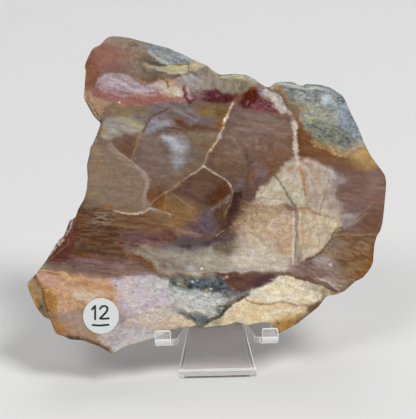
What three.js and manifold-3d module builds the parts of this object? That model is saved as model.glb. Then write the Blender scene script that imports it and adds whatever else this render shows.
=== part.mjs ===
// A slice of petrified wood on a clear easel stand.
//
// Millimetres, +Z up. The origin is on the table, under the middle of the stand's foot. The slice's
// polished face looks towards -Y and leans back.
//
// The slice, its label and the stand are laid out in the plane of the slice's face: u runs to the
// right, v up the face and w out of the face, towards the viewer. One turned group then leans them.

import * as THREE from "three";
import { mergeVertices } from "three/addons/utils/BufferGeometryUtils.js";
import Module from "manifold-3d";

// Driving sizes, in millimetres

const LEAN_BACK = THREE.MathUtils.degToRad(20);
const SLAB_THICKNESS = 9;
const LABEL_DIAMETER = 19;
const LABEL_THICKNESS = 0.3;
const SHEET_THICKNESS = 3;
const CLEARANCE = 0.3;

// Slab edges: how the rim is rounded into the two sawn faces
const FRONT_EDGE_INSET = 0.5;
const FRONT_EDGE_DROP = 0.7;
const BACK_EDGE_INSET = 1.2;
const RIM_LEVELS = [0, 0.5, 0.88];
const RIM_INSETS = [0.25, 0, 0.45];

// Stand: back panel
const PANEL_TOP_V = 32;
const PANEL_TOP_HALF_WIDTH = 25;
const PANEL_HALF_WIDTH = 30;
const PANEL_SHOULDER_V = -56;
const PANEL_CORNER_RADIUS = 14;

// Stand: notches between the arms and the leg
const NOTCH_APEX_V = -61.3;
const NOTCH_APEX_U = 15.3;
const NOTCH_HALF_WIDTH = 0.6;

// Stand: hooks
const LEDGE_TOP_V = -68.5;
const LIP_TOP_V = -63.2;
const LIP_INNER_W = 0.6;
const HOOK_BEND_RADIUS = 1;
const HOOK_HALF_WIDTH = 4.3;
const HOOK_ARM_U = 24.4;
const HOOK_LIP_U = 28.25;
const HOOK_CORNER_RADIUS = 1.2;

// Stand: leg and foot
const LEG_TOP_V = -58;
const LEG_TOP_HALF_WIDTH = 13.9;
const LEG_LOWEST_V = -91.1;
const LEG_BEND_RADIUS = 8;
const LEG_BEND_START_HALF_WIDTH = 19.9;
const LEG_BEND_WIDEST_HALF_WIDTH = 21.3;
const FOOT_FRONT_HALF_WIDTH = 19;
const FOOT_REAR_HALF_WIDTH = 15.4;
const FOOT_LENGTH = 64;
const FOOT_CORNER_RADIUS = 5;

// Round shapes are split into this many steps
const LABEL_STEPS = 48;
const BEND_STEPS = 8;
const CORNER_STEPS = 3;

// Readings from the photograph, in its pixels. The label is a common 19 mm dot, 36 pixels across, and
// gives the scale. The photograph is turned a little, so the readings are turned back by the roll.
const LABEL_DIAMETER_PX = 36;
const PHOTO_MIDDLE_PX = [208, 209.5];
const PHOTO_ROLL = THREE.MathUtils.degToRad(1.35);
const STAND_MIDDLE_U = 2.9;
const LABEL_CENTRE_PX = [101, 316];

const TOP_OUTLINE_PX = [
  [84, 100], [83.3, 97], [84.2, 82], [85.3, 71], [84, 66], [86, 60], [91, 49.5], [94, 46.5],
  [99, 45], [104, 39.5], [106.5, 37], [110, 35.8], [113, 35.4], [120, 35.7], [130, 37.3],
  [150, 42.7], [168, 47.2], [182, 53], [195, 59.8], [207, 64.5], [213, 69.5], [220, 74.2],
  [235, 73.2], [246, 74.2], [254, 78], [260, 82.5], [264, 85], [267.5, 87], [272, 85], [274, 82.5],
  [281, 80.9], [293, 81.5], [301, 85], [304, 85.3], [305.5, 83.2], [320, 84], [331, 87], [342, 94],
  [346.3, 100.5],
];
const RIGHT_OUTLINE_PX = [
  [351, 112], [359, 127.5], [364.5, 142], [371, 155], [380, 167], [385.5, 174.5], [387, 182],
  [386.5, 190], [384.5, 212], [383, 224], [381, 231], [377.5, 236], [375, 245], [374, 257],
  [374, 261.5], [371.5, 268], [366, 275.3], [363, 278.5], [356, 281.7], [350, 287], [345, 291.5],
  [337, 295], [328, 296.3], [326.5, 297.5], [322.5, 303.5], [320, 307.5], [311.5, 314.5],
  [304, 320], [299, 323.2], [293, 327], [285, 331], [279, 333.5], [277.3, 336],
];
const BOTTOM_OUTLINE_PX = [
  [274.5, 331.5], [272.5, 326.5], [268, 322.8], [262, 323.3], [256, 324], [247, 326], [240, 323.5],
  [235, 322.8], [229, 325.5], [220, 326.3], [206, 328], [200, 328.5], [195, 326], [190, 328.3],
  [180, 328.5], [172, 331.5], [164, 336], [157, 338.6], [150, 339.5], [140, 343.2], [127, 346.5],
  [118, 351], [113, 355.3], [108, 353.3], [105, 350.5], [98, 347], [89, 344], [82, 341.3],
  [70, 340.5], [61, 336], [56, 334.7], [52.5, 328], [50, 320.2],
];
const LEFT_OUTLINE_PX = [
  [46, 319.5], [42.5, 318], [36, 311], [31, 302.5], [27.5, 293.5], [25, 285.5], [28, 280.5],
  [37, 271.7], [44, 262.5], [52.5, 248], [57, 240.5], [63, 235], [66.5, 226], [69, 220], [75, 217],
  [78, 208], [83.5, 199], [86, 190], [87, 178], [86.3, 165], [89, 153], [89.7, 146.7], [92, 144.2],
  [95.5, 136], [98.3, 128.5], [100.3, 123.2], [95.5, 119], [91.5, 114], [87.5, 106.5],
];

// Chips, clockwise: the stretch of outline that each takes away, the line on the polished face where
// its break starts, and how far below the face the break meets the rim
const CHIPS = [
  {
    fromPx: [50, 320.2],
    toPx: [37, 271.7],
    facePx: [[50, 320], [46, 310], [45, 303], [45, 297], [41, 289], [35.5, 278], [36.5, 273]],
    drop: 7,
  },
  {
    fromPx: [44, 262.5],
    toPx: [75, 217],
    facePx: [[45, 262], [57, 253], [66, 246], [71, 232], [75, 222], [75.5, 218]],
    drop: 3.5,
  },
  {
    fromPx: [100.3, 123.2],
    toPx: [83.3, 97],
    facePx: [[100.8, 121.5], [96, 113], [93, 107], [89, 101], [85.5, 96]],
    drop: 2,
  },
  {
    fromPx: [113, 355.3],
    toPx: [61, 336],
    facePx: [[112.5, 351], [107, 346.5], [93, 342], [86, 338.5], [78, 337], [72, 337], [62, 335]],
    drop: 2.5,
  },
  {
    fromPx: [326.5, 297.5],
    toPx: [299, 323.2],
    facePx: [[325, 297], [316, 302], [309, 307], [305, 312], [301, 320], [299, 322]],
    drop: 5,
  },
];

// Worked out from the driving sizes

const MM_PER_PX = LABEL_DIAMETER / LABEL_DIAMETER_PX;
const PANEL_FRONT_W = -SLAB_THICKNESS - CLEARANCE;
const LEG_BEND_V = LEG_LOWEST_V + LEG_BEND_RADIUS;
const LEG_BEND_W = PANEL_FRONT_W - LEG_BEND_RADIUS;

const wasm = await Module();
wasm.setup();

/** Turns a photograph reading into a point of the face plane, in millimetres. */
function fromPhoto([x, y]) {
  const across = (x - PHOTO_MIDDLE_PX[0]) * MM_PER_PX;
  const up = (PHOTO_MIDDLE_PX[1] - y) * MM_PER_PX;
  return new THREE.Vector2(
    across * Math.cos(PHOTO_ROLL) + up * Math.sin(PHOTO_ROLL) - STAND_MIDDLE_U,
    up * Math.cos(PHOTO_ROLL) - across * Math.sin(PHOTO_ROLL),
  );
}

/** Makes an indexed geometry from points and triangles, with its faces pointing out. */
function closedGeometry(points, triangles) {
  let volume = 0;
  for (const [a, b, c] of triangles) {
    volume += points[a].dot(new THREE.Vector3().crossVectors(points[b], points[c]));
  }
  const index = triangles.flatMap(([a, b, c]) => (volume > 0 ? [a, b, c] : [a, c, b]));
  const geometry = new THREE.BufferGeometry().setFromPoints(points);
  geometry.setIndex(index);
  geometry.computeVertexNormals();
  return geometry;
}

/** Turns a closed geometry into a solid for joining. */
function toSolid(geometry) {
  const bare = geometry.clone();
  bare.deleteAttribute("normal");
  bare.deleteAttribute("uv");
  const merged = mergeVertices(bare);
  const mesh = new wasm.Mesh({
    numProp: 3,
    vertProperties: new Float32Array(merged.attributes.position.array),
    triVerts: new Uint32Array(merged.index.array),
  });
  return new wasm.Manifold(mesh);
}

/** Turns a joined solid back into a geometry. */
function toGeometry(solid) {
  const mesh = solid.getMesh();
  const geometry = new THREE.BufferGeometry();
  geometry.setAttribute("position", new THREE.BufferAttribute(mesh.vertProperties, 3));
  geometry.setIndex(new THREE.BufferAttribute(mesh.triVerts, 1));
  geometry.computeVertexNormals();
  return geometry;
}

/** Gives the index of the outline point nearest to a place. */
function nearestIndex(outline, place) {
  const distances = outline.map((point) => point.distanceTo(place));
  return distances.indexOf(Math.min(...distances));
}

/** Gives the points that lie at the given fractions of a line's length. */
function alongLine(line, fractions) {
  const path = new THREE.CurvePath();
  for (let i = 1; i < line.length; i += 1) {
    path.add(new THREE.LineCurve(line[i - 1], line[i]));
  }
  return fractions.map((fraction) => path.getPointAt(fraction));
}

/** Moves each point of a clockwise outline towards its inside, by its own amount. */
function insetOutline(outline, amounts) {
  return outline.map((point, i) => {
    const before = outline[(i + outline.length - 1) % outline.length];
    const after = outline[(i + 1) % outline.length];
    const along = after.clone().sub(before).normalize();
    return new THREE.Vector2(point.x + along.y * amounts[i], point.y - along.x * amounts[i]);
  });
}

/** Makes the slice: rings of points from the polished face, round the rim, to the back face. */
function makeSlab() {
  const outline = [
    ...RIGHT_OUTLINE_PX,
    ...BOTTOM_OUTLINE_PX,
    ...LEFT_OUTLINE_PX,
    ...TOP_OUTLINE_PX,
  ].map(fromPhoto);
  const count = outline.length;
  const same = (value) => outline.map(() => value);
  const faceEdge = insetOutline(outline, same(FRONT_EDGE_INSET));
  const drops = same(FRONT_EDGE_DROP);
  for (const chip of CHIPS) {
    const first = nearestIndex(outline, fromPhoto(chip.fromPx));
    const last = nearestIndex(outline, fromPhoto(chip.toPx));
    const stretch = outline.slice(first, last + 1).map((_, i) => i / (last - first));
    alongLine(chip.facePx.map(fromPhoto), stretch).forEach((point, i) => {
      const depth = Math.sin(Math.PI * stretch[i]);
      faceEdge[first + i] = point;
      drops[first + i] = THREE.MathUtils.lerp(FRONT_EDGE_DROP, chip.drop, Math.sqrt(depth));
    });
  }
  const rings = [faceEdge.map((point) => new THREE.Vector3(point.x, point.y, 0))];
  RIM_LEVELS.forEach((level, ringNumber) => {
    const ring = insetOutline(outline, same(RIM_INSETS[ringNumber]));
    rings.push(ring.map((point, i) => {
      const w = -THREE.MathUtils.lerp(drops[i], SLAB_THICKNESS, level);
      return new THREE.Vector3(point.x, point.y, w);
    }));
  });
  const backEdge = insetOutline(outline, same(BACK_EDGE_INSET));
  rings.push(backEdge.map((point) => new THREE.Vector3(point.x, point.y, -SLAB_THICKNESS)));
  const triangles = [];
  for (let ring = 0; ring + 1 < rings.length; ring += 1) {
    for (let i = 0; i < count; i += 1) {
      const next = (i + 1) % count;
      const [a, b] = [ring * count + i, ring * count + next];
      const [c, d] = [a + count, b + count];
      triangles.push([a, b, d], [a, d, c]);
    }
  }
  const backStart = (rings.length - 1) * count;
  for (const [a, b, c] of THREE.ShapeUtils.triangulateShape(faceEdge, [])) {
    triangles.push([a, b, c]);
  }
  for (const [a, b, c] of THREE.ShapeUtils.triangulateShape(backEdge, [])) {
    triangles.push([backStart + a, backStart + c, backStart + b]);
  }
  return closedGeometry(rings.flat(), triangles);
}

/** Makes a bent strip of sheet from stations: a place, the way through the sheet and a half width. */
function bentStrip(stations) {
  const points = [];
  for (const { u, v, w, throughV, throughW, half } of stations) {
    const [farV, farW] = [v + throughV * SHEET_THICKNESS, w + throughW * SHEET_THICKNESS];
    points.push(new THREE.Vector3(u - half, v, w), new THREE.Vector3(u + half, v, w));
    points.push(new THREE.Vector3(u + half, farV, farW), new THREE.Vector3(u - half, farV, farW));
  }
  const triangles = [[0, 1, 2], [0, 2, 3]];
  for (let start = 0; start + 4 < points.length; start += 4) {
    for (let side = 0; side < 4; side += 1) {
      const [a, b] = [start + side, start + ((side + 1) % 4)];
      triangles.push([a, a + 4, b + 4], [a, b + 4, b]);
    }
  }
  const end = points.length - 4;
  triangles.push([end, end + 2, end + 1], [end, end + 3, end + 2]);
  return closedGeometry(points, triangles);
}

/** Gives the steps of a rounded corner: how far along it is, and how much narrower it gets. */
function cornerSteps(radius) {
  return Array.from({ length: CORNER_STEPS + 1 }, (_, i) => {
    const angle = (Math.PI / 2) * (i / CORNER_STEPS);
    return { along: radius * (Math.sin(angle) - 1), narrower: radius * (1 - Math.cos(angle)) };
  });
}

/** Makes the flat back panel with its two arms, as an outline given the sheet's thickness. */
function makePanel() {
  const legTop = [LEG_TOP_HALF_WIDTH, LEG_TOP_V];
  const armInner = HOOK_ARM_U - HOOK_HALF_WIDTH;
  const armOuter = HOOK_ARM_U + HOOK_HALF_WIDTH;
  const armBottom = LEDGE_TOP_V + HOOK_BEND_RADIUS;
  const rightHalf = [
    [NOTCH_APEX_U - NOTCH_HALF_WIDTH, NOTCH_APEX_V - NOTCH_HALF_WIDTH],
    [NOTCH_APEX_U, NOTCH_APEX_V],
    [NOTCH_APEX_U + NOTCH_HALF_WIDTH, NOTCH_APEX_V - NOTCH_HALF_WIDTH],
    [armInner, armBottom],
    [armOuter, armBottom],
    [PANEL_HALF_WIDTH, PANEL_SHOULDER_V],
  ];
  const shape = new THREE.Shape();
  shape.moveTo(-legTop[0], NOTCH_APEX_V - NOTCH_HALF_WIDTH);
  shape.lineTo(legTop[0], NOTCH_APEX_V - NOTCH_HALF_WIDTH);
  rightHalf.forEach(([u, v]) => shape.lineTo(u, v));
  shape.lineTo(PANEL_TOP_HALF_WIDTH, PANEL_TOP_V - PANEL_CORNER_RADIUS);
  const cornerU = PANEL_TOP_HALF_WIDTH - PANEL_CORNER_RADIUS;
  const cornerV = PANEL_TOP_V - PANEL_CORNER_RADIUS;
  shape.absarc(cornerU, cornerV, PANEL_CORNER_RADIUS, 0, Math.PI / 2, false);
  shape.absarc(-cornerU, cornerV, PANEL_CORNER_RADIUS, Math.PI / 2, Math.PI, false);
  rightHalf.reverse().forEach(([u, v]) => shape.lineTo(-u, v));
  const options = { depth: SHEET_THICKNESS, bevelEnabled: false, curveSegments: BEND_STEPS };
  const geometry = new THREE.ExtrudeGeometry(shape, options);
  geometry.translate(0, 0, PANEL_FRONT_W - SHEET_THICKNESS);
  return geometry;
}

/** Makes one hook: down the arm, forward under the slice as a ledge, and up as a lip. */
function makeHook(side) {
  const radius = HOOK_BEND_RADIUS;
  const bendV = LEDGE_TOP_V + radius;
  const path = [{ v: PANEL_SHOULDER_V - 4, w: PANEL_FRONT_W, throughV: 0, throughW: -1 }];
  for (let i = 0; i <= BEND_STEPS; i += 1) {
    const angle = (Math.PI / 2) * (i / BEND_STEPS);
    const [throughV, throughW] = [-Math.sin(angle), -Math.cos(angle)];
    const w = PANEL_FRONT_W + radius + radius * throughW;
    path.push({ v: bendV + radius * throughV, w, throughV, throughW });
  }
  for (let i = 0; i <= BEND_STEPS; i += 1) {
    const angle = (Math.PI / 2) * (i / BEND_STEPS);
    const [throughV, throughW] = [-Math.cos(angle), Math.sin(angle)];
    const w = LIP_INNER_W - radius + radius * throughW;
    path.push({ v: bendV + radius * throughV, w, throughV, throughW });
  }
  const reach = LIP_INNER_W - PANEL_FRONT_W;
  const stations = path.map((place) => {
    const forward = (place.w - PANEL_FRONT_W) / reach;
    const u = side * THREE.MathUtils.lerp(HOOK_ARM_U, HOOK_LIP_U, forward);
    return { ...place, u, half: HOOK_HALF_WIDTH };
  });
  for (const { along, narrower } of cornerSteps(HOOK_CORNER_RADIUS)) {
    const v = LIP_TOP_V + along;
    const half = HOOK_HALF_WIDTH - narrower;
    stations.push({ v, w: LIP_INNER_W, throughV: 0, throughW: 1, u: side * HOOK_LIP_U, half });
  }
  return bentStrip(stations);
}

/** Makes the middle leg, its bend on the table and the foot that runs back under the slice. */
function makeLegAndFoot() {
  const turn = Math.PI / 2 + LEAN_BACK;
  const stations = [
    { u: 0, v: LEG_TOP_V, w: PANEL_FRONT_W, throughV: 0, throughW: -1, half: LEG_TOP_HALF_WIDTH },
  ];
  for (let i = 0; i <= BEND_STEPS; i += 1) {
    const part = i / BEND_STEPS;
    const [outV, outW] = [-Math.sin(turn * part), Math.cos(turn * part)];
    const straight = THREE.MathUtils.lerp(LEG_BEND_START_HALF_WIDTH, FOOT_FRONT_HALF_WIDTH, part);
    const middle = (LEG_BEND_START_HALF_WIDTH + FOOT_FRONT_HALF_WIDTH) / 2;
    const bulge = (LEG_BEND_WIDEST_HALF_WIDTH - middle) * Math.sin(Math.PI * part);
    stations.push({
      u: 0,
      v: LEG_BEND_V + LEG_BEND_RADIUS * outV,
      w: LEG_BEND_W + LEG_BEND_RADIUS * outW,
      throughV: -outV,
      throughW: -outW,
      half: straight + bulge,
    });
  }
  const { v: frontV, w: frontW, throughV, throughW } = stations.at(-1);
  for (const { along, narrower } of cornerSteps(FOOT_CORNER_RADIUS)) {
    const back = FOOT_LENGTH + along;
    stations.push({
      u: 0,
      v: frontV + back * Math.sin(LEAN_BACK),
      w: frontW - back * Math.cos(LEAN_BACK),
      throughV,
      throughW,
      half: FOOT_REAR_HALF_WIDTH - narrower,
    });
  }
  return bentStrip(stations);
}

/** Joins the panel, the hooks, the leg and the foot into the one bent sheet. */
function makeStand() {
  const pieces = [makeHook(-1), makeHook(1), makeLegAndFoot()].map(toSolid);
  const joined = pieces.reduce((whole, piece) => whole.add(piece), toSolid(makePanel()));
  return toGeometry(joined);
}

/** Makes the round label, just in front of the polished face. */
function makeLabel() {
  const radius = LABEL_DIAMETER / 2;
  const geometry = new THREE.CylinderGeometry(radius, radius, LABEL_THICKNESS, LABEL_STEPS);
  const centre = fromPhoto(LABEL_CENTRE_PX);
  geometry.rotateX(Math.PI / 2);
  geometry.translate(centre.x, centre.y, CLEARANCE + LABEL_THICKNESS / 2);
  return geometry;
}

/** Makes one named piece with its own material. */
function piece(name, geometry, look) {
  const mesh = new THREE.Mesh(geometry, new THREE.MeshStandardMaterial(look));
  mesh.name = name;
  return mesh;
}

const leaning = new THREE.Group();
leaning.add(piece("petrified_wood_slab", makeSlab(), { color: 0xa58c7a, roughness: 0.35 }));
leaning.add(piece("acrylic_easel_stand", makeStand(), {
  color: 0xe9eef0,
  roughness: 0.05,
  transparent: true,
  opacity: 0.35,
}));
leaning.add(piece("round_paper_label", makeLabel(), { color: 0xe2e8e7, roughness: 0.7 }));

// The foot's flat underside runs back from below the bend. Its middle becomes the origin.
leaning.rotation.x = Math.PI / 2 - LEAN_BACK;
const bendCentre = new THREE.Vector3(0, LEG_BEND_V, LEG_BEND_W).applyEuler(leaning.rotation);
leaning.position.set(0, -FOOT_LENGTH / 2 - bendCentre.y, LEG_BEND_RADIUS - bendCentre.z);

const group = new THREE.Group();
group.add(leaning);

export default group;
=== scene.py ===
"""A slice of petrified wood on a clear easel stand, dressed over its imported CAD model.

Metres, +Z up, in the CAD's own frame: the origin is on the table, under the middle of the stand's
foot, and the polished face looks towards -Y and leans back. The slice, its label and the stand are
laid out in millimetres in the plane of the face: u runs right, v up the face and w out of it. What
was read from the photograph is kept in its pixels, y down, and FacePlane turns it into that plane.
"""

import logging
import math
from dataclasses import dataclass
from enum import Enum
from typing import ClassVar

import bmesh
import bpy
import numpy as np
from mathutils import Matrix, Vector
from mathutils.geometry import delaunay_2d_cdt


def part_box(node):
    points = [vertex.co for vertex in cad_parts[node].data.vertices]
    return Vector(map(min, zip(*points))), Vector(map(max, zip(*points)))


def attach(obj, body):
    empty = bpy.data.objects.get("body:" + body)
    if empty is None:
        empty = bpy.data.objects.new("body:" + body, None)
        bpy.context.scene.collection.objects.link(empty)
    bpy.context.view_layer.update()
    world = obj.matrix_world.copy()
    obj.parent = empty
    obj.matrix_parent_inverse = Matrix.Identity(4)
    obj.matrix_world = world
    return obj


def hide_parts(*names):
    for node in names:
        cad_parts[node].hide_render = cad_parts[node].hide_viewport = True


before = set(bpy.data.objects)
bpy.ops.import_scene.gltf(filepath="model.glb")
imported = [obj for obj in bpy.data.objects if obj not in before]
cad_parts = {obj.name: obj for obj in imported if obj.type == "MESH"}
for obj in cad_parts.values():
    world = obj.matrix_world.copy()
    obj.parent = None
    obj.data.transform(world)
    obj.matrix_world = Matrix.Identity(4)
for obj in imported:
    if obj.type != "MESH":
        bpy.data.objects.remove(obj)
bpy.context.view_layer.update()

LOG = logging.getLogger("petrified_wood_slice")
MM = 0.001


def linear_colour(tone: tuple[float, ...]) -> np.ndarray:
    """Turns a tone from 0 to 255, as seen on a screen, into linear light.

    Args:
        tone: red, green and blue, from 0 to 255.

    Returns:
        The three linear values, from 0 to 1.
    """
    values = np.asarray(tone, dtype=float) / 255
    return np.where(values <= 0.04045, values / 12.92, ((values + 0.055) / 1.055) ** 2.4)


def ease(values: np.ndarray) -> np.ndarray:
    """Clips values to 0..1 and rounds both ends: 3t squared less 2t cubed.

    Args:
        values: any numbers.

    Returns:
        Numbers from 0 to 1.
    """
    clipped = np.clip(values, 0.0, 1.0)
    return clipped * clipped * (3.0 - 2.0 * clipped)


def ramp(values: np.ndarray, low: float, high: float) -> np.ndarray:
    """Rises smoothly from 0 at low to 1 at high.

    Args:
        values: any numbers.
        low: where the rise starts.
        high: where it ends.

    Returns:
        Numbers from 0 to 1.
    """
    return ease((values - low) / (high - low))


def distance_to_line(points: np.ndarray, line: np.ndarray) -> tuple[np.ndarray, np.ndarray]:
    """Finds how far each point is from a bent line, and where along it the nearest place is.

    Args:
        points: places, one row each.
        line: the line's corners, one row each.

    Returns:
        The distances, and the lengths along the line to the nearest places.
    """
    nearest = np.full(len(points), np.inf)
    place = np.zeros(len(points))
    travelled = 0.0
    for start, end in zip(line[:-1], line[1:]):
        step = end - start
        length = float(np.hypot(*step))
        part = np.clip((points - start) @ step / max(length * length, 1e-9), 0.0, 1.0)
        gap = points - start - part[:, None] * step
        distance = np.hypot(gap[:, 0], gap[:, 1])
        closer = distance < nearest
        nearest = np.where(closer, distance, nearest)
        place = np.where(closer, travelled + part * length, place)
        travelled += length
    return nearest, place


def inside_outline(points: np.ndarray, outline: np.ndarray) -> np.ndarray:
    """Tells which points lie inside a closed outline, by counting the sides that a ray crosses.

    Args:
        points: places, one row each.
        outline: the outline's corners, one row each.

    Returns:
        True for each point inside.
    """
    inside = np.zeros(len(points), dtype=bool)
    for (x0, y0), (x1, y1) in zip(outline, np.roll(outline, -1, axis=0)):
        if y0 == y1:
            continue
        crosses = (y0 > points[:, 1]) != (y1 > points[:, 1])
        inside ^= crosses & (points[:, 0] < x0 + (points[:, 1] - y0) * (x1 - x0) / (y1 - y0))
    return inside


def depth_in_outline(points: np.ndarray, outline: np.ndarray) -> np.ndarray:
    """Gives each point's distance to a closed outline, positive inside and negative outside.

    Args:
        points: places, one row each.
        outline: the outline's corners, one row each.

    Returns:
        The signed distances.
    """
    distance, _ = distance_to_line(points, np.vstack([outline, outline[:1]]))
    return np.where(inside_outline(points, outline), distance, -distance)


class SmoothNoise:
    """Soft random clouds: a table of random numbers, blended smoothly between its cells."""

    CELLS: ClassVar[int] = 256

    def __init__(self, seed: int) -> None:
        """Fills the table from a fixed seed."""
        self.table = np.random.default_rng(seed).random((self.CELLS, self.CELLS)) * 2.0 - 1.0

    def layer(self, x: np.ndarray, y: np.ndarray) -> np.ndarray:
        """Blends the four table cells round each place.

        Args:
            x: places across, in cells.
            y: places down, in cells.

        Returns:
            Values from -1 to 1.
        """
        x_cell, y_cell = np.floor(x).astype(int), np.floor(y).astype(int)
        x_part, y_part = ease(x - x_cell), ease(y - y_cell)
        x_low, y_low = x_cell % self.CELLS, y_cell % self.CELLS
        x_high, y_high = (x_low + 1) % self.CELLS, (y_low + 1) % self.CELLS
        low = self.table[x_low, y_low] * (1 - x_part) + self.table[x_high, y_low] * x_part
        high = self.table[x_low, y_high] * (1 - x_part) + self.table[x_high, y_high] * x_part
        return low * (1 - y_part) + high * y_part

    def cloud(self, points: np.ndarray, size: float, octaves: int = 3, stretch: float = 1.0,
              angle: float = 0.0, shift: float = 0.0) -> np.ndarray:
        """Adds up layers, each half as coarse and 0.6 times as strong as the one before.

        Args:
            points: places, one row each.
            size: the coarsest layer's cell.
            octaves: how many layers.
            stretch: how much longer the cells are along than across.
            angle: the way that they run, counter-clockwise in the photograph, in degrees.
            shift: moves the sample to another part of the table.

        Returns:
            Values from about -1 to 1.
        """
        turn = math.radians(-angle)
        along = (points[:, 0] * math.cos(turn) + points[:, 1] * math.sin(turn)) / (size * stretch)
        across = (points[:, 1] * math.cos(turn) - points[:, 0] * math.sin(turn)) / size
        total = np.zeros(len(points))
        weight, reach = 1.0, 0.0
        for octave in range(octaves):
            scale, offset = 2.03 ** octave, shift + 17.3 * octave
            total += weight * self.layer(along * scale + offset, across * scale + 1.7 * offset)
            reach += weight
            weight *= 0.6
        return total / reach * 1.6


class Grain(Enum):
    """The fine grain of a part of the stone: kept wood fibres, or quartz crystals."""

    FIBROUS = 0.0
    GRANULAR = 1.0


class Canvas:
    """The colours of the stone's points, painted in layers in the photograph's pixels.

    GROUND is the tone below all layers. FIBRE_ANGLE is the way that the fibres run, in degrees, and
    FIBRE_SLIP how far they drag an edge along, in pixels. PIVOT, DEPTH and WARMTH say how the
    finished tones are deepened, and GRAIN how strong the fine grain is.
    """

    GROUND: ClassVar[tuple[int, int, int]] = (128, 104, 88)
    FIBRE_ANGLE: ClassVar[float] = -7.0
    FIBRE_SLIP: ClassVar[float] = 2.2
    PIVOT: ClassVar[float] = 0.3
    DEPTH: ClassVar[float] = 0.09
    WARMTH: ClassVar[float] = 1.07
    GRAIN: ClassVar[float] = 0.11

    def __init__(self, points: np.ndarray, seed: int = 7) -> None:
        """Lays the ground tone, and works out the small wander that every edge follows."""
        self.points = points
        self.noise = SmoothNoise(seed)
        self.colour = np.tile(linear_colour(self.GROUND), (len(points), 1))
        wander = []
        for shift in (0.0, 40.0):
            wide = self.noise.cloud(points, 9.0, 1, shift=shift) * 1.3
            fine = self.noise.cloud(points, 2.6, 2, shift=shift + 11) * 0.8
            wander.append(wide + fine)
        self.bend = np.stack(wander, axis=-1)
        turn = math.radians(-self.FIBRE_ANGLE)
        slip = self.noise.cloud(points, 1.3, 3, 7.0, self.FIBRE_ANGLE, 63) * self.FIBRE_SLIP
        self.fibre = slip[:, None] * np.array([math.cos(turn), math.sin(turn)])
        self.granular = np.zeros(len(points))

    def near(self, places: np.ndarray, margin: float) -> np.ndarray:
        """Tells which points lie within a margin of the box round some places.

        Args:
            places: the places, one row each.
            margin: the margin, in pixels.

        Returns:
            The indices of the points.
        """
        low, high = places.min(axis=0) - margin, places.max(axis=0) + margin
        return np.flatnonzero(np.all((self.points > low) & (self.points < high), axis=1))

    def blend(self, where: np.ndarray, colour: np.ndarray, cover: np.ndarray) -> None:
        """Lays a colour over some points.

        Args:
            where: the indices of the points.
            colour: one linear colour, or one for each point.
            cover: how much of it covers each point, from 0 to 1.
        """
        self.colour[where] += (colour - self.colour[where]) * cover[:, None]

    def add_grain(self) -> None:
        """Gives the finished pattern its fine grain: wood fibres, or crystals where it is granular.

        Dark tones are first made deeper and light ones lighter, by a power of their ratio to a middle
        grey. The light of each point is then multiplied by 1 plus its clouds, which are long and thin
        for fibres and round for crystals, and a wide cloud makes it a little warmer or cooler.
        """
        noise, points, crystal = self.noise, self.points, self.granular
        fibres = noise.cloud(points, 1.0, 2, 9.0, self.FIBRE_ANGLE, 71)
        fibres += 0.7 * noise.cloud(points, 2.2, 2, 7.0, self.FIBRE_ANGLE + 4, 77)
        crystals = noise.cloud(points, 1.5, 2, shift=83) + 0.6 * noise.cloud(points, 3.4, 2, shift=87)
        light = 1 + self.GRAIN * (fibres * (1 - crystal) * 0.85 + crystals * crystal * 1.1)
        warmth = 0.05 * noise.cloud(points, 6.0, 3, 1.6, self.FIBRE_ANGLE, 91)
        tint = np.stack([1 + warmth, np.ones(len(points)), 1 - 1.4 * warmth], axis=-1)
        bright = self.colour @ np.array([0.21, 0.72, 0.07])
        deep = self.PIVOT * (self.colour / self.PIVOT) ** self.WARMTH
        deep *= (bright / self.PIVOT)[:, None] ** self.DEPTH
        self.colour = (deep * light[:, None] * tint).clip(0, 0.95)


@dataclass(frozen=True)
class Zone:
    """An area of the pattern: two tones mottled into each other inside an outline.

    edge is the half width of its soft border in pixels, and above CRISP_EDGE it is spread further by
    SOFT_SPREAD. size, stretch and angle are those of its mottle, wobble says how much its border
    wanders, and REACH is the margin kept for that.
    """

    first: tuple[int, ...]
    second: tuple[int, ...]
    outline: tuple[float, ...]
    edge: float = 1.0
    size: float = 3.0
    stretch: float = 1.0
    angle: float = 0.0
    contrast: float = 1.0
    strength: float = 1.0
    wobble: float = 1.0

    CRISP_EDGE: ClassVar[float] = 1.3
    SOFT_SPREAD: ClassVar[float] = 1.7
    REACH: ClassVar[float] = 6.0

    def paint(self, canvas: Canvas, grain: Grain) -> None:
        """Covers the points inside the outline, with a soft wandering edge.

        The outline's first place picks the part of the noise that mottles the zone.

        Args:
            canvas: the colours to paint.
            grain: the fine grain of the stone there.
        """
        outline = np.array(self.outline, dtype=float).reshape(-1, 2)
        near = canvas.near(outline, self.edge * self.SOFT_SPREAD + self.REACH)
        points = canvas.points[near]
        soft = self.edge * (1.0 if self.edge < self.CRISP_EDGE else self.SOFT_SPREAD)
        bent = points + canvas.bend[near] * self.wobble + canvas.fibre[near] * min(1.0, 0.2 * soft)
        cover = ease(0.5 + depth_in_outline(bent, outline) / max(soft, 0.4) * 0.5) * self.strength
        cloud = canvas.noise.cloud(points, self.size, 4, self.stretch, self.angle, self.outline[0] * 5.31)
        mix = ease(0.5 + 0.9 * self.contrast * cloud)[:, None]
        first, second = linear_colour(self.first), linear_colour(self.second)
        canvas.blend(near, first + (second - first) * mix, cover)
        canvas.granular[near] += (grain.value - canvas.granular[near]) * cover


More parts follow.
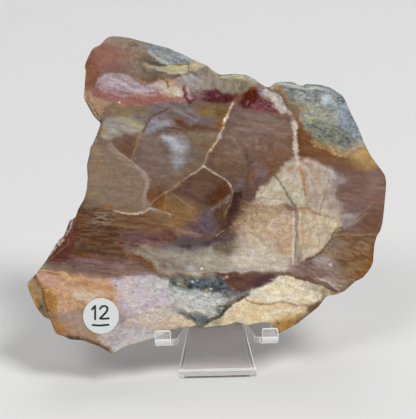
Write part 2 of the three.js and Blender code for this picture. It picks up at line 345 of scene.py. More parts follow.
@dataclass(frozen=True)
class Patch:
    """A soft oval spot of one tone."""

    tone: tuple[int, ...]
    middle: tuple[float, float]
    half_sizes: tuple[float, float]
    angle: float = 0.0
    soft: float = 0.6
    strength: float = 1.0

    def paint(self, canvas: Canvas, grain: Grain) -> None:
        """Covers the points inside the oval; its radius is 1 at the half sizes.

        Args:
            canvas: the colours to paint.
            grain: the fine grain of the stone there, which an oval leaves as it is.
        """
        middle = np.array(self.middle, dtype=float)
        near = canvas.near(middle[None], max(self.half_sizes) * 1.6 + 2)
        small = min(1.0, max(self.half_sizes) / 5)
        wander = canvas.bend[near] * 0.9 + canvas.fibre[near] * 0.5
        away = canvas.points[near] + wander * small - middle
        turn = math.radians(-self.angle)
        along = (away[:, 0] * math.cos(turn) + away[:, 1] * math.sin(turn)) / self.half_sizes[0]
        across = (away[:, 1] * math.cos(turn) - away[:, 0] * math.sin(turn)) / self.half_sizes[1]
        cover = ease((1.25 - np.hypot(along, across)) / (0.2 + self.soft))
        canvas.blend(near, linear_colour(self.tone), cover * self.strength)


@dataclass(frozen=True)
class Vein:
    """A thin line of one tone, such as a healed crack, that may be beaded along its length."""

    tone: tuple[int, ...]
    line: tuple[float, ...]
    width: float = 1.2
    soft: float = 0.5
    strength: float = 1.0
    beads: float = 0.0

    def paint(self, canvas: Canvas, grain: Grain) -> None:
        """Covers the points near the line, whose width and cover vary along it and from grain to grain.

        The line's first place picks the part of the noise that makes its lumps.

        Args:
            canvas: the colours to paint.
            grain: the fine grain of the stone there, which a vein leaves as it is.
        """
        line = np.array(self.line, dtype=float).reshape(-1, 2)
        soft = self.soft + 0.35
        near = canvas.near(line, self.width + soft + 2)
        points = canvas.points[near] + canvas.bend[near] * 0.45
        distance, place = distance_to_line(points, line)
        own = self.line[0]
        lumps = canvas.noise.layer(place / 2.2 + own * 3.7, np.full(len(place), own * 1.3))
        ragged = canvas.noise.cloud(points, 1.1, 2, shift=own * 2.9)
        beads = max(self.beads, 0.25)
        half = self.width / 2 * (0.86 + beads * lumps + (0.06 + 0.5 * beads) * ragged)
        cover = ease(0.5 + (half - distance) / soft) * self.strength * 0.92
        breaks = 0.5 + 0.5 * canvas.noise.layer(place / 1.3 + 50, distance + own)
        cover *= 1 - max(self.beads, 0.35) * 0.5 * breaks
        canvas.blend(near, linear_colour(self.tone), cover)


@dataclass(frozen=True)
class Region:
    """A named part of the pattern with its layers, in the order in which they are painted."""

    name: str
    grain: Grain
    layers: tuple[Zone | Patch | Vein, ...]


# The pattern of the polished face, read from the photograph. Every tone is 0 to 255 and every
# place is a pixel of the photograph: a zone's tones, outline and edge softness, a patch's tone,
# middle and half sizes, and a vein's tone, line and width.
PATTERN: tuple[Region, ...] = (
    Region("Right: brown ground, mauve margin, gold corner", Grain.FIBROUS, (
        Zone((124, 98, 86), (112, 84, 70), (296, 124, 312, 130, 330, 140, 345, 145, 362, 142, 372, 152,
            390, 172, 390, 200, 386, 230, 378, 240, 340, 232, 334, 200, 336, 180, 325, 172, 300, 164), 3,
            size=7, stretch=3, angle=5),
        Zone((132, 108, 100), (116, 92, 82), (336, 172, 350, 164, 372, 166, 392, 172, 392, 205, 388,
            232, 378, 238, 356, 236, 338, 230, 330, 215, 333, 192), 3.5, size=5, stretch=5, angle=4,
            contrast=1.1),
        Zone((150, 122, 112), (128, 104, 98), (362, 170, 378, 168, 390, 176, 388, 205, 384, 225, 370,
            222, 366, 200), 6, stretch=5, angle=-6, strength=0.6),
        Zone((126, 84, 52), (104, 68, 44), (294, 128, 300, 124, 304, 130, 312, 134, 316, 142, 322, 148,
            330, 152, 338, 158, 334, 161, 322, 160, 310, 159, 301, 158, 297, 150), 2, size=5, stretch=2,
            angle=-15),
        Zone((178, 144, 88), (150, 118, 74), (350, 152, 358, 148, 364, 145, 370, 152, 378, 163, 374,
            168, 364, 170, 354, 167, 348, 160), 3, size=4, stretch=3, angle=35),
        Patch((206, 176, 110), (362, 154.5), (8, 2.6), 28, soft=0.9, strength=0.7),
    )),
    Region("Green-grey foot of the upper right zone and its yellow fringe", Grain.GRANULAR, (
        Vein((198, 172, 112), (311, 141, 316, 143.5, 322, 144.5, 327, 146.5, 332, 149.5, 336, 152, 340,
            156), 2.6, soft=1.2, strength=0.9, beads=0.6),
        Vein((176, 138, 80), (318, 147, 325, 149, 331, 152, 338, 157), 2, soft=1.2, strength=0.7,
            beads=0.5),
        Vein((196, 184, 140), (333, 148, 336, 151.5, 341, 155, 347, 156), 1.8, soft=0.9, strength=0.75,
            beads=0.5),
        Patch((190, 180, 148), (303, 117), (6, 4), 10, soft=0.9, strength=0.7),
        Patch((178, 132, 56), (301, 122.5), (3.4, 2), 20, soft=0.8, strength=0.8),
    )),
    Region("Pale halo and cream block", Grain.GRANULAR, (
        Zone((164, 150, 144), (146, 130, 122), (300, 161, 308, 159, 316, 160, 326, 165, 334, 171, 345,
            173, 346, 180, 338, 186, 334, 196, 334, 210, 320, 180), 2, size=5, contrast=0.8, strength=0.9),
        Zone((184, 166, 148), (166, 146, 126), (298, 163, 306, 162, 318, 165, 328, 172, 334, 180, 334,
            200, 334, 216, 339, 229, 332, 238, 326, 246, 320, 252, 310, 258, 302, 262, 294, 264, 293, 250,
            294, 230, 296, 210, 290, 196, 286, 180, 292, 168), 1.4, size=4, stretch=2, angle=85,
            contrast=1.1),
        Zone((160, 152, 150), (144, 132, 128), (326, 166, 334, 176, 344, 174, 346, 180, 337, 186, 334,
            200, 334, 214, 328, 214, 326, 190), 1.6, size=4, stretch=2, angle=85, strength=0.85),
    )),
    Region("Upper middle: taupe ground right of the white vein", Grain.FIBROUS, (
        Zone((124, 104, 94), (110, 90, 80), (226, 110, 240, 104, 252, 108, 268, 114, 284, 113, 292, 118,
            294, 132, 297, 145, 294, 156, 298, 162, 286, 164, 276, 172, 266, 184, 256, 192, 256, 204, 240,
            214, 233, 200, 232, 188, 220, 176, 203, 166, 208, 152, 222, 134), 1.6, size=9, stretch=1.6,
            angle=60),
        Zone((134, 102, 78), (116, 86, 66), (270, 133, 284, 134, 294, 138, 296, 148, 292, 156, 280, 157,
            272, 152, 268, 142), 3, size=4, stretch=3, angle=-5, strength=0.9),
        Zone((140, 120, 104), (122, 102, 88), (262, 112, 276, 116, 288, 118, 292, 126, 292, 134, 280,
            131, 266, 128, 256, 124), 3, stretch=4, angle=-8, strength=0.8),
        Vein((166, 142, 124), (264, 126.5, 270, 129, 278, 131.5, 286, 134, 292, 136), 1.8, soft=1,
            strength=0.75),
        Vein((108, 74, 48), (272, 131, 280, 133.5, 286, 135.2, 291, 136.8), soft=0.8, strength=0.7),
        Patch((138, 86, 54), (284.5, 115.5), (4, 2.2), -35, soft=0.9, strength=0.8),
        Zone((116, 88, 66), (102, 76, 60), (214, 140, 224, 142, 232, 150, 240, 160, 244, 172, 244, 186,
            236, 190, 228, 182, 214, 173, 206, 167, 210, 156), 3, size=5, stretch=2, angle=60,
            strength=0.75),
        Patch((140, 122, 112), (219, 158), (5, 2), 45, soft=0.9, strength=0.6),
        Patch((152, 142, 140), (248, 136.5), (6.5, 2.8), -4, soft=0.9, strength=0.8),
        Vein((164, 154, 150), (234, 140, 236, 143.5, 238.5, 147, 241, 150), 3.4, soft=1.6,
            strength=0.75),
        Patch((150, 138, 134), (248, 145), (2.6, 2.6), soft=0.9, strength=0.65),
        Patch((150, 140, 138), (258.5, 148.5), (3.6, 4), soft=0.8, strength=0.75),
        Patch((128, 112, 76), (243, 153), (2.6, 6), -20, soft=0.9, strength=0.6),
        Vein((84, 62, 54), (247.3, 154, 247.8, 164, 247.6, 174, 247, 184, 246.6, 196), 1.8, soft=1.1,
            strength=0.75),
        Zone((110, 84, 72), (94, 70, 60), (247, 156, 252, 158, 256, 168, 258, 180, 256, 194, 247, 200,
            243, 190, 246, 170), 2.4, size=4, strength=0.8),
        Patch((132, 122, 128), (254, 164), (3.4, 4.6), soft=0.85, strength=0.8),
        Patch((116, 96, 102), (260, 179), (5, 8), soft=0.9, strength=0.75),
        Patch((138, 92, 46), (253, 170.5), (1.6, 2.2), soft=0.8, strength=0.8),
        Patch((140, 92, 48), (251.5, 176.5), (1.6, 1.6), soft=0.8, strength=0.7),
        Patch((146, 108, 84), (253, 184), (1.6, 6), 6, soft=0.9, strength=0.6),
        Patch((146, 100, 72), (267.5, 180), (3, 1.6), 25, soft=0.85, strength=0.7),
        Patch((110, 108, 118), (239.5, 184.5), (4.4, 4.4), soft=0.85, strength=0.85),
        Patch((84, 60, 52), (266, 172), (7, 4), soft=0.9, strength=0.6),
    )),
    Region("Between the vein and the left part", Grain.FIBROUS, (
        Zone((134, 112, 80), (118, 92, 60), (196, 108, 210, 104, 226, 104, 230, 108, 225, 118, 221, 130,
            212, 120, 200, 117, 192, 114), 2, size=4, stretch=2),
        Patch((142, 120, 66), (203, 112.5), (9, 2.6), -2, soft=0.9, strength=0.7),
        Patch((112, 82, 48), (221, 115), (4, 5), -30, soft=0.9, strength=0.6),
        Zone((118, 106, 108), (126, 104, 96), (186, 112, 200, 116, 214, 118, 216, 124, 208, 128, 196,
            124, 184, 120), 1.6, stretch=3, angle=-15, strength=0.9),
        Patch((136, 88, 38), (217.5, 125), (4.4, 3.6), -20, soft=0.85, strength=0.85),
        Zone((112, 78, 60), (100, 68, 52), (172, 118, 184, 121, 196, 126, 210, 129, 219, 130, 216, 133,
            200, 133, 186, 130, 174, 124), 1.4, stretch=4, angle=-12),
        Patch((142, 92, 60), (179, 120), (5, 2), -20, soft=0.85, strength=0.75),
        Zone((140, 122, 102), (124, 108, 90), (184, 130, 200, 131, 216, 132, 219, 136, 214, 142, 206,
            144, 196, 142, 188, 138), 2, size=4, stretch=2, angle=-6, strength=0.9),
        Patch((124, 90, 54), (203, 145.5), (8, 3), -4, soft=0.9, strength=0.75),
        Zone((128, 112, 96), (112, 96, 82), (188, 150, 198, 148, 207, 150, 205, 158, 200, 166, 190, 173,
            180, 180, 178, 168, 184, 158), 3, size=4, strength=0.8),
        Patch((142, 134, 116), (197, 152.5), (4, 2), -20, soft=0.9, strength=0.6),
    )),
    Region("Middle left: grey-lilac field with streaks", Grain.FIBROUS, (
        Zone((136, 124, 124), (118, 104, 102), (150, 102, 168, 101, 184, 101, 190, 105, 196, 112, 200,
            120, 190, 124, 176, 118, 164, 118, 150, 118, 146, 110), 2, size=3.4, stretch=3.5, angle=-24,
            contrast=1.1),
        Vein((154, 138, 128), (166, 104, 172, 107, 178, 111, 186, 116, 196, 120), 1.6, soft=1,
            strength=0.6),
        Vein((150, 142, 146), (180, 112, 188, 117, 196, 121), 1.8, soft=1, strength=0.6),
        Vein((126, 100, 84), (172, 102.5, 175, 106, 178, 109), 1.6, soft=0.9, strength=0.6),
        Patch((146, 128, 74), (180, 109.5), (3, 2), -25, soft=0.9, strength=0.6),
        Patch((122, 96, 66), (171, 113), (4, 2.6), -30, soft=0.9, strength=0.6),
        Zone((126, 112, 104), (110, 96, 92), (126, 110, 140, 108, 152, 108, 158, 112, 150, 118, 146,
            124, 138, 120, 130, 117), 2.4, size=4, stretch=2),
        Zone((140, 126, 82), (124, 104, 68), (112, 104, 122, 106, 134, 107.5, 146, 108, 146, 111, 134,
            112, 126, 116, 118, 116, 112, 110), 2, stretch=3, angle=-20, strength=0.85),
        Zone((128, 112, 88), (112, 92, 74), (101, 122, 103, 112, 106, 107, 112, 104, 120, 108, 118, 116,
            110, 120, 106, 124), 1.4, stretch=2, angle=30),
        Zone((172, 166, 150), (154, 148, 134), (100, 124, 108, 118, 118, 115, 130, 118, 140, 121, 144,
            127, 143, 132, 136, 134, 126, 134, 121, 138, 112, 140.5, 104, 139, 98, 132), 1.6, stretch=3.5,
            angle=-24, contrast=1.2),
        Vein((168, 156, 98), (118, 116, 126, 118.5, 134, 122, 139, 125), 2, soft=1.2, strength=0.7),
        Patch((166, 134, 62), (103.6, 131), (2.4, 4.4), 20, soft=0.8, strength=0.85),
        Zone((150, 150, 154), (134, 128, 130), (148, 120, 158, 119, 170, 120, 173, 124, 168, 129, 160,
            131, 156, 134.5, 147, 135, 144, 131), 1.8, size=4, contrast=0.8),
        Patch((136, 122, 128), (163, 114), (6, 3.4), 10, soft=0.95, strength=0.6),
        Vein((88, 60, 50), (164, 128.5, 170, 128, 177, 129, 186, 132), 2, soft=1, strength=0.8),
        Vein((104, 76, 62), (156, 132, 162, 131, 170, 132.5, 178, 134), 2.4, soft=1.2, strength=0.8),
        Zone((124, 102, 88), (112, 92, 80), (140, 136, 150, 134, 158, 134, 164, 136, 160, 140, 163, 146,
            168, 152, 168, 164, 174, 170, 174, 180, 186, 178, 172, 188, 160, 196, 148, 186, 150, 180, 146,
            172, 138, 168, 134, 160, 137, 146), 2, size=6, stretch=1.6, angle=30),
        Patch((104, 86, 80), (165, 152), (4, 6), soft=0.95, strength=0.5),
        Patch((102, 68, 42), (162, 147.3), (4, 2.4), -30, soft=0.85, strength=0.8),
        Zone((168, 166, 168), (146, 142, 142), (160, 139, 166, 136, 174, 135, 182, 137, 187, 141, 189,
            147, 188, 153, 183, 152, 178, 151, 170, 149, 164, 145), 2.6, size=4, stretch=2, angle=-10,
            contrast=0.8, strength=0.95),
        Patch((158, 140, 128), (173, 150.5), (6, 1.6), -12, soft=0.9, strength=0.6),
        Zone((154, 156, 160), (136, 130, 128), (168, 155, 176, 152, 186, 154, 189, 158, 184, 165, 178,
            170, 172, 164), 2.6, size=4, contrast=0.8, strength=0.9),
        Patch((126, 120, 116), (192, 158), (4, 8), 5, soft=0.95, strength=0.5),
    )),
    Region("Brown tongue and the pale rimmed lens left of it", Grain.FIBROUS, (
        Zone((122, 88, 66), (108, 78, 60), (110, 141, 120, 138, 126, 134, 136, 135, 138, 142, 136, 150,
            134, 158, 136, 166, 128, 160, 120, 156, 113, 150), 1.2, size=4, stretch=1.6, angle=10),
        Patch((134, 92, 56), (118, 144), (4, 3), soft=0.9, strength=0.6),
        Vein((108, 60, 52), (168, 109, 162, 112, 157, 114, 153, 117, 150, 120, 147, 123, 145, 127, 144,
            130, 142, 132), 2.6, soft=1, strength=0.85, beads=0.2),
        Patch((112, 60, 60), (144.5, 129), (2, 2), soft=0.8, strength=0.7),
        Vein((178, 138, 84), (141, 134.5, 138.5, 137, 137, 140, 136, 145, 134.4, 150), 3, soft=1.4,
            strength=0.8),
        Vein((158, 128, 116), (134.5, 151, 133, 155, 131.5, 159), 2, soft=1, strength=0.7),
        Patch((196, 176, 160), (135, 158.8), (0.9, 1.4), soft=0.7, strength=0.8),
    )),
    Region("Left margin: tan streaks", Grain.FIBROUS, (
        Zone((146, 120, 92), (128, 104, 80), (84, 146, 92, 144, 100, 148, 108, 150, 112, 158, 110, 176,
            108, 190, 100, 200, 84, 202, 84, 180, 84, 160), 3, size=6, stretch=2, angle=85, contrast=0.9),
        Vein((152, 128, 118), (110, 144, 113, 150.5, 120, 155.5, 127, 159.5, 133, 163.5, 136.5, 167,
            138.5, 170, 142, 172.6), 2.6, soft=1.2, strength=0.75),
        Vein((160, 148, 140), (136, 167, 138.5, 170, 142, 172.8, 146, 175, 148, 179, 148, 184, 145.5,
            188, 144, 192, 144, 197, 146, 202), 4.4, soft=2.2, strength=0.7),
        Patch((158, 148, 146), (95.5, 140.5), (3, 2.2), 10, soft=0.8, strength=0.85),
        Vein((120, 96, 78), (94, 137.5, 100, 139, 104, 141, 110, 142), 2, soft=1, strength=0.75),
        Zone((140, 112, 92), (124, 98, 80), (96, 118, 101, 118, 102, 124, 101, 130, 98, 136, 94, 138,
            96, 130, 99, 123)),
        Zone((128, 96, 72), (112, 80, 62), (92, 104, 98, 104, 104, 107, 103, 114, 101, 122, 97, 119, 93,
            112), 1.2, stretch=2, angle=60),
        Vein((92, 58, 52), (113, 102.5, 108, 105, 104.5, 108, 104, 113, 101.5, 119, 100.5, 124), 2.2,
            soft=1, strength=0.75),
    )),
    Region("Grey-tan rim and rose-brown mottle of the upper left lobe", Grain.GRANULAR, (
        Zone((158, 146, 134), (140, 122, 108), (98, 46, 104, 38, 108, 35, 114, 33, 130, 35, 150, 41,
            152, 47, 143, 49, 138, 51, 130, 50, 122, 49, 112, 47, 104, 46), 1.2, stretch=2.5, angle=-12),
        Zone((142, 106, 96), (122, 84, 80), (88, 49, 96, 45, 105, 44.5, 115, 45.5, 125, 48, 132, 50,
            140, 53, 151, 55, 151, 59, 140, 58, 137, 62, 143, 66, 144, 72, 138, 79, 125, 76, 112, 74, 100,
            79, 92, 79, 84, 75, 84, 64, 87, 56), 1.5, size=4, stretch=1.6, angle=-20),
    )),
    Region("Left edge", Grain.FIBROUS, (
        Zone((140, 94, 60), (120, 72, 52), (82, 62, 90, 59, 96, 61, 100, 66, 100, 75, 98, 85, 92, 89,
            82, 91, 82, 80), 1.5, size=4, stretch=2, angle=80),
        Patch((156, 104, 56), (87, 78), (2.2, 10), soft=0.8, strength=0.8),
        Patch((104, 52, 42), (93.5, 82), (6, 4), 20, soft=0.8, strength=0.9),
        Patch((98, 58, 40), (99, 72.5), (2.4, 5), soft=0.8, strength=0.8),
        Patch((96, 62, 42), (91, 60), (3.4, 1.5), soft=0.7, strength=0.9),
        Patch((180, 150, 108), (95.5, 48.5), (4.5, 2.4), 25, soft=0.8, strength=0.9),
        Patch((126, 112, 92), (92, 55), (3, 4), soft=0.9, strength=0.7),
        Zone((170, 140, 104), (150, 116, 84), (82, 87, 90, 88, 94, 93, 92, 98, 86, 98, 82, 96), 1.2),
        Zone((178, 158, 134), (164, 142, 120), (88, 92, 95, 93.5, 101, 98, 110, 101.5, 119, 103, 112,
            104, 104, 108, 101, 116, 97, 112, 92, 103), 1.2, stretch=2, angle=-30),
    )),
    Region("Grey-brown band and its spots", Grain.FIBROUS, (
        Zone((128, 114, 96), (104, 88, 76), (134, 57, 150, 61, 160, 66, 172, 71, 184, 73, 196, 73, 206,
            76, 206, 84, 200, 82, 190, 77, 180, 77, 174, 81, 165, 82, 152, 81, 145, 85, 138, 81, 128, 77,
            116, 74, 110, 72, 125, 68, 140, 66), 1.3, stretch=3, angle=-8),
    )),
    Region("Pale slate zone with its white streaks", Grain.FIBROUS, (
        Zone((158, 168, 174), (122, 130, 138), (143, 39, 160, 43, 180, 51, 196, 58, 190, 62, 178, 63,
            170, 65, 164, 63, 156, 58, 150, 54, 147, 49, 143, 45), size=3.2, stretch=2.4, angle=-28,
            contrast=1.2),
        Zone((134, 144, 156), (116, 126, 140), (150, 44, 160, 46, 172, 50, 178, 53, 170, 54, 160, 53,
            152, 49), 1.2, stretch=2, angle=-24, strength=0.8),
        Vein((178, 190, 196), (160, 47.5, 166, 49.5, 172, 51, 178, 54.5), 2.4, soft=1, strength=0.7),
        Vein((198, 203, 194), (151, 50, 153, 53.5, 156, 56, 159, 59, 164, 61.5, 168, 63), 3.2, soft=1,
            strength=0.9, beads=0.5),
        Vein((190, 196, 190), (170, 55, 176, 56, 184, 58, 190, 60), 3, soft=1.2, strength=0.7),
        Vein((92, 94, 90), (155, 54, 160, 57, 164, 58), soft=0.6, strength=0.8),
        Vein((112, 110, 98), (164, 57.5, 170, 59.5, 177, 60, 184, 60.5), 2.6, soft=1, strength=0.8),
        Vein((168, 164, 140), (169, 55, 173, 57), 3, soft=1, strength=0.7),
        Vein((88, 90, 88), (140, 40.3, 150, 43, 160, 45.6, 168, 47.6), 1.5, soft=0.6, strength=0.7),
        Patch((158, 140, 122), (143, 52), (8, 4.5), -10, soft=0.9, strength=0.8),
        Zone((80, 72, 62), (98, 88, 76), (138, 58.5, 145, 58, 152, 60, 160, 62, 168, 65.3, 162, 66, 154,
            65, 146, 63.5, 138, 61.5), 0.9, stretch=3, angle=-12),
        Zone((190, 182, 152), (168, 158, 130), (142, 62.5, 150, 65, 160, 66, 170, 65.5, 184, 64, 187,
            66, 187, 72.5, 178, 73, 166, 71.5, 156, 71, 148, 68, 142, 66), 0.8, stretch=3, angle=-4),
        Vein((212, 194, 122), (168, 67, 176, 66.5, 184, 66), 2.6, soft=0.9, strength=0.85),
        Zone((184, 172, 148), (166, 154, 130), (188, 62, 196, 59, 204, 62, 213, 67, 219, 74, 212, 75,
            204, 73, 196, 71, 188, 71), 1.2, stretch=2.5, angle=-30),
        Patch((214, 196, 158), (196, 64), (4, 1.6), -15, soft=0.9, strength=0.8),
        Vein((116, 102, 82), (187.3, 62, 187.8, 68, 188, 73), 2.4, soft=1, strength=0.7),
        Patch((40, 28, 20), (144.3, 69.6), (1.8, 2), strength=0.95),
        Patch((176, 134, 96), (145, 65.5), (2.4, 1.6), soft=0.8, strength=0.8),
        Patch((128, 92, 54), (154.6, 69.5), (1.9, 1.7), strength=0.9),
        Patch((136, 98, 40), (142.5, 80.5), (5, 2), -32, strength=0.9),
        Vein((108, 80, 40), (149, 77, 156, 77.3, 164, 77), 1.8, soft=0.7, strength=0.85),
        Patch((66, 48, 38), (129, 44.5), (1.8, 2.6), 20, strength=0.9),
        Vein((98, 72, 56), (129, 46.5, 134, 46.5, 138, 47.5), 1.8, soft=0.6, strength=0.85),
        Patch((214, 212, 196), (125.4, 46), (1.2, 1.3), strength=0.9),
    )),
    Region("Lilac band, rose band and cream between them", Grain.GRANULAR, (
        Zone((186, 172, 180), (164, 146, 152), (99, 79, 104, 75, 112, 73, 120, 74.5, 128, 76, 136, 79,
            140, 83, 146, 85, 158, 81, 164, 84, 160, 91, 150, 92, 140, 92, 130, 91, 118, 89, 106, 90, 98,
            89, 94, 86, 97, 81), size=2.6, stretch=3.5, angle=-22, contrast=1.3, wobble=0.8),
        Vein((206, 192, 190), (107, 83, 113, 87, 120, 89.5, 130, 91.5, 138, 91), 1.8, soft=1,
            strength=0.7),
        Vein((150, 108, 106), (104, 79, 112, 83, 120, 87, 126, 89), 1.5, soft=0.9, strength=0.6),
        Patch((182, 152, 160), (155, 83), (6, 2.4), -5, soft=0.9, strength=0.8),
        Patch((140, 118, 130), (97.5, 85.5), (2.8, 2.2), soft=0.9, strength=0.8),
        Zone((168, 122, 116), (152, 102, 96), (88, 91, 95, 87, 104, 89, 116, 91.5, 126, 94, 140, 93,
            150, 92, 160, 90, 170, 91.5, 178, 95, 185, 98, 185, 102.5, 170, 101.5, 160, 102, 150, 104, 147,
            106.5, 140, 107, 130, 106.5, 120, 104.5, 110, 101.5, 100, 98.5, 92, 95), size=2.8, stretch=3.5,
            angle=-16, contrast=1.2, wobble=0.8),
        Vein((172, 152, 156), (104, 91, 112, 93, 120, 95, 126, 95), 2.6, soft=1.2, strength=0.75),
        Vein((194, 160, 156), (134, 93.5, 140, 93, 148, 95.5, 156, 95), 2.6, soft=1.1, strength=0.75),
        Vein((160, 102, 88), (112, 98, 122, 101.5, 134, 103, 146, 101, 158, 99, 172, 99, 180, 99.5), 4,
            soft=1.6, strength=0.7),
        Vein((138, 84, 80), (96, 93, 104, 96, 112, 99), 1.4, soft=0.8, strength=0.6),
        Vein((202, 168, 158), (162, 92.5, 168, 95, 173, 96.5), 2, soft=1, strength=0.6),
        Patch((236, 204, 186), (119.5, 102), (1.1, 1.4), soft=0.5, strength=0.95),
        Patch((150, 88, 84), (146, 105.3), (2.4, 1.2), soft=0.7, strength=0.8),
        Zone((208, 200, 182), (190, 178, 160), (148, 85, 160, 82.5, 170, 84.5, 177, 88, 183, 92, 186,
            96, 178, 97.5, 173, 95, 168, 90.5, 160, 88.5, 150, 88), 0.9, stretch=2, angle=-25),
        Patch((222, 216, 196), (177.5, 93.5), (3, 2.4), -40, soft=0.8, strength=0.8),
        Zone((196, 172, 146), (180, 152, 128), (157, 79, 164, 80, 172, 78, 178, 80, 179, 86, 174, 88,
            167, 86, 160, 83)),
        Patch((180, 140, 60), (172, 79.5), (4, 1.8), -12, soft=0.8, strength=0.85),
        Patch((204, 168, 112), (161.5, 82.3), (2.6, 1.1), soft=0.7, strength=0.8),
        Patch((120, 72, 40), (166, 77.7), (2.6, 1.9), soft=0.45, strength=0.9),
        Patch((208, 186, 166), (165.4, 78.3), (1, 0.9), strength=0.9),
        Vein((122, 74, 44), (168.6, 80.5, 168.8, 84, 166.5, 87), 1.4, soft=0.6, strength=0.85),
        Zone((174, 158, 154), (154, 136, 136), (174, 79, 182, 76.5, 190, 80, 193, 86, 189, 93, 184, 95,
            179, 90, 175, 86), 1.2, stretch=2, angle=-50),
        Zone((174, 172, 168), (150, 148, 144), (182, 76, 190, 74, 197, 77, 203, 82, 205, 86, 198, 88,
            192, 85, 186, 82), stretch=2, angle=-40),
        Vein((108, 106, 106), (192, 80, 196, 84.5, 202, 87, 208, 88.5), 1.7, soft=0.8, strength=0.75),
        Zone((126, 74, 70), (100, 60, 56), (182, 88, 186, 84, 191, 87, 195, 92, 194, 99, 190, 105, 186,
            101, 182, 95), size=2.4, stretch=2, angle=-60),
        Patch((204, 192, 192), (188.5, 91), (2.1, 7), -10, soft=0.7, strength=0.9),
        Patch((206, 186, 186), (189.6, 97.5), (2.4, 1.8), strength=0.9),
        Patch((156, 84, 78), (191.8, 87.5), (1.3, 1.3), soft=0.7, strength=0.8),
        Patch((196, 190, 188), (195, 90.8), (2.6, 1), soft=0.7, strength=0.7),
        Vein((92, 52, 44), (183, 96, 186.5, 101, 190, 104.5, 192, 101), 1.8, soft=0.8, strength=0.75),
    )),
    Region("Tan-grey top middle", Grain.FIBROUS, (
        Zone((156, 146, 130), (138, 126, 112), (196, 71, 206, 66, 214, 70, 220, 75, 232, 76, 246, 77,
            256, 81, 264, 86, 269, 89, 262, 95, 256, 91, 248, 89, 242, 93, 234, 96, 222, 93, 210, 92, 200,
            89, 202, 86, 204, 82, 198, 76), 1.2, stretch=3, angle=88),
        Vein((196, 186, 144), (210, 68.5, 214, 72, 219, 75.5, 226, 78, 231, 80), 1.8, soft=1,
            strength=0.7),
        Vein((110, 114, 110), (220, 74.6, 228, 74.6, 236, 73.8, 244, 74.4, 252, 78, 257, 81.3), 2,
            soft=0.7, strength=0.85),
        Vein((190, 196, 188), (224, 76.5, 230, 76.2, 238, 75.2, 246, 76.4, 252, 79.5), 1.4, soft=0.6,
            strength=0.8),
        Patch((204, 196, 142), (240, 77.8), (6.5, 1.3), -4, soft=0.9, strength=0.85),
        Patch((178, 178, 138), (252, 81), (4, 2), -30, soft=0.9, strength=0.7),
        Patch((148, 122, 78), (234, 79.3), (3.5, 2), soft=0.9, strength=0.6),
        Patch((150, 118, 96), (226, 83), (4, 4), soft=0.9, strength=0.45),
        Patch((104, 92, 72), (236.5, 88), (1.6, 4), 8, soft=0.9, strength=0.5),
    )),
    Region("Maroon, purple and orange of the upper middle", Grain.FIBROUS, (
        Zone((100, 54, 56), (72, 36, 42), (196, 90, 200, 89, 210, 90.5, 222, 92, 236, 93.5, 237, 98,
            234, 102, 225, 104, 214, 103, 204, 100, 198, 97), 1.3, size=3.4, stretch=2, angle=-8,
            contrast=1.2),
        Patch((150, 108, 106), (199, 89.8), (4, 1.3), -10, soft=0.9, strength=0.7),
        Patch((116, 78, 88), (219, 96.5), (2.5, 2), soft=0.9, strength=0.6),
        Zone((112, 50, 32), (84, 36, 32), (238, 104, 241, 97, 244, 91, 248, 88.5, 256, 89.5, 258, 94.5,
            264, 98, 272, 101.5, 276, 104, 272, 107, 262, 108.5, 250, 108.5, 243, 107), 1.3, size=3.2,
            contrast=1.2),
        Patch((156, 88, 44), (249, 93), (1.6, 5), 3, soft=0.9, strength=0.6),
        Patch((138, 56, 34), (258, 97), (4.5, 1.8), -15, soft=0.9, strength=0.7),
        Patch((132, 124, 104), (246.8, 103.5), (1.1, 2.3), -25, soft=0.7, strength=0.8),
        Patch((150, 100, 60), (237, 97), (3, 5), -15, soft=0.9, strength=0.6),
        Zone((152, 106, 112), (120, 72, 84), (252, 104, 258, 101.5, 264, 100.5, 271, 103, 277, 106.5,
            283, 111.5, 280, 113.5, 268, 113, 258, 111, 252, 108.5), 1.2, size=2.6, contrast=1.2),
        Vein((96, 70, 86), (265, 108, 267, 105.5, 271, 105, 274, 107.5, 273, 110.5, 269, 111), 1.4,
            soft=0.8, strength=0.7),
        Patch((74, 56, 66), (268.6, 110), (2, 1.4), soft=0.8, strength=0.7),
        Vein((200, 150, 104), (263, 98.5, 268, 100, 274, 102), 1.5, soft=0.8, strength=0.75),
        Vein((142, 50, 42), (264, 101, 270, 103, 275, 105), 1.6, soft=0.8, strength=0.7),
        Vein((152, 64, 48), (256, 110.5, 264, 111.3, 274, 113, 282, 114), 1.4, soft=0.9, strength=0.6),
        Zone((176, 162, 158), (138, 124, 122), (257, 91, 262, 90, 267, 92, 272, 96, 271, 99, 264, 97.5,
            259, 94.5), 0.9, size=1.8, contrast=1.3),
        Zone((212, 207, 196), (166, 160, 150), (262, 90.5, 268, 87.5, 275, 92, 281, 98, 285, 105, 287,
            111.5, 282, 112.5, 278, 108.5, 275.5, 102.5, 270, 99, 266, 95), 0.7, size=1.7, contrast=1.3,
            wobble=0.8),
        Zone((114, 101, 80), (92, 82, 66), (269, 87.5, 276, 89, 283, 91, 288, 96, 291, 103, 296, 110,
            293, 113, 289, 112, 285, 104, 281, 97, 274, 91), 0.9, size=2.4),
        Patch((212, 206, 190), (272.5, 87.3), (2.6, 2), -20, strength=0.9),
    )),
    Region("Blue-grey zone of the upper right", Grain.GRANULAR, (
        Zone((166, 170, 162), (122, 126, 122), (273, 85, 278, 80, 292, 79, 304, 83, 308, 81, 322, 82,
            334, 86, 344, 93, 349, 100, 352, 110, 358, 121, 364, 134, 367, 145, 359, 149, 352, 152, 344,
            156, 336, 154, 328, 149, 318, 144, 311, 139, 304, 128, 300, 118, 297, 108, 290, 102, 286, 94,
            280, 89), size=2.6, stretch=2.2, angle=-6, contrast=1.5, wobble=1.2),
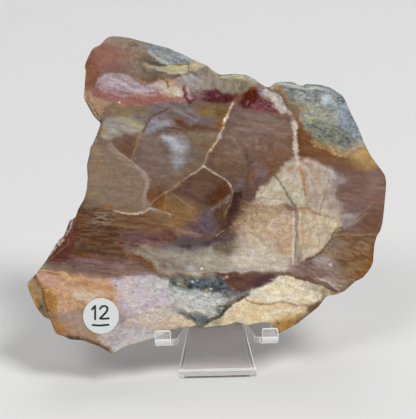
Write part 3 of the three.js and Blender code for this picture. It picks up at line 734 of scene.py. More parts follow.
        Zone((164, 164, 134), (136, 132, 108), (298, 107, 306, 106, 318, 106, 334, 108, 340, 114, 341,
            126, 344, 138, 348, 146, 340, 150, 330, 146, 318, 140, 310, 132, 304, 122), 3, size=2.4,
            contrast=1.5, strength=0.75, wobble=2),
        Zone((164, 174, 182), (132, 142, 152), (334, 106, 342, 104, 349, 107, 354, 117, 360, 130, 361,
            138, 352, 137, 344, 128, 338, 118), 2, size=2.4, contrast=1.3, strength=0.9, wobble=1.5),
        Vein((186, 194, 194), (279, 83.5, 286, 83.8, 293, 84.5, 299, 87), 2.8, soft=1, strength=0.8),
        Vein((92, 96, 100), (284, 81.3, 290, 81.5, 295, 83.3), 1.4, soft=0.6, strength=0.85),
        Vein((104, 106, 106), (284, 88.5, 290, 88.3, 296, 89, 304, 91), 2, soft=0.9, strength=0.75),
        Vein((202, 198, 164), (291, 86.2, 298, 87.2, 304, 89, 312, 88.5, 318, 88), 1.5, soft=0.7,
            strength=0.8),
        Vein((78, 80, 84), (304.5, 86, 306.5, 84, 309, 83.6), 1.7, soft=0.7, strength=0.85),
        Vein((182, 194, 204), (309, 85.5, 315, 86, 319, 86.8), 2.2, soft=0.8, strength=0.8),
        Vein((116, 122, 130), (311, 84.2, 318, 84.6, 326, 86, 332, 88.5), 1.3, soft=0.6, strength=0.75),
        Vein((184, 196, 200), (320, 87.5, 326, 88.5, 332, 90), 2.6, soft=0.9, strength=0.8),
        Vein((90, 96, 104), (319, 90.3, 324, 90.8, 330, 92.5), 1.7, soft=0.8, strength=0.75),
        Patch((134, 116, 86), (308.5, 90.5), (1.6, 2.2), 20, soft=0.8, strength=0.7),
        Patch((196, 210, 208), (325.5, 98.5), (5, 5), 20, strength=0.95),
        Patch((70, 72, 72), (319.8, 99.5), (1.5, 3.4), -20, soft=0.7, strength=0.8),
        Patch((36, 40, 44), (338.3, 99.8), (1, 3), soft=0.5, strength=0.95),
        Patch((54, 58, 62), (342.8, 101.2), (1, 1.2), strength=0.85),
        Patch((66, 74, 78), (331, 93.6), (2.5, 1.2), -15, soft=0.8, strength=0.7),
        Vein((96, 94, 86), (320, 104.8, 326, 105.8, 331, 106.3), 1.5, soft=0.7, strength=0.7),
        Patch((112, 110, 102), (300, 95), (3.6, 1.6), -10, soft=0.8, strength=0.7),
        Patch((104, 102, 94), (316, 97.5), (4.5, 3), soft=0.9, strength=0.6),
        Patch((100, 98, 90), (319, 112.7), (4, 1.1), 4, soft=0.7, strength=0.7),
        Patch((196, 190, 130), (312, 119), (3, 2), soft=0.8, strength=0.75),
        Patch((194, 188, 140), (309, 109.5), (5, 2), 6, soft=0.9, strength=0.6),
        Patch((176, 140, 60), (304, 111), (3, 1.2), -6, soft=0.8, strength=0.8),
        Patch((188, 202, 204), (342, 106.5), (5, 2.2), -25, soft=0.9, strength=0.8),
        Patch((50, 54, 60), (348.6, 112.3), (1, 0.9), soft=0.5, strength=0.9),
        Patch((46, 50, 56), (352, 117), (1.3, 1.6), -30, soft=0.5, strength=0.9),
        Patch((140, 150, 164), (322, 91.5), (5, 1), soft=0.9, strength=0.5),
    )),
    Region("Right lower corner: olive, brown and mauve", Grain.FIBROUS, (
        Zone((124, 100, 76), (108, 84, 62), (322, 252, 330, 242, 336, 232, 350, 234, 378, 234, 384, 240,
            380, 262, 370, 280, 358, 286, 348, 292, 336, 296, 322, 290, 300, 280, 280, 273, 290, 264, 304,
            262, 314, 257), 2.5, size=6, stretch=3, angle=-10),
        Zone((116, 96, 96), (106, 82, 78), (334, 237, 350, 237, 366, 240, 374, 244, 372, 250, 360, 250,
            346, 246, 334, 243), 3, size=4, stretch=3, strength=0.85),
        Zone((126, 84, 50), (104, 66, 38), (356, 252, 366, 250, 375, 248, 375, 262, 366, 262, 358, 259),
            2.5, size=3.4, stretch=2.5, angle=15, strength=0.9),
        Zone((142, 114, 72), (124, 96, 60), (350, 260, 362, 261, 374, 262, 370, 270, 364, 278, 356, 276,
            350, 268), 3, size=3.4, stretch=3, angle=-12),
        Patch((156, 130, 90), (350, 262.5), (5, 1.4), -12, soft=0.9, strength=0.7),
        Zone((150, 132, 114), (134, 114, 98), (328, 268, 336, 270, 346, 276, 352, 282, 346, 288, 338,
            293, 330, 290, 322, 286, 318, 278), 3, size=3.4, stretch=3, angle=-25),
        Vein((178, 160, 138), (322, 287, 330, 284, 338, 281, 346, 281), 2, soft=1.2, strength=0.6),
        Vein((168, 150, 126), (326, 279, 334, 276, 342, 276, 350, 279), 1.8, soft=1.2, strength=0.5),
        Patch((132, 86, 52), (352, 277), (6, 2), -25, soft=0.9, strength=0.6),
        Zone((146, 136, 132), (130, 116, 110), (311, 258, 320, 254, 330, 257, 336, 262, 334, 272, 328,
            278, 320, 276, 316, 268, 312, 262), 2.4, size=4),
        Patch((152, 146, 150), (326, 268), (5, 2.4), -8, soft=0.9, strength=0.7),
        Zone((126, 102, 92), (112, 86, 76), (284, 272, 290, 265, 300, 263, 308, 260, 316, 262, 318, 272,
            324, 278, 312, 278, 298, 275), 2, size=4, stretch=2),
        Patch((112, 66, 44), (311, 276), (4, 3), 10, soft=0.9, strength=0.75),
        Patch((100, 76, 58), (326, 275.5), (5, 2), -20, soft=0.9, strength=0.6),
        Vein((176, 140, 96), (335, 235.4, 348, 234.9, 362, 234.5, 379, 234.2), 2, soft=0.9,
            strength=0.8),
        Vein((98, 66, 46), (338, 236.9, 352, 236.4, 366, 236.2, 379, 236), soft=0.8, strength=0.6),
        Zone((126, 90, 62), (112, 78, 56), (364, 212, 376, 204, 387, 205, 385, 222, 380, 234, 366, 233,
            358, 226), 4, size=4, stretch=2, angle=-30, strength=0.8),
        Patch((146, 104, 66), (378, 207), (5, 3), -20, soft=0.9, strength=0.7),
        Patch((150, 98, 78), (376, 200), (3.4, 2.6), soft=0.9, strength=0.7),
        Patch((156, 96, 70), (379.6, 195.5), (2.2, 1.8), soft=0.8, strength=0.85),
        Vein((156, 130, 116), (343, 228, 350, 225, 357, 221, 363, 217, 369, 211), 1.8, soft=1.1,
            strength=0.7),
        Zone((158, 150, 148), (136, 126, 122), (338, 226, 338, 216, 346, 216, 354, 214.5, 360, 215, 356,
            220, 350, 224, 344, 228), 2, size=4, strength=0.9),
        Zone((178, 162, 142), (164, 148, 130), (319, 206, 328, 200, 336, 202, 342, 206, 342, 216, 339,
            222, 338, 228, 332, 236, 326, 244, 321, 248, 318, 232, 319, 218), 2, size=4, stretch=1.6),
    )),
    Region("Cream block, lower half, with its stains and cracks", Grain.GRANULAR, (
        Patch((168, 128, 84), (304, 217), (5, 4), -20, soft=0.9, strength=0.6),
        Patch((198, 188, 178), (303, 261), (3, 2.4), 25, soft=0.85, strength=0.8),
        Vein((104, 84, 68), (297.5, 213, 298.3, 219, 297.5, 226, 296, 232), 1.8, soft=0.8,
            strength=0.75),
        Vein((178, 132, 78), (296, 209.5, 303, 208.8, 310, 209.3, 314, 212, 318, 214.5), 2, soft=0.8,
            strength=0.85),
        Vein((126, 92, 62), (312, 211, 316, 214, 320, 215.8, 326, 217), soft=0.7, strength=0.75),
        Vein((186, 138, 78), (302.5, 165, 301.5, 171, 303.5, 176, 303.8, 184, 304, 190, 305.3, 196, 305,
            200), 1.5, soft=0.7, strength=0.8),
    )),
    Region("Speckled cream and peach field", Grain.GRANULAR, (
        Zone((194, 182, 162), (172, 152, 128), (254, 202, 256, 194, 260, 188.5, 266, 186.5, 271, 182,
            270.5, 177, 276, 173, 282, 166, 292, 163, 300, 164, 302, 172, 304, 190, 305, 204, 298, 209, 296,
            216, 295, 230, 295.5, 250, 293.5, 258, 293, 263, 290, 266, 285, 271, 272, 271.5, 258, 271.5,
            245, 272, 230, 272.5, 214, 275, 200, 276, 186, 274, 165, 272, 150, 264, 136, 252, 140, 248.5,
            160, 249.5, 180, 251, 196, 247, 210, 243, 222, 248, 232, 243, 236, 238, 232, 230, 236, 222, 242,
            214, 248, 206), 1.6, size=3.6, stretch=1.4, angle=-15, contrast=1.1, wobble=1.6),
        Zone((186, 160, 130), (170, 144, 116), (240, 214, 248, 205, 260, 205, 275, 208, 284, 212, 290,
            218, 294, 228, 294, 246, 286, 256, 276, 256, 268, 250, 258, 240, 246, 238, 238, 232, 236, 224),
            3, size=2.8, contrast=1.3, wobble=1.6),
        Zone((206, 200, 182), (186, 176, 152), (258, 203, 258, 193, 264, 188, 273, 184, 274, 178, 282,
            180, 288, 190, 292, 200, 286, 206, 276, 207, 266, 205), 2, size=2.6),
        Zone((206, 202, 176), (186, 178, 150), (282, 180, 290, 178, 300, 182, 303, 194, 304, 204, 297,
            207, 293, 202, 288, 192), 1.2),
        Zone((184, 160, 138), (168, 140, 116), (276, 174, 284, 167, 294, 165, 302, 170, 303, 180, 296,
            180, 286, 178, 278, 177), 2, size=2.8, contrast=1.2),
        Patch((164, 168, 174), (274.5, 179.5), (4.4, 3.4), -35, soft=0.85, strength=0.85),
        Patch((192, 170, 160), (255.5, 203), (4.6, 3), soft=0.9, strength=0.6),
        Vein((168, 118, 92), (262, 198.2, 268, 198, 276, 198.8, 284, 198.6), 1.4, soft=0.9,
            strength=0.7, beads=0.8),
        Vein((170, 138, 96), (252, 205.6, 262, 206, 272, 206.6, 282, 207), 1.8, soft=1.2, strength=0.7,
            beads=0.8),
        Vein((168, 134, 88), (269, 243.5, 271, 249, 275, 254, 280, 256.6, 286, 255.4, 289, 250, 290,
            244), 4, soft=1.8, strength=0.75, beads=0.4),
        Zone((204, 194, 180), (186, 170, 152), (236, 252, 246, 243, 256, 240, 264, 247, 272, 254, 284,
            260, 290, 254, 293, 262, 288, 267, 278, 270, 262, 270, 246, 270, 234, 266), 2.4, size=4,
            stretch=1.8, angle=-20),
        Patch((206, 208, 208), (287, 256), (2, 3.4), -30, soft=0.85, strength=0.75),
        Vein((196, 202, 204), (226, 270.4, 236, 269.6, 246, 270.2, 254, 270, 264, 269.4, 272, 269.6,
            282, 269.8), 2.4, soft=1.1, strength=0.75),
    )),
    Region("Grey-olive shade left of the field", Grain.GRANULAR, (
        Zone((114, 108, 96), (96, 86, 74), (208, 243, 218, 238, 230, 240, 240, 246, 238, 254, 230, 258,
            222, 256, 212, 250), 3, size=3.2, contrast=1.2, strength=0.9),
        Patch((150, 134, 108), (236, 247), (4, 6), -25, soft=0.95, strength=0.6),
        Patch((120, 84, 60), (220, 246.5), (2.6, 1.6), soft=0.9, strength=0.6),
        Patch((128, 100, 72), (227, 252.6), (3, 1.4), soft=0.9, strength=0.6),
        Patch((152, 162, 170), (238, 238), (5, 3.6), 10, soft=0.85, strength=0.85),
        Zone((108, 94, 92), (88, 70, 66), (220, 242, 216, 238, 222, 233, 230, 228, 236, 232, 236, 238,
            230, 241), 2, strength=0.85),
        Patch((108, 84, 66), (229, 233), (7, 2), 10, soft=0.9, strength=0.8),
        Zone((180, 148, 112), (160, 128, 96), (232, 230, 238, 226, 248, 230, 256, 236, 250, 240, 240,
            238), 2, size=2.8, contrast=1.2, strength=0.8),
    )),
    Region("Spots of the field", Grain.GRANULAR, (
        Patch((152, 110, 78), (262, 203), (1.8, 1.1), soft=0.7, strength=0.75),
        Patch((158, 118, 88), (283, 204), (2.4, 1.2), soft=0.8, strength=0.6),
        Patch((206, 208, 208), (242, 226), (1.5, 1.5), soft=0.7, strength=0.9),
        Vein((198, 204, 200), (248, 222.6, 252, 224.6, 257, 226.2), 2, soft=0.8, strength=0.85),
        Patch((202, 206, 206), (275, 234), (1, 1.5), soft=0.7, strength=0.8),
        Patch((204, 214, 214), (286.7, 237.6), (1.1, 1.4), soft=0.7, strength=0.85),
        Vein((118, 96, 70), (241, 221, 245, 224, 249, 227.4, 253, 229), 1.3, soft=0.8, strength=0.65),
        Zone((136, 108, 96), (120, 92, 80), (285, 204, 290, 203, 294, 208, 296, 212, 290, 214, 286,
            211), 1.6, size=2.4),
    )),
    Region("Cracks round the field", Grain.GRANULAR, (
        Vein((106, 98, 92), (273, 170, 276, 175, 280, 180, 283, 185, 286, 191, 289, 195), 1.5, soft=0.6,
            strength=0.85),
        Vein((98, 84, 68), (286, 191, 289, 195, 292, 199, 294, 204, 296, 208), 2, soft=0.8,
            strength=0.85),
        Vein((150, 132, 112), (296, 210, 294.5, 214, 294.5, 222, 296, 230, 295.6, 240, 295.4, 250,
            293.6, 256), 3.6, soft=1.6, strength=0.75),
        Vein((104, 84, 70), (293, 216, 295, 222, 296, 230, 295.8, 238, 295.4, 248), soft=0.7,
            strength=0.8),
        Zone((136, 118, 106), (118, 98, 88), (294, 252, 298, 254, 301, 260, 302, 264, 294, 264, 292.6,
            258), 1.2),
        Zone((146, 138, 138), (124, 108, 102), (292, 258, 298, 262, 296, 266, 290, 267.6, 289, 265),
            1.2, strength=0.8),
        Vein((84, 62, 54), (340.5, 229, 337.5, 228, 335.2, 229.6, 333.4, 233, 332.4, 236.5, 330, 240,
            327.6, 243.4, 324.6, 246.4, 322, 249.4, 320, 252.6, 316.6, 255.2, 312, 257.2, 308, 259, 304,
            262.4, 301, 262.6), 1.7, soft=0.6, strength=0.95),
        Vein((158, 118, 68), (321.5, 250.6, 323, 253.4, 328, 255.2, 332, 256.2, 334.6, 259.4), 2.6,
            soft=1.1, strength=0.8),
        Patch((238, 238, 238), (330.6, 264.6), (1.9, 2), soft=0.45),
    )),
    Region("Centre dark: veins, maroon band and brown ground", Grain.FIBROUS, (
        Zone((114, 84, 68), (98, 68, 52), (168, 190, 180, 181, 192, 173, 202, 167, 212, 172, 224, 180,
            231, 187, 232, 198, 228, 210, 222, 232, 208, 238, 192, 230, 184, 224, 196, 216, 206, 208, 196,
            212, 182, 202, 170, 194), 2, size=6, stretch=1.5, angle=40),
        Zone((98, 60, 34), (80, 46, 28), (206, 196, 214, 187, 222, 185, 230, 187, 232, 190, 227, 194,
            222, 200, 216, 206, 210, 208, 204, 210), 2.4, size=4, strength=0.95),
        Zone((134, 118, 104), (102, 82, 70), (219, 204, 223, 197, 227, 193, 231, 194, 231.6, 199, 229,
            205, 226, 210, 222, 208), size=1.8, contrast=1.2),
        Patch((202, 170, 140), (227, 202.4), (1.2, 1.2), soft=0.7, strength=0.8),
        Patch((104, 76, 70), (225, 205.4), (2.4, 1.6), soft=0.8, strength=0.7),
        Zone((78, 48, 42), (62, 38, 38), (232, 190, 243, 190, 242, 198, 240, 206, 238, 212, 234, 217,
            231, 223, 228, 228, 222, 232, 216, 240, 214, 236, 222, 226, 226, 214, 228.6, 208, 231, 200),
            1.4, stretch=3, angle=-115, contrast=1.1),
        Zone((62, 46, 46), (52, 38, 40), (233, 192, 239, 193, 238, 200, 234, 206, 231, 204, 232, 197),
            1.6, strength=0.85),
        Zone((106, 66, 40), (90, 56, 36), (214, 208, 222, 208, 226, 212, 224, 222, 221, 230, 216, 234,
            214, 224), 2, stretch=2, angle=90, strength=0.9),
        Vein((136, 96, 78), (227, 207, 225.6, 212, 224.6, 218), 1, soft=0.6, strength=0.6),
        Patch((132, 112, 108), (212, 211.5), (5, 3), 30, soft=0.85, strength=0.7),
        Zone((116, 104, 110), (94, 80, 86), (196, 216, 202, 212, 210, 211, 214, 218, 215, 228, 212, 234,
            204, 232, 196, 226, 192, 222), 2.4, size=4),
        Patch((110, 66, 40), (203, 236.6), (5.4, 1.8), -4, soft=0.85, strength=0.85),
        Vein((206, 178, 142), (216, 236.4, 218.4, 234.2, 221, 231.8, 224, 230.6), 1.5, soft=0.7,
            strength=0.85, beads=0.3),
        Vein((50, 30, 26), (214, 239, 217, 237.4, 220, 235.6, 223, 232), 1.4, soft=0.8, strength=0.8),
        Zone((82, 64, 68), (98, 84, 88), (170, 246, 176, 241, 184, 235.5, 192, 235, 200, 238.6, 210,
            239.4, 220, 238.6, 228, 240, 222, 244, 210, 246, 196, 249, 182, 250, 172, 250), 2, size=3.4,
            stretch=2.4),
        Zone((92, 70, 74), (108, 88, 90), (178, 226, 186, 222, 196, 222, 202, 228, 206, 234, 198, 233,
            190, 231, 182, 230), 2, stretch=2, angle=-20),
    )),
    Region("Middle left below the vein", Grain.FIBROUS, (
        Zone((134, 106, 74), (120, 92, 66), (148, 212, 156, 202, 168, 196, 180, 199, 190, 206, 198, 212,
            196, 220, 186, 224, 172, 226, 158, 224, 148, 220), 2, size=5, stretch=1.6, angle=60,
            strength=0.95),
        Zone((126, 84, 46), (108, 70, 40), (145, 198, 146, 190, 152, 186, 162, 188, 168, 192, 166, 198,
            166, 206, 165, 212, 158, 210, 150, 206, 158, 199, 150, 202), 1.4, size=3.4, contrast=1.1),
        Patch((138, 88, 36), (152.4, 200.4), (2.6, 2.4), soft=0.85, strength=0.75),
        Patch((146, 104, 50), (162, 207), (4, 4), soft=0.85, strength=0.7),
        Vein((96, 58, 30), (160, 191, 162, 195, 161, 200), 2.6, soft=1.4, strength=0.6),
        Vein((172, 138, 98), (166.4, 194, 165.4, 200, 165.4, 206, 165, 210), 1.4, soft=0.8,
            strength=0.65),
        Patch((150, 138, 144), (153.5, 211), (4.6, 2.6), -10, soft=0.8, strength=0.85),
        Patch((176, 160, 156), (163, 212.6), (2, 1.2), soft=0.8, strength=0.6),
        Vein((196, 176, 156), (166, 212.6, 168, 214.6, 169.6, 217.6), 1.4, soft=0.8, strength=0.7),
        Vein((168, 140, 112), (171, 192, 176, 196, 181, 200, 186, 204.6, 190.6, 208), 1.4, soft=0.8,
            strength=0.7),
        Zone((130, 100, 76), (114, 84, 60), (108, 214, 120, 214, 134, 215, 146, 214, 158, 222, 176, 226,
            186, 224, 180, 230, 160, 232, 138, 231, 120, 231, 106, 228), 2.4, size=4, stretch=4),
        Zone((116, 92, 94), (106, 78, 76), (118, 231, 132, 231, 150, 231.6, 164, 231, 172, 236, 164,
            244, 154, 242, 146, 246, 130, 246, 120, 240), 2.2, size=4, stretch=2, contrast=1.1),
        Patch((122, 104, 110), (131, 236), (5, 4), soft=0.9, strength=0.7),
        Patch((104, 58, 56), (157, 236.6), (2.4, 3.4), soft=0.85, strength=0.7),
        Zone((110, 74, 58), (94, 60, 50), (160, 230, 176, 230, 178, 238, 172, 244, 164, 244, 160, 240),
            2),
        Patch((86, 42, 34), (169.6, 236.4), (2, 3.6), -20, soft=0.8, strength=0.85),
        Patch((134, 88, 52), (174, 235), (1.8, 4.4), soft=0.85, strength=0.75),
        Patch((122, 78, 44), (153.6, 243), (4, 1.8), 40, soft=0.85, strength=0.75),
        Patch((120, 44, 36), (121.6, 242.6), (3.6, 1.5), -28, soft=0.7, strength=0.85),
        Vein((168, 140, 124), (178, 229, 183, 231.6, 189, 232.4, 195, 233, 200, 236), 2, soft=1.1,
            strength=0.75),
        Vein((140, 116, 116), (172, 232, 178, 232.6, 183, 230), 3, soft=1.6, strength=0.6),
        Zone((160, 152, 140), (142, 130, 118), (134, 250, 144, 248.6, 158, 249.6, 172, 250, 186, 250,
            200, 247, 212, 250, 222, 256, 232, 262, 236, 268, 226, 271, 212, 273, 196, 272, 180, 272, 166,
            272, 156, 266, 146, 258), 2.4, size=4, stretch=1.8, angle=-15),
        Zone((178, 172, 156), (160, 152, 136), (196, 254, 206, 252, 216, 256, 226, 262, 230, 268, 218,
            270, 204, 270, 196, 264), 3, size=4),
        Zone((120, 118, 122), (132, 128, 126), (156, 246, 166, 244, 178, 247, 190, 249, 200, 248, 196,
            252, 180, 252, 166, 250), 2.2, stretch=3, strength=0.85),
        Patch((132, 106, 62), (181, 252.4), (2.8, 2.2), 10, soft=0.8, strength=0.75),
        Patch((138, 116, 104), (165, 264), (2.2, 9), soft=0.9, strength=0.7),
        Patch((176, 174, 172), (190, 268), (8, 4), -6, soft=0.85, strength=0.85),
        Patch((186, 184, 180), (195, 272), (6, 2), -6, soft=0.85, strength=0.7),
        Patch((224, 222, 204), (201.6, 268.6), (1.5, 1.3), strength=0.9),
        Patch((164, 132, 78), (189, 275), (5, 1.4), -3, soft=0.8, strength=0.7),
        Patch((116, 96, 48), (203.5, 275), (2.6, 1.6), 20, soft=0.8, strength=0.75),
        Zone((122, 86, 58), (106, 68, 42), (128, 256, 134, 254.6, 140, 256, 146, 260, 152, 264, 156,
            269, 152, 271.6, 144, 268, 137, 264, 131, 260), 1.8, stretch=2, angle=-35),
        Zone((140, 114, 106), (122, 98, 90), (100, 262, 118, 262, 130, 264, 142, 270, 156, 272, 172,
            273, 186, 274, 178, 276.6, 160, 278.6, 130, 279, 112, 279.6, 96, 278), 1.8, size=3.4, stretch=3,
            angle=-6),
        Patch((156, 144, 148), (112.5, 274.6), (2, 2.8), 20, soft=0.9, strength=0.6),
    )),
    Region("Left: dark saw-streaked ground", Grain.FIBROUS, (
        Zone((118, 86, 60), (90, 62, 46), (72, 206, 84, 200, 98, 199, 108, 204, 118, 210, 116, 222, 120,
            232, 116, 244, 128, 250, 126, 262, 104, 264, 84, 262, 70, 258, 66, 248, 70, 236, 74, 222), 2.4,
            size=2.6, stretch=7, angle=-2, contrast=1.4),
        Zone((140, 120, 100), (122, 98, 78), (82, 196, 100, 194, 112, 198, 110, 206, 96, 208, 80, 210),
            2.4, size=2.4, stretch=5, angle=-3, strength=0.9),
        Patch((116, 98, 92), (86, 213), (6, 3), -10, soft=0.9, strength=0.7),
        Patch((86, 56, 28), (82, 221), (6, 4), soft=0.9, strength=0.75),
        Patch((80, 54, 30), (82, 233), (8, 4), soft=0.9, strength=0.7),
        Patch((110, 92, 92), (101, 235), (7, 3), soft=0.95, strength=0.5),
        Vein((98, 68, 42), (92, 209, 100, 210.6, 108, 210), 1.6, soft=1, strength=0.6),
        Patch((148, 92, 44), (112.6, 206.4), (8, 2.6), -16, soft=0.8, strength=0.85),
        Patch((106, 96, 112), (77.5, 243), (5, 2.6), -25, soft=0.85, strength=0.8),
        Patch((80, 58, 58), (83, 246), (4, 3), -30, soft=0.9, strength=0.6),
        Patch((128, 80, 36), (86, 254.4), (9, 2.4), -16, soft=0.75, strength=0.9),
        Patch((130, 84, 40), (92.5, 257.4), (4, 1.6), -4, soft=0.8, strength=0.8),
        Vein((50, 36, 34), (90, 244.6, 95, 245, 99, 248), 1.4, soft=0.8, strength=0.7),
        Vein((60, 44, 36), (97, 252, 100, 254.4, 104, 254), soft=0.7, strength=0.7),
        Vein((76, 54, 48), (84, 250, 92, 249, 100, 250), 1.6, soft=1, strength=0.6),
        Patch((156, 124, 100), (97, 255.4), (1.6, 1), soft=0.8, strength=0.6),
        Zone((118, 96, 94), (104, 82, 80), (66, 258, 78, 258, 90, 262, 104, 260, 112, 266, 104, 272, 86,
            274, 72, 272, 66, 266), 2.4, stretch=4, angle=-4),
        Patch((122, 108, 118), (92, 266.6), (9, 3.4), -6, soft=0.9, strength=0.7),
        Zone((138, 118, 108), (122, 102, 92), (68, 270, 84, 270, 100, 272, 112, 276, 104, 280, 92, 279,
            78, 276, 68, 274), 1.4, stretch=4, angle=-6),
        Zone((104, 66, 52), (86, 50, 44), (46, 256, 54, 252, 64, 248, 70, 240, 74, 246, 72, 258, 64,
            262, 54, 261.6, 46, 260), 1.6, stretch=2),
        Patch((118, 66, 40), (50, 258), (4, 2.2), soft=0.85, strength=0.75),
        Patch((74, 40, 34), (71, 243), (2.6, 6), 10, soft=0.9, strength=0.7),
        Zone((142, 126, 108), (124, 104, 88), (38, 270.6, 44, 262, 52, 261, 64, 262, 72, 264, 72, 271,
            60, 271, 48, 270), 1.2, size=2.6, stretch=3, angle=-3),
        Patch((160, 152, 138), (44, 266), (4, 2.6), 35, soft=0.9, strength=0.7),
    )),
    Region("Thin bright veins of the middle", Grain.FIBROUS, (
        Vein((176, 128, 70), (237, 97, 233, 104, 230, 109, 228, 114, 225, 119, 223.5, 124, 222.5, 130,
            219.5, 136, 216, 142, 212, 147.6, 208, 152), 3.4, soft=1.6, strength=0.6, beads=0.8),
        Vein((222, 206, 178), (234, 102, 231, 107, 229, 112, 227.4, 116, 225.2, 119, 224, 123, 224, 127,
            222, 130.4, 220.6, 134, 219.6, 137.4), 2, soft=0.7, strength=0.95, beads=0.9),
        Patch((236, 224, 204), (225, 119.4), (1.8, 1.6), 30, strength=0.9),
        Patch((196, 190, 180), (220, 136.6), (1.9, 3.4), -25, soft=0.7, strength=0.9),
        Patch((146, 140, 134), (220.2, 136.4), (0.8, 1.8), -25, soft=0.7, strength=0.7),
        Vein((202, 194, 184), (219.6, 138, 217.5, 141, 215.5, 144, 213, 146.6), 2, soft=0.8,
            strength=0.85, beads=0.3),
        Patch((220, 200, 166), (211, 150), (2, 1.5), 30, soft=0.7, strength=0.95),
        Patch((216, 190, 152), (213.4, 147.4), (1.4, 1), 30, soft=0.7, strength=0.8),
        Vein((196, 182, 168), (209.6, 151, 207.6, 154, 206.5, 157, 205, 161, 203.2, 165.4), 1.3,
            soft=0.7, strength=0.85),
        Vein((210, 196, 172), (203.2, 165.6, 200, 168, 195, 171.8, 190, 175.4, 185, 179, 180, 182.2,
            175, 186, 170, 189.6, 167, 192), 1.3, soft=0.6, strength=0.85, beads=0.4),
        Vein((150, 112, 70), (186, 178, 180, 181, 174, 185.4, 168, 190), 3.4, soft=1.6, strength=0.6),
        Vein((206, 192, 166), (203, 166, 197, 170.4, 190, 175.4), 1.5, soft=0.6, strength=0.9,
            beads=0.5),
        Vein((196, 160, 122), (181, 184, 177, 187, 173, 190), 1, soft=0.6, strength=0.6),
        Patch((184, 148, 112), (166, 192), (2.4, 1.4), 20, soft=0.8, strength=0.8),
        Vein((186, 158, 122), (165, 193, 160, 197, 155, 201, 150, 205, 146, 208.4, 142, 210.8),
            soft=0.8, strength=0.8, beads=0.4),
        Vein((222, 212, 186), (142, 210.8, 138, 212, 130, 212.8, 122, 212.4, 117, 211), 2.2, soft=0.9,
            strength=0.85, beads=0.4),
        Vein((200, 160, 110), (138, 209.6, 130, 209.8, 122, 209.2, 114, 209), 1.8, soft=0.9,
            strength=0.7),
        Vein((176, 132, 86), (118, 211, 113, 209.4, 107, 208), 2, soft=0.9, strength=0.8),
        Patch((206, 166, 92), (129, 211.4), (1.6, 1.4), soft=0.8, strength=0.7),
        Vein((206, 196, 180), (203.4, 165.6, 206, 168, 210, 170.8, 215, 174, 220, 177, 224, 179.5, 228,
            183, 231, 186), 1.5, soft=0.6, strength=0.9, beads=0.4),
        Vein((110, 72, 40), (204, 168.6, 210, 173, 216, 176.4, 222, 180), 1.6, soft=0.9, strength=0.5),
        Patch((226, 216, 192), (203.4, 166), (2, 1.3), -35, strength=0.9),
        Vein((190, 164, 138), (231, 186, 232.5, 190, 232.2, 196, 231, 201, 228.6, 206.4, 226.6, 210,
            225, 216), 1.4, soft=0.7, strength=0.85),
        Vein((150, 120, 100), (233, 190.4, 237, 191.6, 240, 191), soft=0.8, strength=0.6),
    )),
    Region("White granular vein of the right", Grain.GRANULAR, (
        Vein((196, 168, 140), (286, 110, 290, 113, 292.4, 118, 294, 124, 295.4, 131, 295.4, 138, 295.8,
            146, 295, 152, 296.4, 158, 298.6, 163, 301, 170), 4.2, soft=1.6, strength=0.65, beads=1),
        Vein((222, 216, 202), (288.4, 111, 291, 114), 2.6, soft=0.9, strength=0.8, beads=0.6),
        Vein((226, 220, 206), (293.6, 121.6, 295.4, 126, 294.6, 130, 295.4, 134, 295.4, 138), 2.8,
            soft=0.8, strength=0.95, beads=1),
        Vein((212, 198, 178), (295.4, 138, 296, 143, 295, 147, 295.4, 152), 2.4, soft=0.9, strength=0.8,
            beads=0.7),
        Vein((224, 220, 212), (294.6, 149, 294.4, 153, 296, 157, 297.6, 160, 298.2, 164), 2.4, soft=0.8,
            strength=0.9, beads=0.9),
        Patch((196, 184, 186), (292, 159), (4, 2.6), -20, soft=0.9, strength=0.7),
        Patch((168, 150, 140), (293, 118), (2, 4), soft=0.9, strength=0.6),
        Vein((104, 60, 34), (297.6, 127, 297.4, 133, 299, 140, 299, 147, 297.4, 153, 300, 158), 1.5,
            soft=0.8, strength=0.7),
        Vein((122, 84, 56), (290, 133, 291.6, 140, 290.6, 148), 1.6, soft=0.9, strength=0.6, beads=0.5),
    )),
    Region("Brown-purple wedge and its grey foot", Grain.FIBROUS, (
        Zone((112, 80, 70), (98, 66, 58), (214, 275, 222, 273, 236, 272, 256, 271.5, 272, 271.5, 286,
            271, 290, 272.6, 279, 275, 274, 280, 270, 283.5, 262, 286.5, 254, 289, 246, 293, 236, 293, 228,
            290, 226, 282, 216, 277), 0.9, size=4, stretch=2, angle=-10),
        Zone((96, 68, 68), (84, 60, 66), (262, 276, 272, 273, 277, 276, 273, 281, 268, 284, 260, 286,
            252, 288, 254, 282), 2, strength=0.85),
        Zone((104, 76, 58), (90, 62, 48), (228, 288, 240, 289, 250, 291, 246, 296, 241, 300, 232, 301,
            229, 296), 1.6, size=2.4),
        Zone((136, 134, 136), (116, 112, 114), (230, 291, 240, 292, 252, 290, 250, 294, 244, 298, 234,
            297), 1.4, size=2.2, strength=0.9),
        Vein((116, 84, 54), (214, 273.6, 224, 273.8, 232, 274.4), 2, soft=1, strength=0.7),
        Patch((222, 184, 148), (226.8, 276.6), (1.8, 1.2), strength=0.95),
        Vein((124, 104, 96), (252, 272, 262, 273, 272, 273, 284, 273.6), 1.4, soft=0.9, strength=0.5),
        Vein((70, 48, 44), (276, 273.2, 284, 274.4, 292, 275.6, 300, 278.4, 308, 281.4, 316, 284.6),
            1.4, soft=0.6, strength=0.8),
        Patch((220, 206, 200), (284, 271.8), (1.8, 1), -8, strength=0.9),
    )),
    Region("Strip above the cream chunk, right", Grain.GRANULAR, (
        Zone((122, 90, 66), (102, 74, 54), (302, 276, 314, 278, 324, 281, 336, 287, 344, 291, 340, 293,
            330, 289.6, 318, 286, 308, 282, 300, 280), stretch=3, angle=-20),
        Vein((196, 178, 154), (321, 280, 328, 283, 335, 285, 342, 286), 1.8, soft=0.8, strength=0.75),
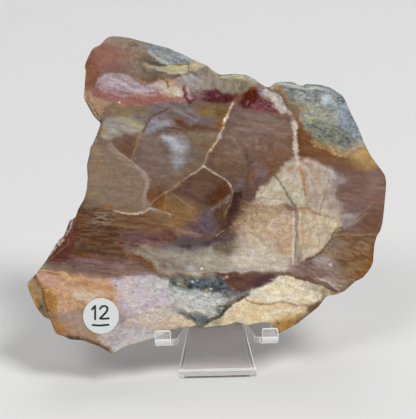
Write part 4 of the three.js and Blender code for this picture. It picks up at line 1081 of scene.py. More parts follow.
        Vein((104, 84, 70), (322, 282, 330, 286, 338, 290.5), 2, soft=0.9, strength=0.7),
        Patch((206, 188, 160), (322.6, 280.4), (1.9, 0.9), strength=0.85),
        Zone((158, 134, 104), (138, 112, 84), (328, 289, 338, 292.6, 344, 292.4, 338, 296, 328, 297,
            324, 294), size=2.4, stretch=2, angle=-15),
    )),
    Region("Cream chunk of the lower right", Grain.GRANULAR, (
        Zone((216, 208, 186), (196, 182, 150), (278, 275.4, 290, 277, 300, 279.6, 310, 283, 320, 286.4,
            330, 289.6, 330, 295, 326, 298, 318, 301.4, 311, 306, 305, 312, 300, 320, 292, 326, 284, 328,
            275, 326, 266, 322, 256, 324, 247, 326, 240, 323.6, 229, 325.6, 206, 328.4, 203, 328, 220, 317,
            232, 306, 241, 301, 246, 298, 252, 290.4, 262, 286.6, 270, 283.6, 274, 280.4), 0.6, size=3.4,
            stretch=1.6, angle=20, contrast=1.2, wobble=0.7),
        Zone((214, 216, 208), (202, 202, 190), (252, 292, 262, 288, 274, 290, 284, 293, 296, 294, 300,
            300, 290, 302, 276, 300, 262, 301, 250, 298, 246, 298), 3, size=3.4, strength=0.8),
        Patch((184, 146, 90), (275, 297.4), (1.4, 1.6), soft=0.8, strength=0.8),
        Patch((190, 152, 96), (295, 299.6), (6, 1.2), soft=0.9, strength=0.7),
        Patch((196, 164, 120), (232, 314), (8, 5), 35, soft=0.95, strength=0.6),
        Patch((204, 178, 136), (222, 321), (8, 2.6), 20, soft=0.95, strength=0.6),
        Patch((188, 150, 96), (283, 307.6), (4, 1.4), 12, soft=0.9, strength=0.7),
        Vein((230, 226, 216), (276, 312.6, 284, 311, 292, 309, 299, 306.6), 3.4, soft=1.6,
            strength=0.8),
        Vein((228, 224, 200), (205, 327, 214, 321.6, 222, 315.6, 230, 308.6, 238, 303, 244, 299.6), 1.5,
            soft=0.6, strength=0.8),
        Vein((178, 120, 50), (246, 299.8, 250, 301.4, 254, 302.4, 257, 303.8, 262, 305, 266, 304.4, 270,
            303.8, 275, 304.6, 279, 303.4, 284, 303, 290, 304, 295, 303.8), 2, soft=0.7, strength=0.95,
            beads=0.3),
        Vein((150, 138, 106), (295, 303.8, 300, 305.6, 305, 306.6, 310, 306.4), 1.3, soft=0.6,
            strength=0.85),
        Patch((196, 142, 70), (252.6, 302.2), (2, 1.3), -15, soft=0.8, strength=0.8),
        Patch((146, 94, 74), (304.6, 285), (3.2, 3), soft=0.35, strength=0.9),
        # The whitish middle of this ring spot is a painted highlight.
        Patch((224, 216, 206), (304.6, 285), (1.6, 1.5), strength=0.95),
        Zone((150, 144, 116), (122, 118, 96), (312, 288, 320, 286.6, 330, 290, 328, 296, 322, 299, 314,
            298, 311, 293), 1.8, size=2, contrast=1.3),
        Patch((112, 110, 88), (317, 288), (1.8, 1.2), soft=0.8, strength=0.7),
        Vein((102, 94, 80), (324, 296, 320, 299.6, 316, 302.4, 312, 305), 2, soft=0.9, strength=0.75),
        Zone((176, 142, 92), (156, 118, 72), (266, 321.6, 276, 317, 288, 315, 298, 314, 303, 312, 301,
            319, 296, 325, 288, 330, 280, 334, 274.6, 331, 272, 326), 1.6, contrast=1.1),
        Zone((184, 136, 62), (160, 112, 46), (280, 327, 288, 320, 296, 317, 299, 320, 295, 326, 288,
            331, 281, 334, 278, 332), 2, strength=0.9),
        Zone((196, 180, 146), (180, 160, 122), (266, 319, 276, 313.6, 290, 312.6, 300, 311, 297, 315,
            286, 317, 274, 320), 1.6, stretch=2, angle=8, strength=0.85),
        Patch((124, 110, 78), (292.6, 313), (2, 1.8), soft=0.85, strength=0.75),
        Vein((130, 92, 44), (288, 322, 293, 319.6, 298, 317.6), 2, soft=1, strength=0.7),
        Patch((46, 26, 12), (277.8, 323.2), (1.3, 1.1), soft=0.5),
        Patch((196, 172, 130), (272.6, 323.6), (2.4, 2.4), soft=0.85, strength=0.7),
    )),
    Region("Lower-right brown strip of the rim, with its black patch", Grain.GRANULAR, (
        Zone((136, 104, 60), (112, 80, 42), (325, 297, 316, 302, 311, 306, 307.6, 309.6, 305, 313, 303,
            318, 308, 318, 316, 312, 323, 305, 328, 297), 0.6, size=2.2, contrast=1.2),
        Vein((92, 62, 32), (309, 307, 306, 311, 303.6, 314.6), 1.6, soft=0.8, strength=0.8),
        Patch((30, 26, 20), (302.8, 318), (3.8, 1.9), 38, soft=0.5, strength=0.97),
        Vein((40, 34, 24), (301, 320.6, 298, 322.6, 294.6, 324.8), 1.6, soft=0.6, strength=0.9),
    )),
    Region("Dark slate of the lower middle", Grain.GRANULAR, (
        Zone((124, 128, 124), (84, 90, 90), (160, 276, 176, 275.6, 190, 276, 206, 275, 218, 276, 226,
            280, 230, 290, 236, 296, 230, 300, 220, 298, 208, 296, 196, 294, 186, 290, 172, 288, 162, 284),
            2, size=2.6, stretch=1.8, angle=-25, contrast=1.5, wobble=1.4),
        Zone((104, 112, 122), (66, 70, 76), (192, 278, 206, 279, 220, 283, 229, 290, 226, 295, 214, 293,
            200, 290, 188, 289, 186, 283), 2, size=2.2, stretch=1.6, angle=-20, contrast=1.5, strength=0.9,
            wobble=1.2),
        Patch((50, 54, 54), (189, 286), (3.4, 2.4), -20, soft=0.8, strength=0.85),
        Patch((44, 46, 48), (221, 284), (2.4, 3), 15, soft=0.8, strength=0.75),
        # The small whitish spots at 192.6, 281.6, at 211, 288.4 and at 178.6, 284 are painted glints of
        # light in its pits.
        Patch((206, 212, 212), (192.6, 281.6), (1.7, 1.1), -30, strength=0.95),
        Patch((168, 176, 188), (198, 280), (1.6, 1.2), soft=0.7, strength=0.7),
        Patch((206, 198, 180), (211, 288.4), (1.9, 0.9), -4, strength=0.95),
        Patch((184, 168, 110), (207, 290), (2.2, 1), soft=0.7, strength=0.85),
        Patch((206, 204, 188), (178.6, 284), (1.5, 0.9), soft=0.7, strength=0.85),
        Vein((158, 134, 70), (178, 281, 182, 283.6, 184.6, 286), 2, soft=0.9, strength=0.75),
        Patch((142, 118, 52), (189, 281), (2.2, 1), 20, soft=0.8, strength=0.7),
        Patch((144, 116, 50), (203, 275.6), (2.6, 1.6), 20, soft=0.8, strength=0.7),
        Vein((120, 108, 72), (170, 278, 180, 278, 192, 277.6), 2, soft=1.2, strength=0.6),
        Patch((184, 180, 170), (223.6, 278.4), (1.2, 0.8), soft=0.7, strength=0.7),
    )),
    Region("Whitish diagonal and slate-green band below it", Grain.GRANULAR, (
        Zone((198, 200, 190), (156, 164, 160), (160, 289, 176, 288, 188, 290, 200, 294, 212, 296, 226,
            299, 236, 297, 236, 300, 230, 305, 224, 310, 216, 316, 208, 316, 198, 313, 186, 309, 174, 304,
            166, 298), 2, size=2.4, stretch=2, angle=-22, contrast=1.4, wobble=1.2),
        Zone((176, 182, 178), (126, 134, 134), (166, 287, 184, 288, 200, 292, 216, 294, 230, 298, 220,
            300, 206, 298, 190, 296, 174, 293), 2, size=2.2, stretch=2.4, angle=-18, contrast=1.4,
            strength=0.7),
        Patch((222, 224, 206), (202, 309), (9, 4), -14, soft=0.95, strength=0.6),
        Patch((220, 222, 212), (220, 302), (8, 2.4), 10, soft=0.95, strength=0.7),
        Patch((108, 100, 70), (201, 299), (1.9, 1.5), soft=0.8, strength=0.75),
        Patch((84, 88, 92), (218.4, 298), (1.5, 1), soft=0.7, strength=0.8),
        Patch((104, 112, 120), (187, 292), (1.3, 1.2), soft=0.7, strength=0.7),
        Patch((212, 220, 220), (181, 291.6), (3.4, 1.4), soft=0.9, strength=0.6),
        Zone((122, 126, 120), (88, 94, 90), (168, 304, 176, 305, 184, 309, 192, 312, 200, 314, 210, 318,
            216, 319, 210, 324, 204, 328, 198, 326, 192, 322, 184, 317, 176, 311), 1.4, size=2.4, stretch=2,
            angle=-35, contrast=1.4, wobble=1.2),
        Patch((88, 96, 88), (204, 322), (6, 4.6), -20, soft=0.85, strength=0.7),
        Vein((148, 158, 154), (198.6, 318, 197.4, 321.6, 199, 325, 201.6, 326.4), soft=0.7,
            strength=0.75),
        Zone((118, 114, 100), (72, 68, 56), (214, 312, 220, 307, 226, 302.6, 231, 299.6, 238, 301, 234,
            305, 226, 312, 220, 317, 212, 322, 206, 326, 204, 324, 210, 318), 1.2, size=2.2, contrast=1.4),
        Vein((196, 200, 196), (208, 318, 213, 315.6, 218, 313, 222, 309), 2, soft=0.9, strength=0.7,
            beads=0.7),
        Vein((60, 54, 42), (210, 322.6, 218, 317, 225, 310.6, 231, 305, 238, 300.6, 244, 297), 1.7,
            soft=0.8, strength=0.8),
        Patch((154, 110, 50), (235, 300.6), (3, 2), 20, soft=0.8, strength=0.85),
        Patch((186, 150, 100), (236.6, 300), (0.9, 0.9), soft=0.8, strength=0.7),
        Vein((78, 48, 36), (238, 300, 243, 298, 248, 294), 2.2, soft=1, strength=0.7),
    )),
    Region("Lilac-white field", Grain.GRANULAR, (
        Zone((196, 186, 188), (168, 148, 156), (112, 280, 128, 278.4, 146, 278, 162, 277.6, 170, 280,
            168, 288, 172, 296, 172, 304, 168, 309, 150, 310, 136, 313, 122, 315, 114, 312, 112, 300, 116,
            292, 110, 286), 1.2, size=3.2, stretch=1.8, angle=-20, contrast=1.3, wobble=1.4),
        Zone((200, 200, 194), (184, 184, 178), (112, 280, 120, 278.4, 130, 278.6, 142, 278, 156, 277.6,
            168, 277.6, 170, 284, 160, 288, 148, 288, 140, 284, 128, 281, 116, 282), 1.6, size=3.4,
            contrast=1.1, strength=0.9),
        Zone((186, 160, 168), (168, 142, 150), (140, 290, 152, 290, 164, 293, 170, 298, 166, 303, 152,
            302, 142, 304, 134, 300), 3, stretch=2, angle=-10, contrast=1.1, strength=0.8),
        Zone((174, 152, 162), (160, 138, 146), (116, 302, 126, 298, 130, 302, 128, 310, 120, 315, 116,
            310), 2.6, strength=0.75),
        Vein((150, 112, 118), (150, 309, 158, 307, 166, 306.6, 172, 306), soft=0.8, strength=0.65),
        Patch((74, 52, 44), (116.3, 286), (1, 1.6), strength=0.95),
        Patch((92, 56, 58), (161.5, 289.6), (1, 1.4), 25, soft=0.5, strength=0.95),
        Patch((158, 132, 138), (176.6, 296.6), (0.8, 0.9), strength=0.6),
    )),
    Region("Cream-orange field and pale foot", Grain.GRANULAR, (
        Zone((200, 182, 150), (180, 156, 130), (128, 316, 140, 314, 152, 309, 166, 308, 176, 311, 184,
            317, 192, 322, 196, 326, 190, 329, 180, 329, 168, 331, 154, 331, 138, 330, 124, 328, 122, 320),
            1.8, stretch=3, angle=-4, contrast=1.2, wobble=1.2),
        Patch((206, 172, 122), (134, 320), (5, 2), -8, soft=0.9, strength=0.6),
        Patch((212, 206, 196), (137, 323), (5, 1.6), -8, soft=0.9, strength=0.6),
        Vein((164, 118, 114), (131, 322, 136, 325, 141, 326.6), 1.8, soft=1, strength=0.65),
        Patch((188, 132, 66), (173.6, 318), (1.9, 1.6), soft=0.8, strength=0.85),
        Patch((200, 152, 84), (171, 313.6), (2.2, 1), -20, soft=0.8, strength=0.75),
        Patch((194, 142, 78), (173.6, 323.4), (2.4, 1.6), -60, soft=0.85, strength=0.7),
        Vein((168, 140, 116), (158, 324.6, 166, 326, 172, 328), soft=0.8, strength=0.5, beads=0.6),
        Zone((208, 196, 172), (190, 170, 140), (174, 311, 182, 316, 190, 321, 196, 325.4, 188, 328, 178,
            324, 176, 317), 1.2, size=2.6, contrast=1.1),
        Patch((110, 106, 96), (183, 328), (3, 1), 8, soft=0.85, strength=0.7),
        Patch((112, 102, 92), (179, 326.6), (1.6, 1), soft=0.85, strength=0.6),
        Zone((170, 154, 156), (152, 132, 132), (110, 312, 122, 314, 132, 316, 128, 322, 124, 328, 134,
            330, 120, 334, 108, 340, 102, 332, 104, 320), 2.4, size=3.4, contrast=1.1),
        Zone((196, 198, 190), (178, 180, 174), (124, 330, 140, 330, 156, 331, 164, 333, 160, 337.6, 150,
            340, 140, 344, 127, 347.4, 117, 352, 110, 352, 112, 346, 116, 338), 1.8, size=4, contrast=0.9),
        Patch((176, 152, 154), (146, 335.6), (2.4, 1.3), soft=0.9, strength=0.6),
        Zone((160, 138, 128), (146, 120, 108), (98, 330, 108, 332, 114, 338, 116, 346, 110, 350, 104,
            347, 94, 342, 90, 336), 2.4, size=3.4),
        Patch((184, 176, 168), (104, 342), (8, 2), -20, soft=0.95, strength=0.6),
    )),
    Region("Left lower: peach, ochre and the pale lens", Grain.GRANULAR, (
        Zone((192, 156, 120), (168, 128, 92), (36, 271, 50, 270.6, 62, 271.6, 70, 275, 85, 277, 95, 279,
            105, 280.6, 112, 281, 116, 288, 124, 295, 120, 300, 118, 308, 112, 300, 96, 299, 84, 306, 82,
            312, 70, 311, 58, 311, 46, 304, 40, 290, 34, 279), 1.4, size=3.6, stretch=2, angle=-8,
            contrast=1.2, wobble=1.2),
        Zone((196, 160, 122), (176, 128, 92), (70, 279, 84, 278, 98, 280.4, 110, 281, 114, 287, 116,
            292, 106, 292, 92, 289, 80, 289, 70, 286), 2, stretch=3, angle=-8, contrast=1.2),
        Zone((206, 192, 166), (190, 168, 138), (70, 290, 82, 289, 94, 291, 104, 294, 98, 298, 88, 301,
            78, 300, 72, 296), 1.6, stretch=2, angle=-8, contrast=1.1),
        Vein((208, 206, 196), (78, 297.6, 83, 299, 90, 299.4), 3, soft=1.4, strength=0.75),
        Zone((192, 154, 96), (170, 130, 72), (108, 292, 116, 290, 124, 294.6, 121, 299, 118, 303, 119,
            309, 114, 304, 110, 299, 104, 296), 1.4, size=2.6, contrast=1.1),
        Zone((190, 160, 152), (178, 146, 134), (38, 273, 50, 273.6, 62, 275, 66, 280, 60, 285, 50, 287,
            44, 284, 40, 279), 2, stretch=2, angle=-10, contrast=1.1),
        Vein((150, 92, 28), (42, 271, 48, 272.2, 54, 273, 60, 273.2), 1.7, soft=0.8, strength=0.85),
        Vein((206, 184, 130), (40, 270.2, 50, 270.6, 60, 272, 68, 274.6), 1.8, soft=1, strength=0.7),
        Patch((188, 166, 120), (67, 274.6), (3.4, 2.4), -15, soft=0.9, strength=0.7),
        Zone((182, 140, 80), (144, 100, 46), (44, 290, 52, 288, 60, 287, 58, 294, 57, 304, 56, 312, 48,
            310, 46, 300), 1.4, size=2.2, contrast=1.5, wobble=1.2),
        Vein((112, 74, 28), (46, 303, 50, 305, 54, 309.6), 1.3, soft=0.8, strength=0.7),
        Vein((204, 170, 100), (46, 290.6, 52, 289.4, 58, 287.6), 1.4, soft=0.8, strength=0.7),
        Vein((116, 76, 30), (48, 296, 53, 294.4, 55, 299, 52, 302), soft=0.8, strength=0.6),
        Zone((190, 158, 126), (172, 136, 112), (58, 286, 70, 283, 74, 292, 76, 302, 84, 308, 78, 311,
            66, 311, 58, 311), 2, contrast=1.3),
        Patch((196, 150, 86), (77, 301), (5, 2), -20, soft=0.9, strength=0.65),
        Patch((214, 206, 176), (66.6, 309.6), (1.6, 1.7), strength=0.9),
        Patch((142, 134, 120), (78, 308), (1.8, 2), soft=0.85, strength=0.65),
        Zone((170, 138, 106), (152, 116, 78), (48, 310, 58, 311, 70, 311.4, 84, 312, 84, 322, 90, 332,
            98, 338, 92, 341, 82, 338, 70, 337, 62, 335, 55, 332, 51, 324, 48, 318), 1.4, size=3.6,
            stretch=1.6, angle=-40, contrast=1.1, wobble=1.2),
        Zone((166, 116, 64), (142, 92, 44), (50, 321, 58, 322, 66, 326, 68, 334, 62, 335.4, 55, 333.4,
            51, 327), 2.4, contrast=1.1, strength=0.9),
        Zone((168, 150, 142), (158, 134, 118), (66, 313, 78, 312, 82, 320, 80, 328, 72, 326, 66, 320),
            3, size=3.4, strength=0.8),
        Patch((190, 166, 134), (73, 330), (5, 2.4), -4, soft=0.95, strength=0.7),
        Patch((188, 142, 86), (74, 333.4), (6, 1.6), -4, soft=0.95, strength=0.6),
        Patch((184, 148, 104), (58.6, 317.6), (1.4, 1.6), soft=0.8, strength=0.7),
    )),
    Region("Broken facet at the left and its dark crack", Grain.GRANULAR, (
        Zone((176, 148, 112), (150, 116, 78), (24, 286, 30, 278, 36, 272, 36, 279, 41, 289, 45, 297,
            45.6, 303, 46.4, 310, 50, 320, 42, 320, 34, 312, 28, 300), 0.9, size=3.4, stretch=2, angle=-60,
            contrast=1.2),
        Patch((196, 168, 124), (35, 300), (3.4, 5), 15, soft=0.9, strength=0.6),
        Patch((214, 192, 158), (41, 297), (1.2, 2), soft=0.8, strength=0.75),
        Patch((176, 138, 78), (42.6, 284.4), (2.6, 2.4), soft=0.85, strength=0.75),
        Vein((70, 44, 38), (36.4, 271.6, 34.8, 275, 35, 279, 38, 284, 41, 289, 43, 292.4), 2.6,
            soft=0.8, strength=0.95),
        Vein((98, 70, 40), (41.6, 289, 44, 293, 45, 298, 45, 303, 46.4, 310, 49, 317, 50, 320), 2,
            soft=0.9, strength=0.85),
        Patch((40, 36, 28), (31.4, 277.6), (0.9, 0.8), strength=0.6),
        Vein((72, 62, 44), (27.6, 281.6, 29.6, 279.4), 1.8, soft=0.8, strength=0.75),
        Zone((104, 88, 68), (84, 72, 58), (38, 306, 44, 308, 47, 313, 50, 319.6, 44, 318.6, 40, 313), 2,
            size=2.6, strength=0.85),
    )),
    Region("Bottom rim strip, left", Grain.GRANULAR, (
        # The dark lines along the bottom break are the rind's brown, deepened by painted shade.
        Vein((100, 64, 42), (66, 338, 72, 338.4, 78, 338.4, 86, 339, 93, 342.6, 100, 345, 106, 348), 3,
            soft=1, strength=0.85),
        Vein((72, 46, 36), (67, 338.6, 73, 339.4, 78, 339), 2.4, soft=1, strength=0.8),
        Vein((176, 128, 64), (84, 339.4, 91, 342, 98, 343.6, 104, 345, 108, 347.4), 1.8, soft=0.9,
            strength=0.8),
        Vein((96, 60, 34), (96, 346, 102, 348, 107, 350.6), 1.6, soft=0.8, strength=0.8),
        Patch((150, 102, 54), (109, 349), (3, 2.4), -30, soft=0.9, strength=0.7),
        Patch((178, 154, 122), (113, 352.6), (3, 2), 20, soft=0.9, strength=0.75),
    )),
    Region("Conchoidal chip on the left", Grain.FIBROUS, (
        Zone((126, 84, 68), (94, 52, 38), (75, 216, 76, 220, 73, 227, 71, 233, 69, 239, 67, 245, 66,
            249, 60, 254, 50, 259, 46, 258, 52, 248, 58, 240, 63, 235, 66, 226, 69, 220), 0.8, size=2.6,
            stretch=2, angle=55, contrast=1.2),
        Patch((152, 124, 92), (72, 223), (2, 4), -20, soft=0.85, strength=0.75),
        Patch((84, 40, 40), (68, 235), (1.6, 5), -12, soft=0.85, strength=0.8),
        Vein((150, 122, 108), (75.4, 219, 74.4, 223, 72.4, 228, 71, 232, 69.4, 237, 67.4, 242, 66,
            246.4), 1.4, soft=0.6, strength=0.85),
        Vein((62, 38, 30), (77, 219, 75.6, 224, 73.6, 230, 71.6, 235), 1.5, soft=0.8, strength=0.7),
        # This pale beaded line along the break's edge is a painted highlight.
        Vein((226, 208, 190), (66.6, 229.6, 65, 233.4, 62.4, 237.4, 58.6, 241.6, 55, 246, 51, 251.6,
            48.6, 255), 1.3, soft=0.6, strength=0.85, beads=0.5),
    )),
    Region("Upper-lobe chip: its white edge and the ochre strip inside it", Grain.FIBROUS, (
        Vein((178, 132, 66), (86.4, 96.4, 89, 99.6, 92, 103.6, 95, 107.6), 2.6, soft=1, strength=0.85),
        Vein((232, 214, 184), (85, 95.8, 87, 99.6, 90, 104, 92.4, 107.6, 94, 112, 97, 116, 99.4, 119),
            1.3, soft=0.6, strength=0.9),
        Vein((112, 90, 78), (84.4, 99.4, 88, 105.4, 91.4, 111, 95.6, 117), 1.5, soft=0.8, strength=0.8),
        Patch((192, 150, 128), (92.4, 110.6), (1, 1.4), soft=0.8, strength=0.7),
    )),
    Region("Thin dark or bright rims", Grain.FIBROUS, (
        Vein((120, 92, 66), (86, 190, 83.6, 198, 78.4, 207, 76, 214), 1.5, soft=0.9, strength=0.6),
        Vein((122, 98, 74), (87, 178, 86.4, 166, 89, 153), 1.3, soft=0.8, strength=0.55),
        Vein((126, 96, 84), (381, 168, 386, 176, 387, 184, 385.4, 200), 1.4, soft=0.9, strength=0.6),
        Vein((96, 62, 40), (375.6, 240, 374.4, 250, 373.6, 260), 1.6, soft=0.9, strength=0.7),
    )),
    Region("Upper left lobe, soft upper layers", Grain.FIBROUS, (
        Zone((156, 126, 116), (128, 98, 92), (97, 46, 106, 44, 120, 47, 134, 50, 148, 55, 149, 59, 138,
            60, 136, 64, 142, 68, 141, 75, 134, 78, 122, 74, 110, 73, 99, 76, 94, 70, 96, 58), 3, stretch=2,
            angle=-22, strength=0.6, wobble=1.4),
        Zone((146, 98, 70), (116, 68, 44), (84, 64, 90, 58, 95, 60, 96, 70, 94, 80, 90, 88, 84, 90),
            2.5, stretch=3, angle=80, strength=0.6),
        Patch((176, 140, 96), (121, 52.5), (5, 3), -10, soft=1.2, strength=0.6),
        Patch((184, 166, 152), (118, 46), (12, 2.2), -8, soft=1.2, strength=0.55),
        Vein((196, 186, 184), (97, 84, 101, 79, 106, 75.5, 112, 73.4, 121, 73.6, 130, 75.4), 1.6,
            soft=0.8, strength=0.75, beads=0.6),
        Zone((176, 176, 180), (138, 130, 136), (101, 81, 107, 77, 114, 76, 124, 78, 131, 82, 138, 86,
            141, 90, 132, 91.5, 122, 90, 112, 87, 104, 85), 2, size=2, stretch=3, angle=-24, contrast=1.3,
            strength=0.7),
        Vein((216, 208, 206), (104, 80, 111, 84, 119, 88.6, 128, 91.4), 1.4, soft=0.9, strength=0.75,
            beads=0.5),
        Vein((160, 118, 116), (110, 79, 118, 82.4, 126, 86, 134, 89), 1.1, soft=0.8, strength=0.6,
            beads=0.6),
        Patch((70, 60, 62), (114, 80), (0.8, 0.6), strength=0.7),
        Patch((78, 66, 66), (121, 84), (0.8, 0.6), strength=0.7),
        Patch((74, 62, 62), (108, 83.4), (0.7, 0.6), strength=0.6),
        Patch((176, 140, 72), (129.5, 74.6), (3.6, 1.5), -20, soft=0.9, strength=0.7),
        Patch((184, 150, 84), (142, 80), (4, 1.6), -26, soft=0.9, strength=0.7),
        Patch((150, 124, 108), (116, 91), (8, 2.4), -18, soft=1.3, strength=0.7),
        Zone((150, 138, 110), (124, 108, 84), (102, 102, 112, 103, 126, 105, 140, 106, 152, 106, 152,
            112, 138, 114, 122, 112, 108, 110), 3, stretch=3, angle=-10, strength=0.55, wobble=1.6),
    )),
    Region("Pale slate top, greyer with cream streaks", Grain.FIBROUS, (
        Zone((156, 160, 158), (120, 122, 122), (141, 40, 158, 43, 176, 50, 192, 57, 190, 62, 176, 62,
            164, 61, 154, 56, 146, 49), 2, size=1.6, stretch=3, angle=-26, contrast=1.4, strength=0.6),
        Vein((78, 84, 88), (139, 39.6, 148, 41, 158, 43.4, 168, 46.6, 178, 50.6), soft=0.7,
            strength=0.75, beads=0.6),
        Vein((210, 206, 186), (149, 51, 154, 55, 160, 59, 167, 62.4), 1.8, soft=0.9, strength=0.7,
            beads=0.8),
        Vein((200, 202, 196), (154, 50, 161, 54, 169, 58, 178, 60), 1.3, soft=0.8, strength=0.65,
            beads=0.8),
        Zone((196, 190, 168), (168, 154, 128), (144, 64, 154, 66, 166, 67, 178, 66, 187, 65, 186, 71,
            172, 72, 158, 71.4, 148, 69), 2, size=1.8, stretch=3, angle=-6, strength=0.55),
        Vein((178, 140, 72), (167, 68, 173, 66.6, 181, 65), 1.6, soft=0.8, strength=0.6, beads=0.5),
        Zone((188, 168, 148), (158, 132, 112), (158, 77, 166, 75, 175, 78, 178, 84, 174, 91, 164, 92,
            157, 86), 3.4, size=2, stretch=1.6, angle=-30, strength=0.5),
        Patch((178, 150, 150), (188.6, 93), (5.4, 7), 20, soft=1.2, strength=0.6),
        Patch((122, 62, 62), (184.6, 95), (2.2, 5), 10, soft=1.2, strength=0.5),
        Vein((206, 200, 200), (180, 73, 187, 78, 194, 84, 199, 90), 1.6, soft=1, strength=0.6,
            beads=0.8),
        Vein((200, 190, 188), (188, 73, 195, 78, 202, 84), 1.4, soft=1, strength=0.55, beads=0.8),
    )),
    Region("Slate cap and olive streaks of the top middle", Grain.FIBROUS, (
        Vein((96, 108, 108), (219, 74.4, 226, 73.4, 234, 72.8, 242, 73.2, 250, 75.6, 256, 79.6), 2.6,
            soft=1.1, strength=0.8, beads=0.5),
        Vein((188, 196, 190), (223, 76.4, 230, 75.4, 238, 75.2, 246, 76.8, 252, 79.6, 257, 83), 1.5,
            soft=0.8, strength=0.7, beads=0.7),
        Vein((204, 194, 124), (232, 78.6, 238, 77.8, 245, 79.4, 251, 81.4), 1.9, soft=1, strength=0.7,
            beads=0.6),
        Zone((150, 140, 108), (118, 102, 76), (231, 80, 238, 80, 246, 82, 250, 87, 246, 91, 238, 92,
            234, 87), 2.4, size=1.6, stretch=3, angle=80, contrast=1.2, strength=0.6),
        Vein((196, 186, 150), (216, 76.8, 224, 78, 231, 80, 235.6, 84, 237, 90), 1.1, soft=0.7,
            strength=0.6, beads=0.6),
        Vein((122, 96, 62), (218.6, 78.2, 226, 79.6, 232, 82, 235.4, 86), 1.3, soft=0.9, strength=0.55,
            beads=0.6),
        Zone((128, 98, 74), (104, 66, 42), (234, 92, 241, 91, 243, 96, 240, 104, 234, 104, 232.6, 97),
            2.4, size=1.6, stretch=2.4, angle=80, strength=0.7),
    )),
    Region("Maroon band and the pink granular wedge, mottled", Grain.GRANULAR, (
        Zone((118, 58, 70), (88, 24, 28), (205, 91, 216, 92, 228, 94, 236, 96, 234, 101, 222, 101, 212,
            99.6, 205, 99), 2, size=1.7, stretch=1.8, angle=-8, contrast=1.3, strength=0.6),
        Patch((152, 108, 120), (217, 95.4), (3, 1.6), -10, soft=1.2, strength=0.6),
        Zone((110, 46, 30), (76, 26, 20), (244, 91, 250, 88.8, 257, 90, 261, 95, 262, 101, 256, 105,
            247, 106, 241, 103, 241, 96), 2.4, size=1.8, stretch=1.6, angle=60, contrast=1.1,
            strength=0.75),
        Vein((162, 88, 42), (243, 93, 246.6, 90, 252, 89.4, 256.4, 90.6), 1.4, soft=0.9, strength=0.65,
            beads=0.6),
        Patch((150, 110, 112), (247, 103.4), (1.6, 3), -14, soft=1.2, strength=0.7),
        Zone((138, 92, 98), (82, 28, 34), (257, 100, 264, 99, 272, 102, 277, 107, 280, 111, 270, 111,
            262, 108, 256, 104), 2.2, size=1.4, stretch=1.5, angle=-30, contrast=1.3, strength=0.7),
        Vein((128, 46, 40), (247, 107, 256, 108.6, 266, 110.6, 276, 111.8, 284, 113), 1.5, soft=1,
            strength=0.7, beads=0.5),
        Zone((172, 160, 164), (130, 114, 116), (256, 90, 262, 88, 268, 91, 268, 97, 262, 97, 257, 95),
            1.6, size=1.5, contrast=1.2, strength=0.7),
        Zone((190, 176, 166), (128, 106, 96), (265.6, 88, 271, 90.4, 277, 95, 282.6, 101, 285.4, 107,
            286.6, 112, 280, 111.6, 275.6, 106, 271.6, 101, 267.4, 96.4, 264.6, 92), 1.6, size=1.4,
            stretch=1.4, angle=-50, contrast=1.3, strength=0.85),
        Patch((132, 66, 58), (279.6, 108), (2.4, 1.1), -30, soft=1, strength=0.5),
        Zone((146, 126, 112), (122, 98, 86), (243, 109, 258, 110.6, 274, 113.6, 288, 117, 290, 130, 272,
            127, 252, 127, 235, 128, 236, 116), 3, stretch=5, angle=-6, strength=0.6),
    )),
    Region("Upper right vein and its ochre seam", Grain.FIBROUS, (
        Zone((158, 138, 110), (118, 98, 72), (271, 83, 276, 85, 282, 88, 286, 94, 290, 102, 296, 108,
            300, 114, 297, 120, 292, 114, 287, 105, 283, 97, 277, 91, 271, 88), 1.6, size=1.7, stretch=2.6,
            angle=-52, contrast=1.1, strength=0.7),
        Vein((192, 132, 46), (274.6, 85.6, 279.4, 89, 285, 91.4, 288, 97.6, 292.6, 103.4, 297.4, 107,
            300.6, 110), 1.5, soft=0.8, strength=0.85, beads=0.7),
        Patch((206, 152, 74), (276.8, 88), (2.8, 1.8), -40, soft=1, strength=0.75),
        Patch((224, 198, 164), (300.4, 108.4), (2.2, 1.3), -40, soft=0.9, strength=0.75),
        Patch((206, 162, 92), (305.4, 110.8), (3.4, 1.3), 2, soft=0.9, strength=0.75),
        Patch((206, 200, 128), (312.6, 111), (3.2, 1.4), 4, soft=1, strength=0.7),
        Patch((206, 150, 88), (301, 119.4), (3.4, 2.2), 24, soft=1, strength=0.7),
        Patch((214, 204, 122), (313, 119), (3.2, 2), 8, soft=1, strength=0.75),
        Patch((74, 60, 38), (318.8, 123.2), (2.6, 1.4), 4, soft=0.7, strength=0.85),
        Vein((150, 98, 44), (297.6, 112, 297.6, 118, 297, 125), 1.6, soft=1, strength=0.7, beads=0.5),
    )),
    Region("Upper right, dark and pale mottle", Grain.GRANULAR, (
        Zone((184, 190, 188), (102, 108, 108), (298, 92, 312, 93, 320, 97, 334, 97, 344, 102, 345, 108,
            332, 111, 318, 110, 306, 108, 298, 101), 3, size=1.5, stretch=1.9, angle=6, contrast=1.5,
            strength=0.55, wobble=1.5),
        Vein((72, 78, 86), (283, 87.6, 288, 88.4, 294, 89.6, 300, 91, 305, 91.8), 1.5, soft=0.9,
            strength=0.75, beads=0.6),
        Vein((88, 96, 110), (274, 83.4, 282, 81.8, 290, 82, 296, 83.6), 1.6, soft=0.8, strength=0.7,
            beads=0.5),
        Patch((58, 62, 68), (307, 84.8), (2.4, 1.1), 4, soft=0.8, strength=0.85),
        Vein((98, 106, 122), (309, 85, 317, 85.6, 325, 87.4, 333, 91, 340, 96, 345, 104), 1.7, soft=0.9,
            strength=0.7, beads=0.5),
        Vein((186, 194, 204), (311, 87.4, 320, 88.6, 329, 92.4), 2, soft=1.1, strength=0.65, beads=0.6),
        Vein((78, 82, 84), (316.6, 92.6, 318, 97, 320, 102.6), 1.7, soft=1, strength=0.6, beads=0.5),
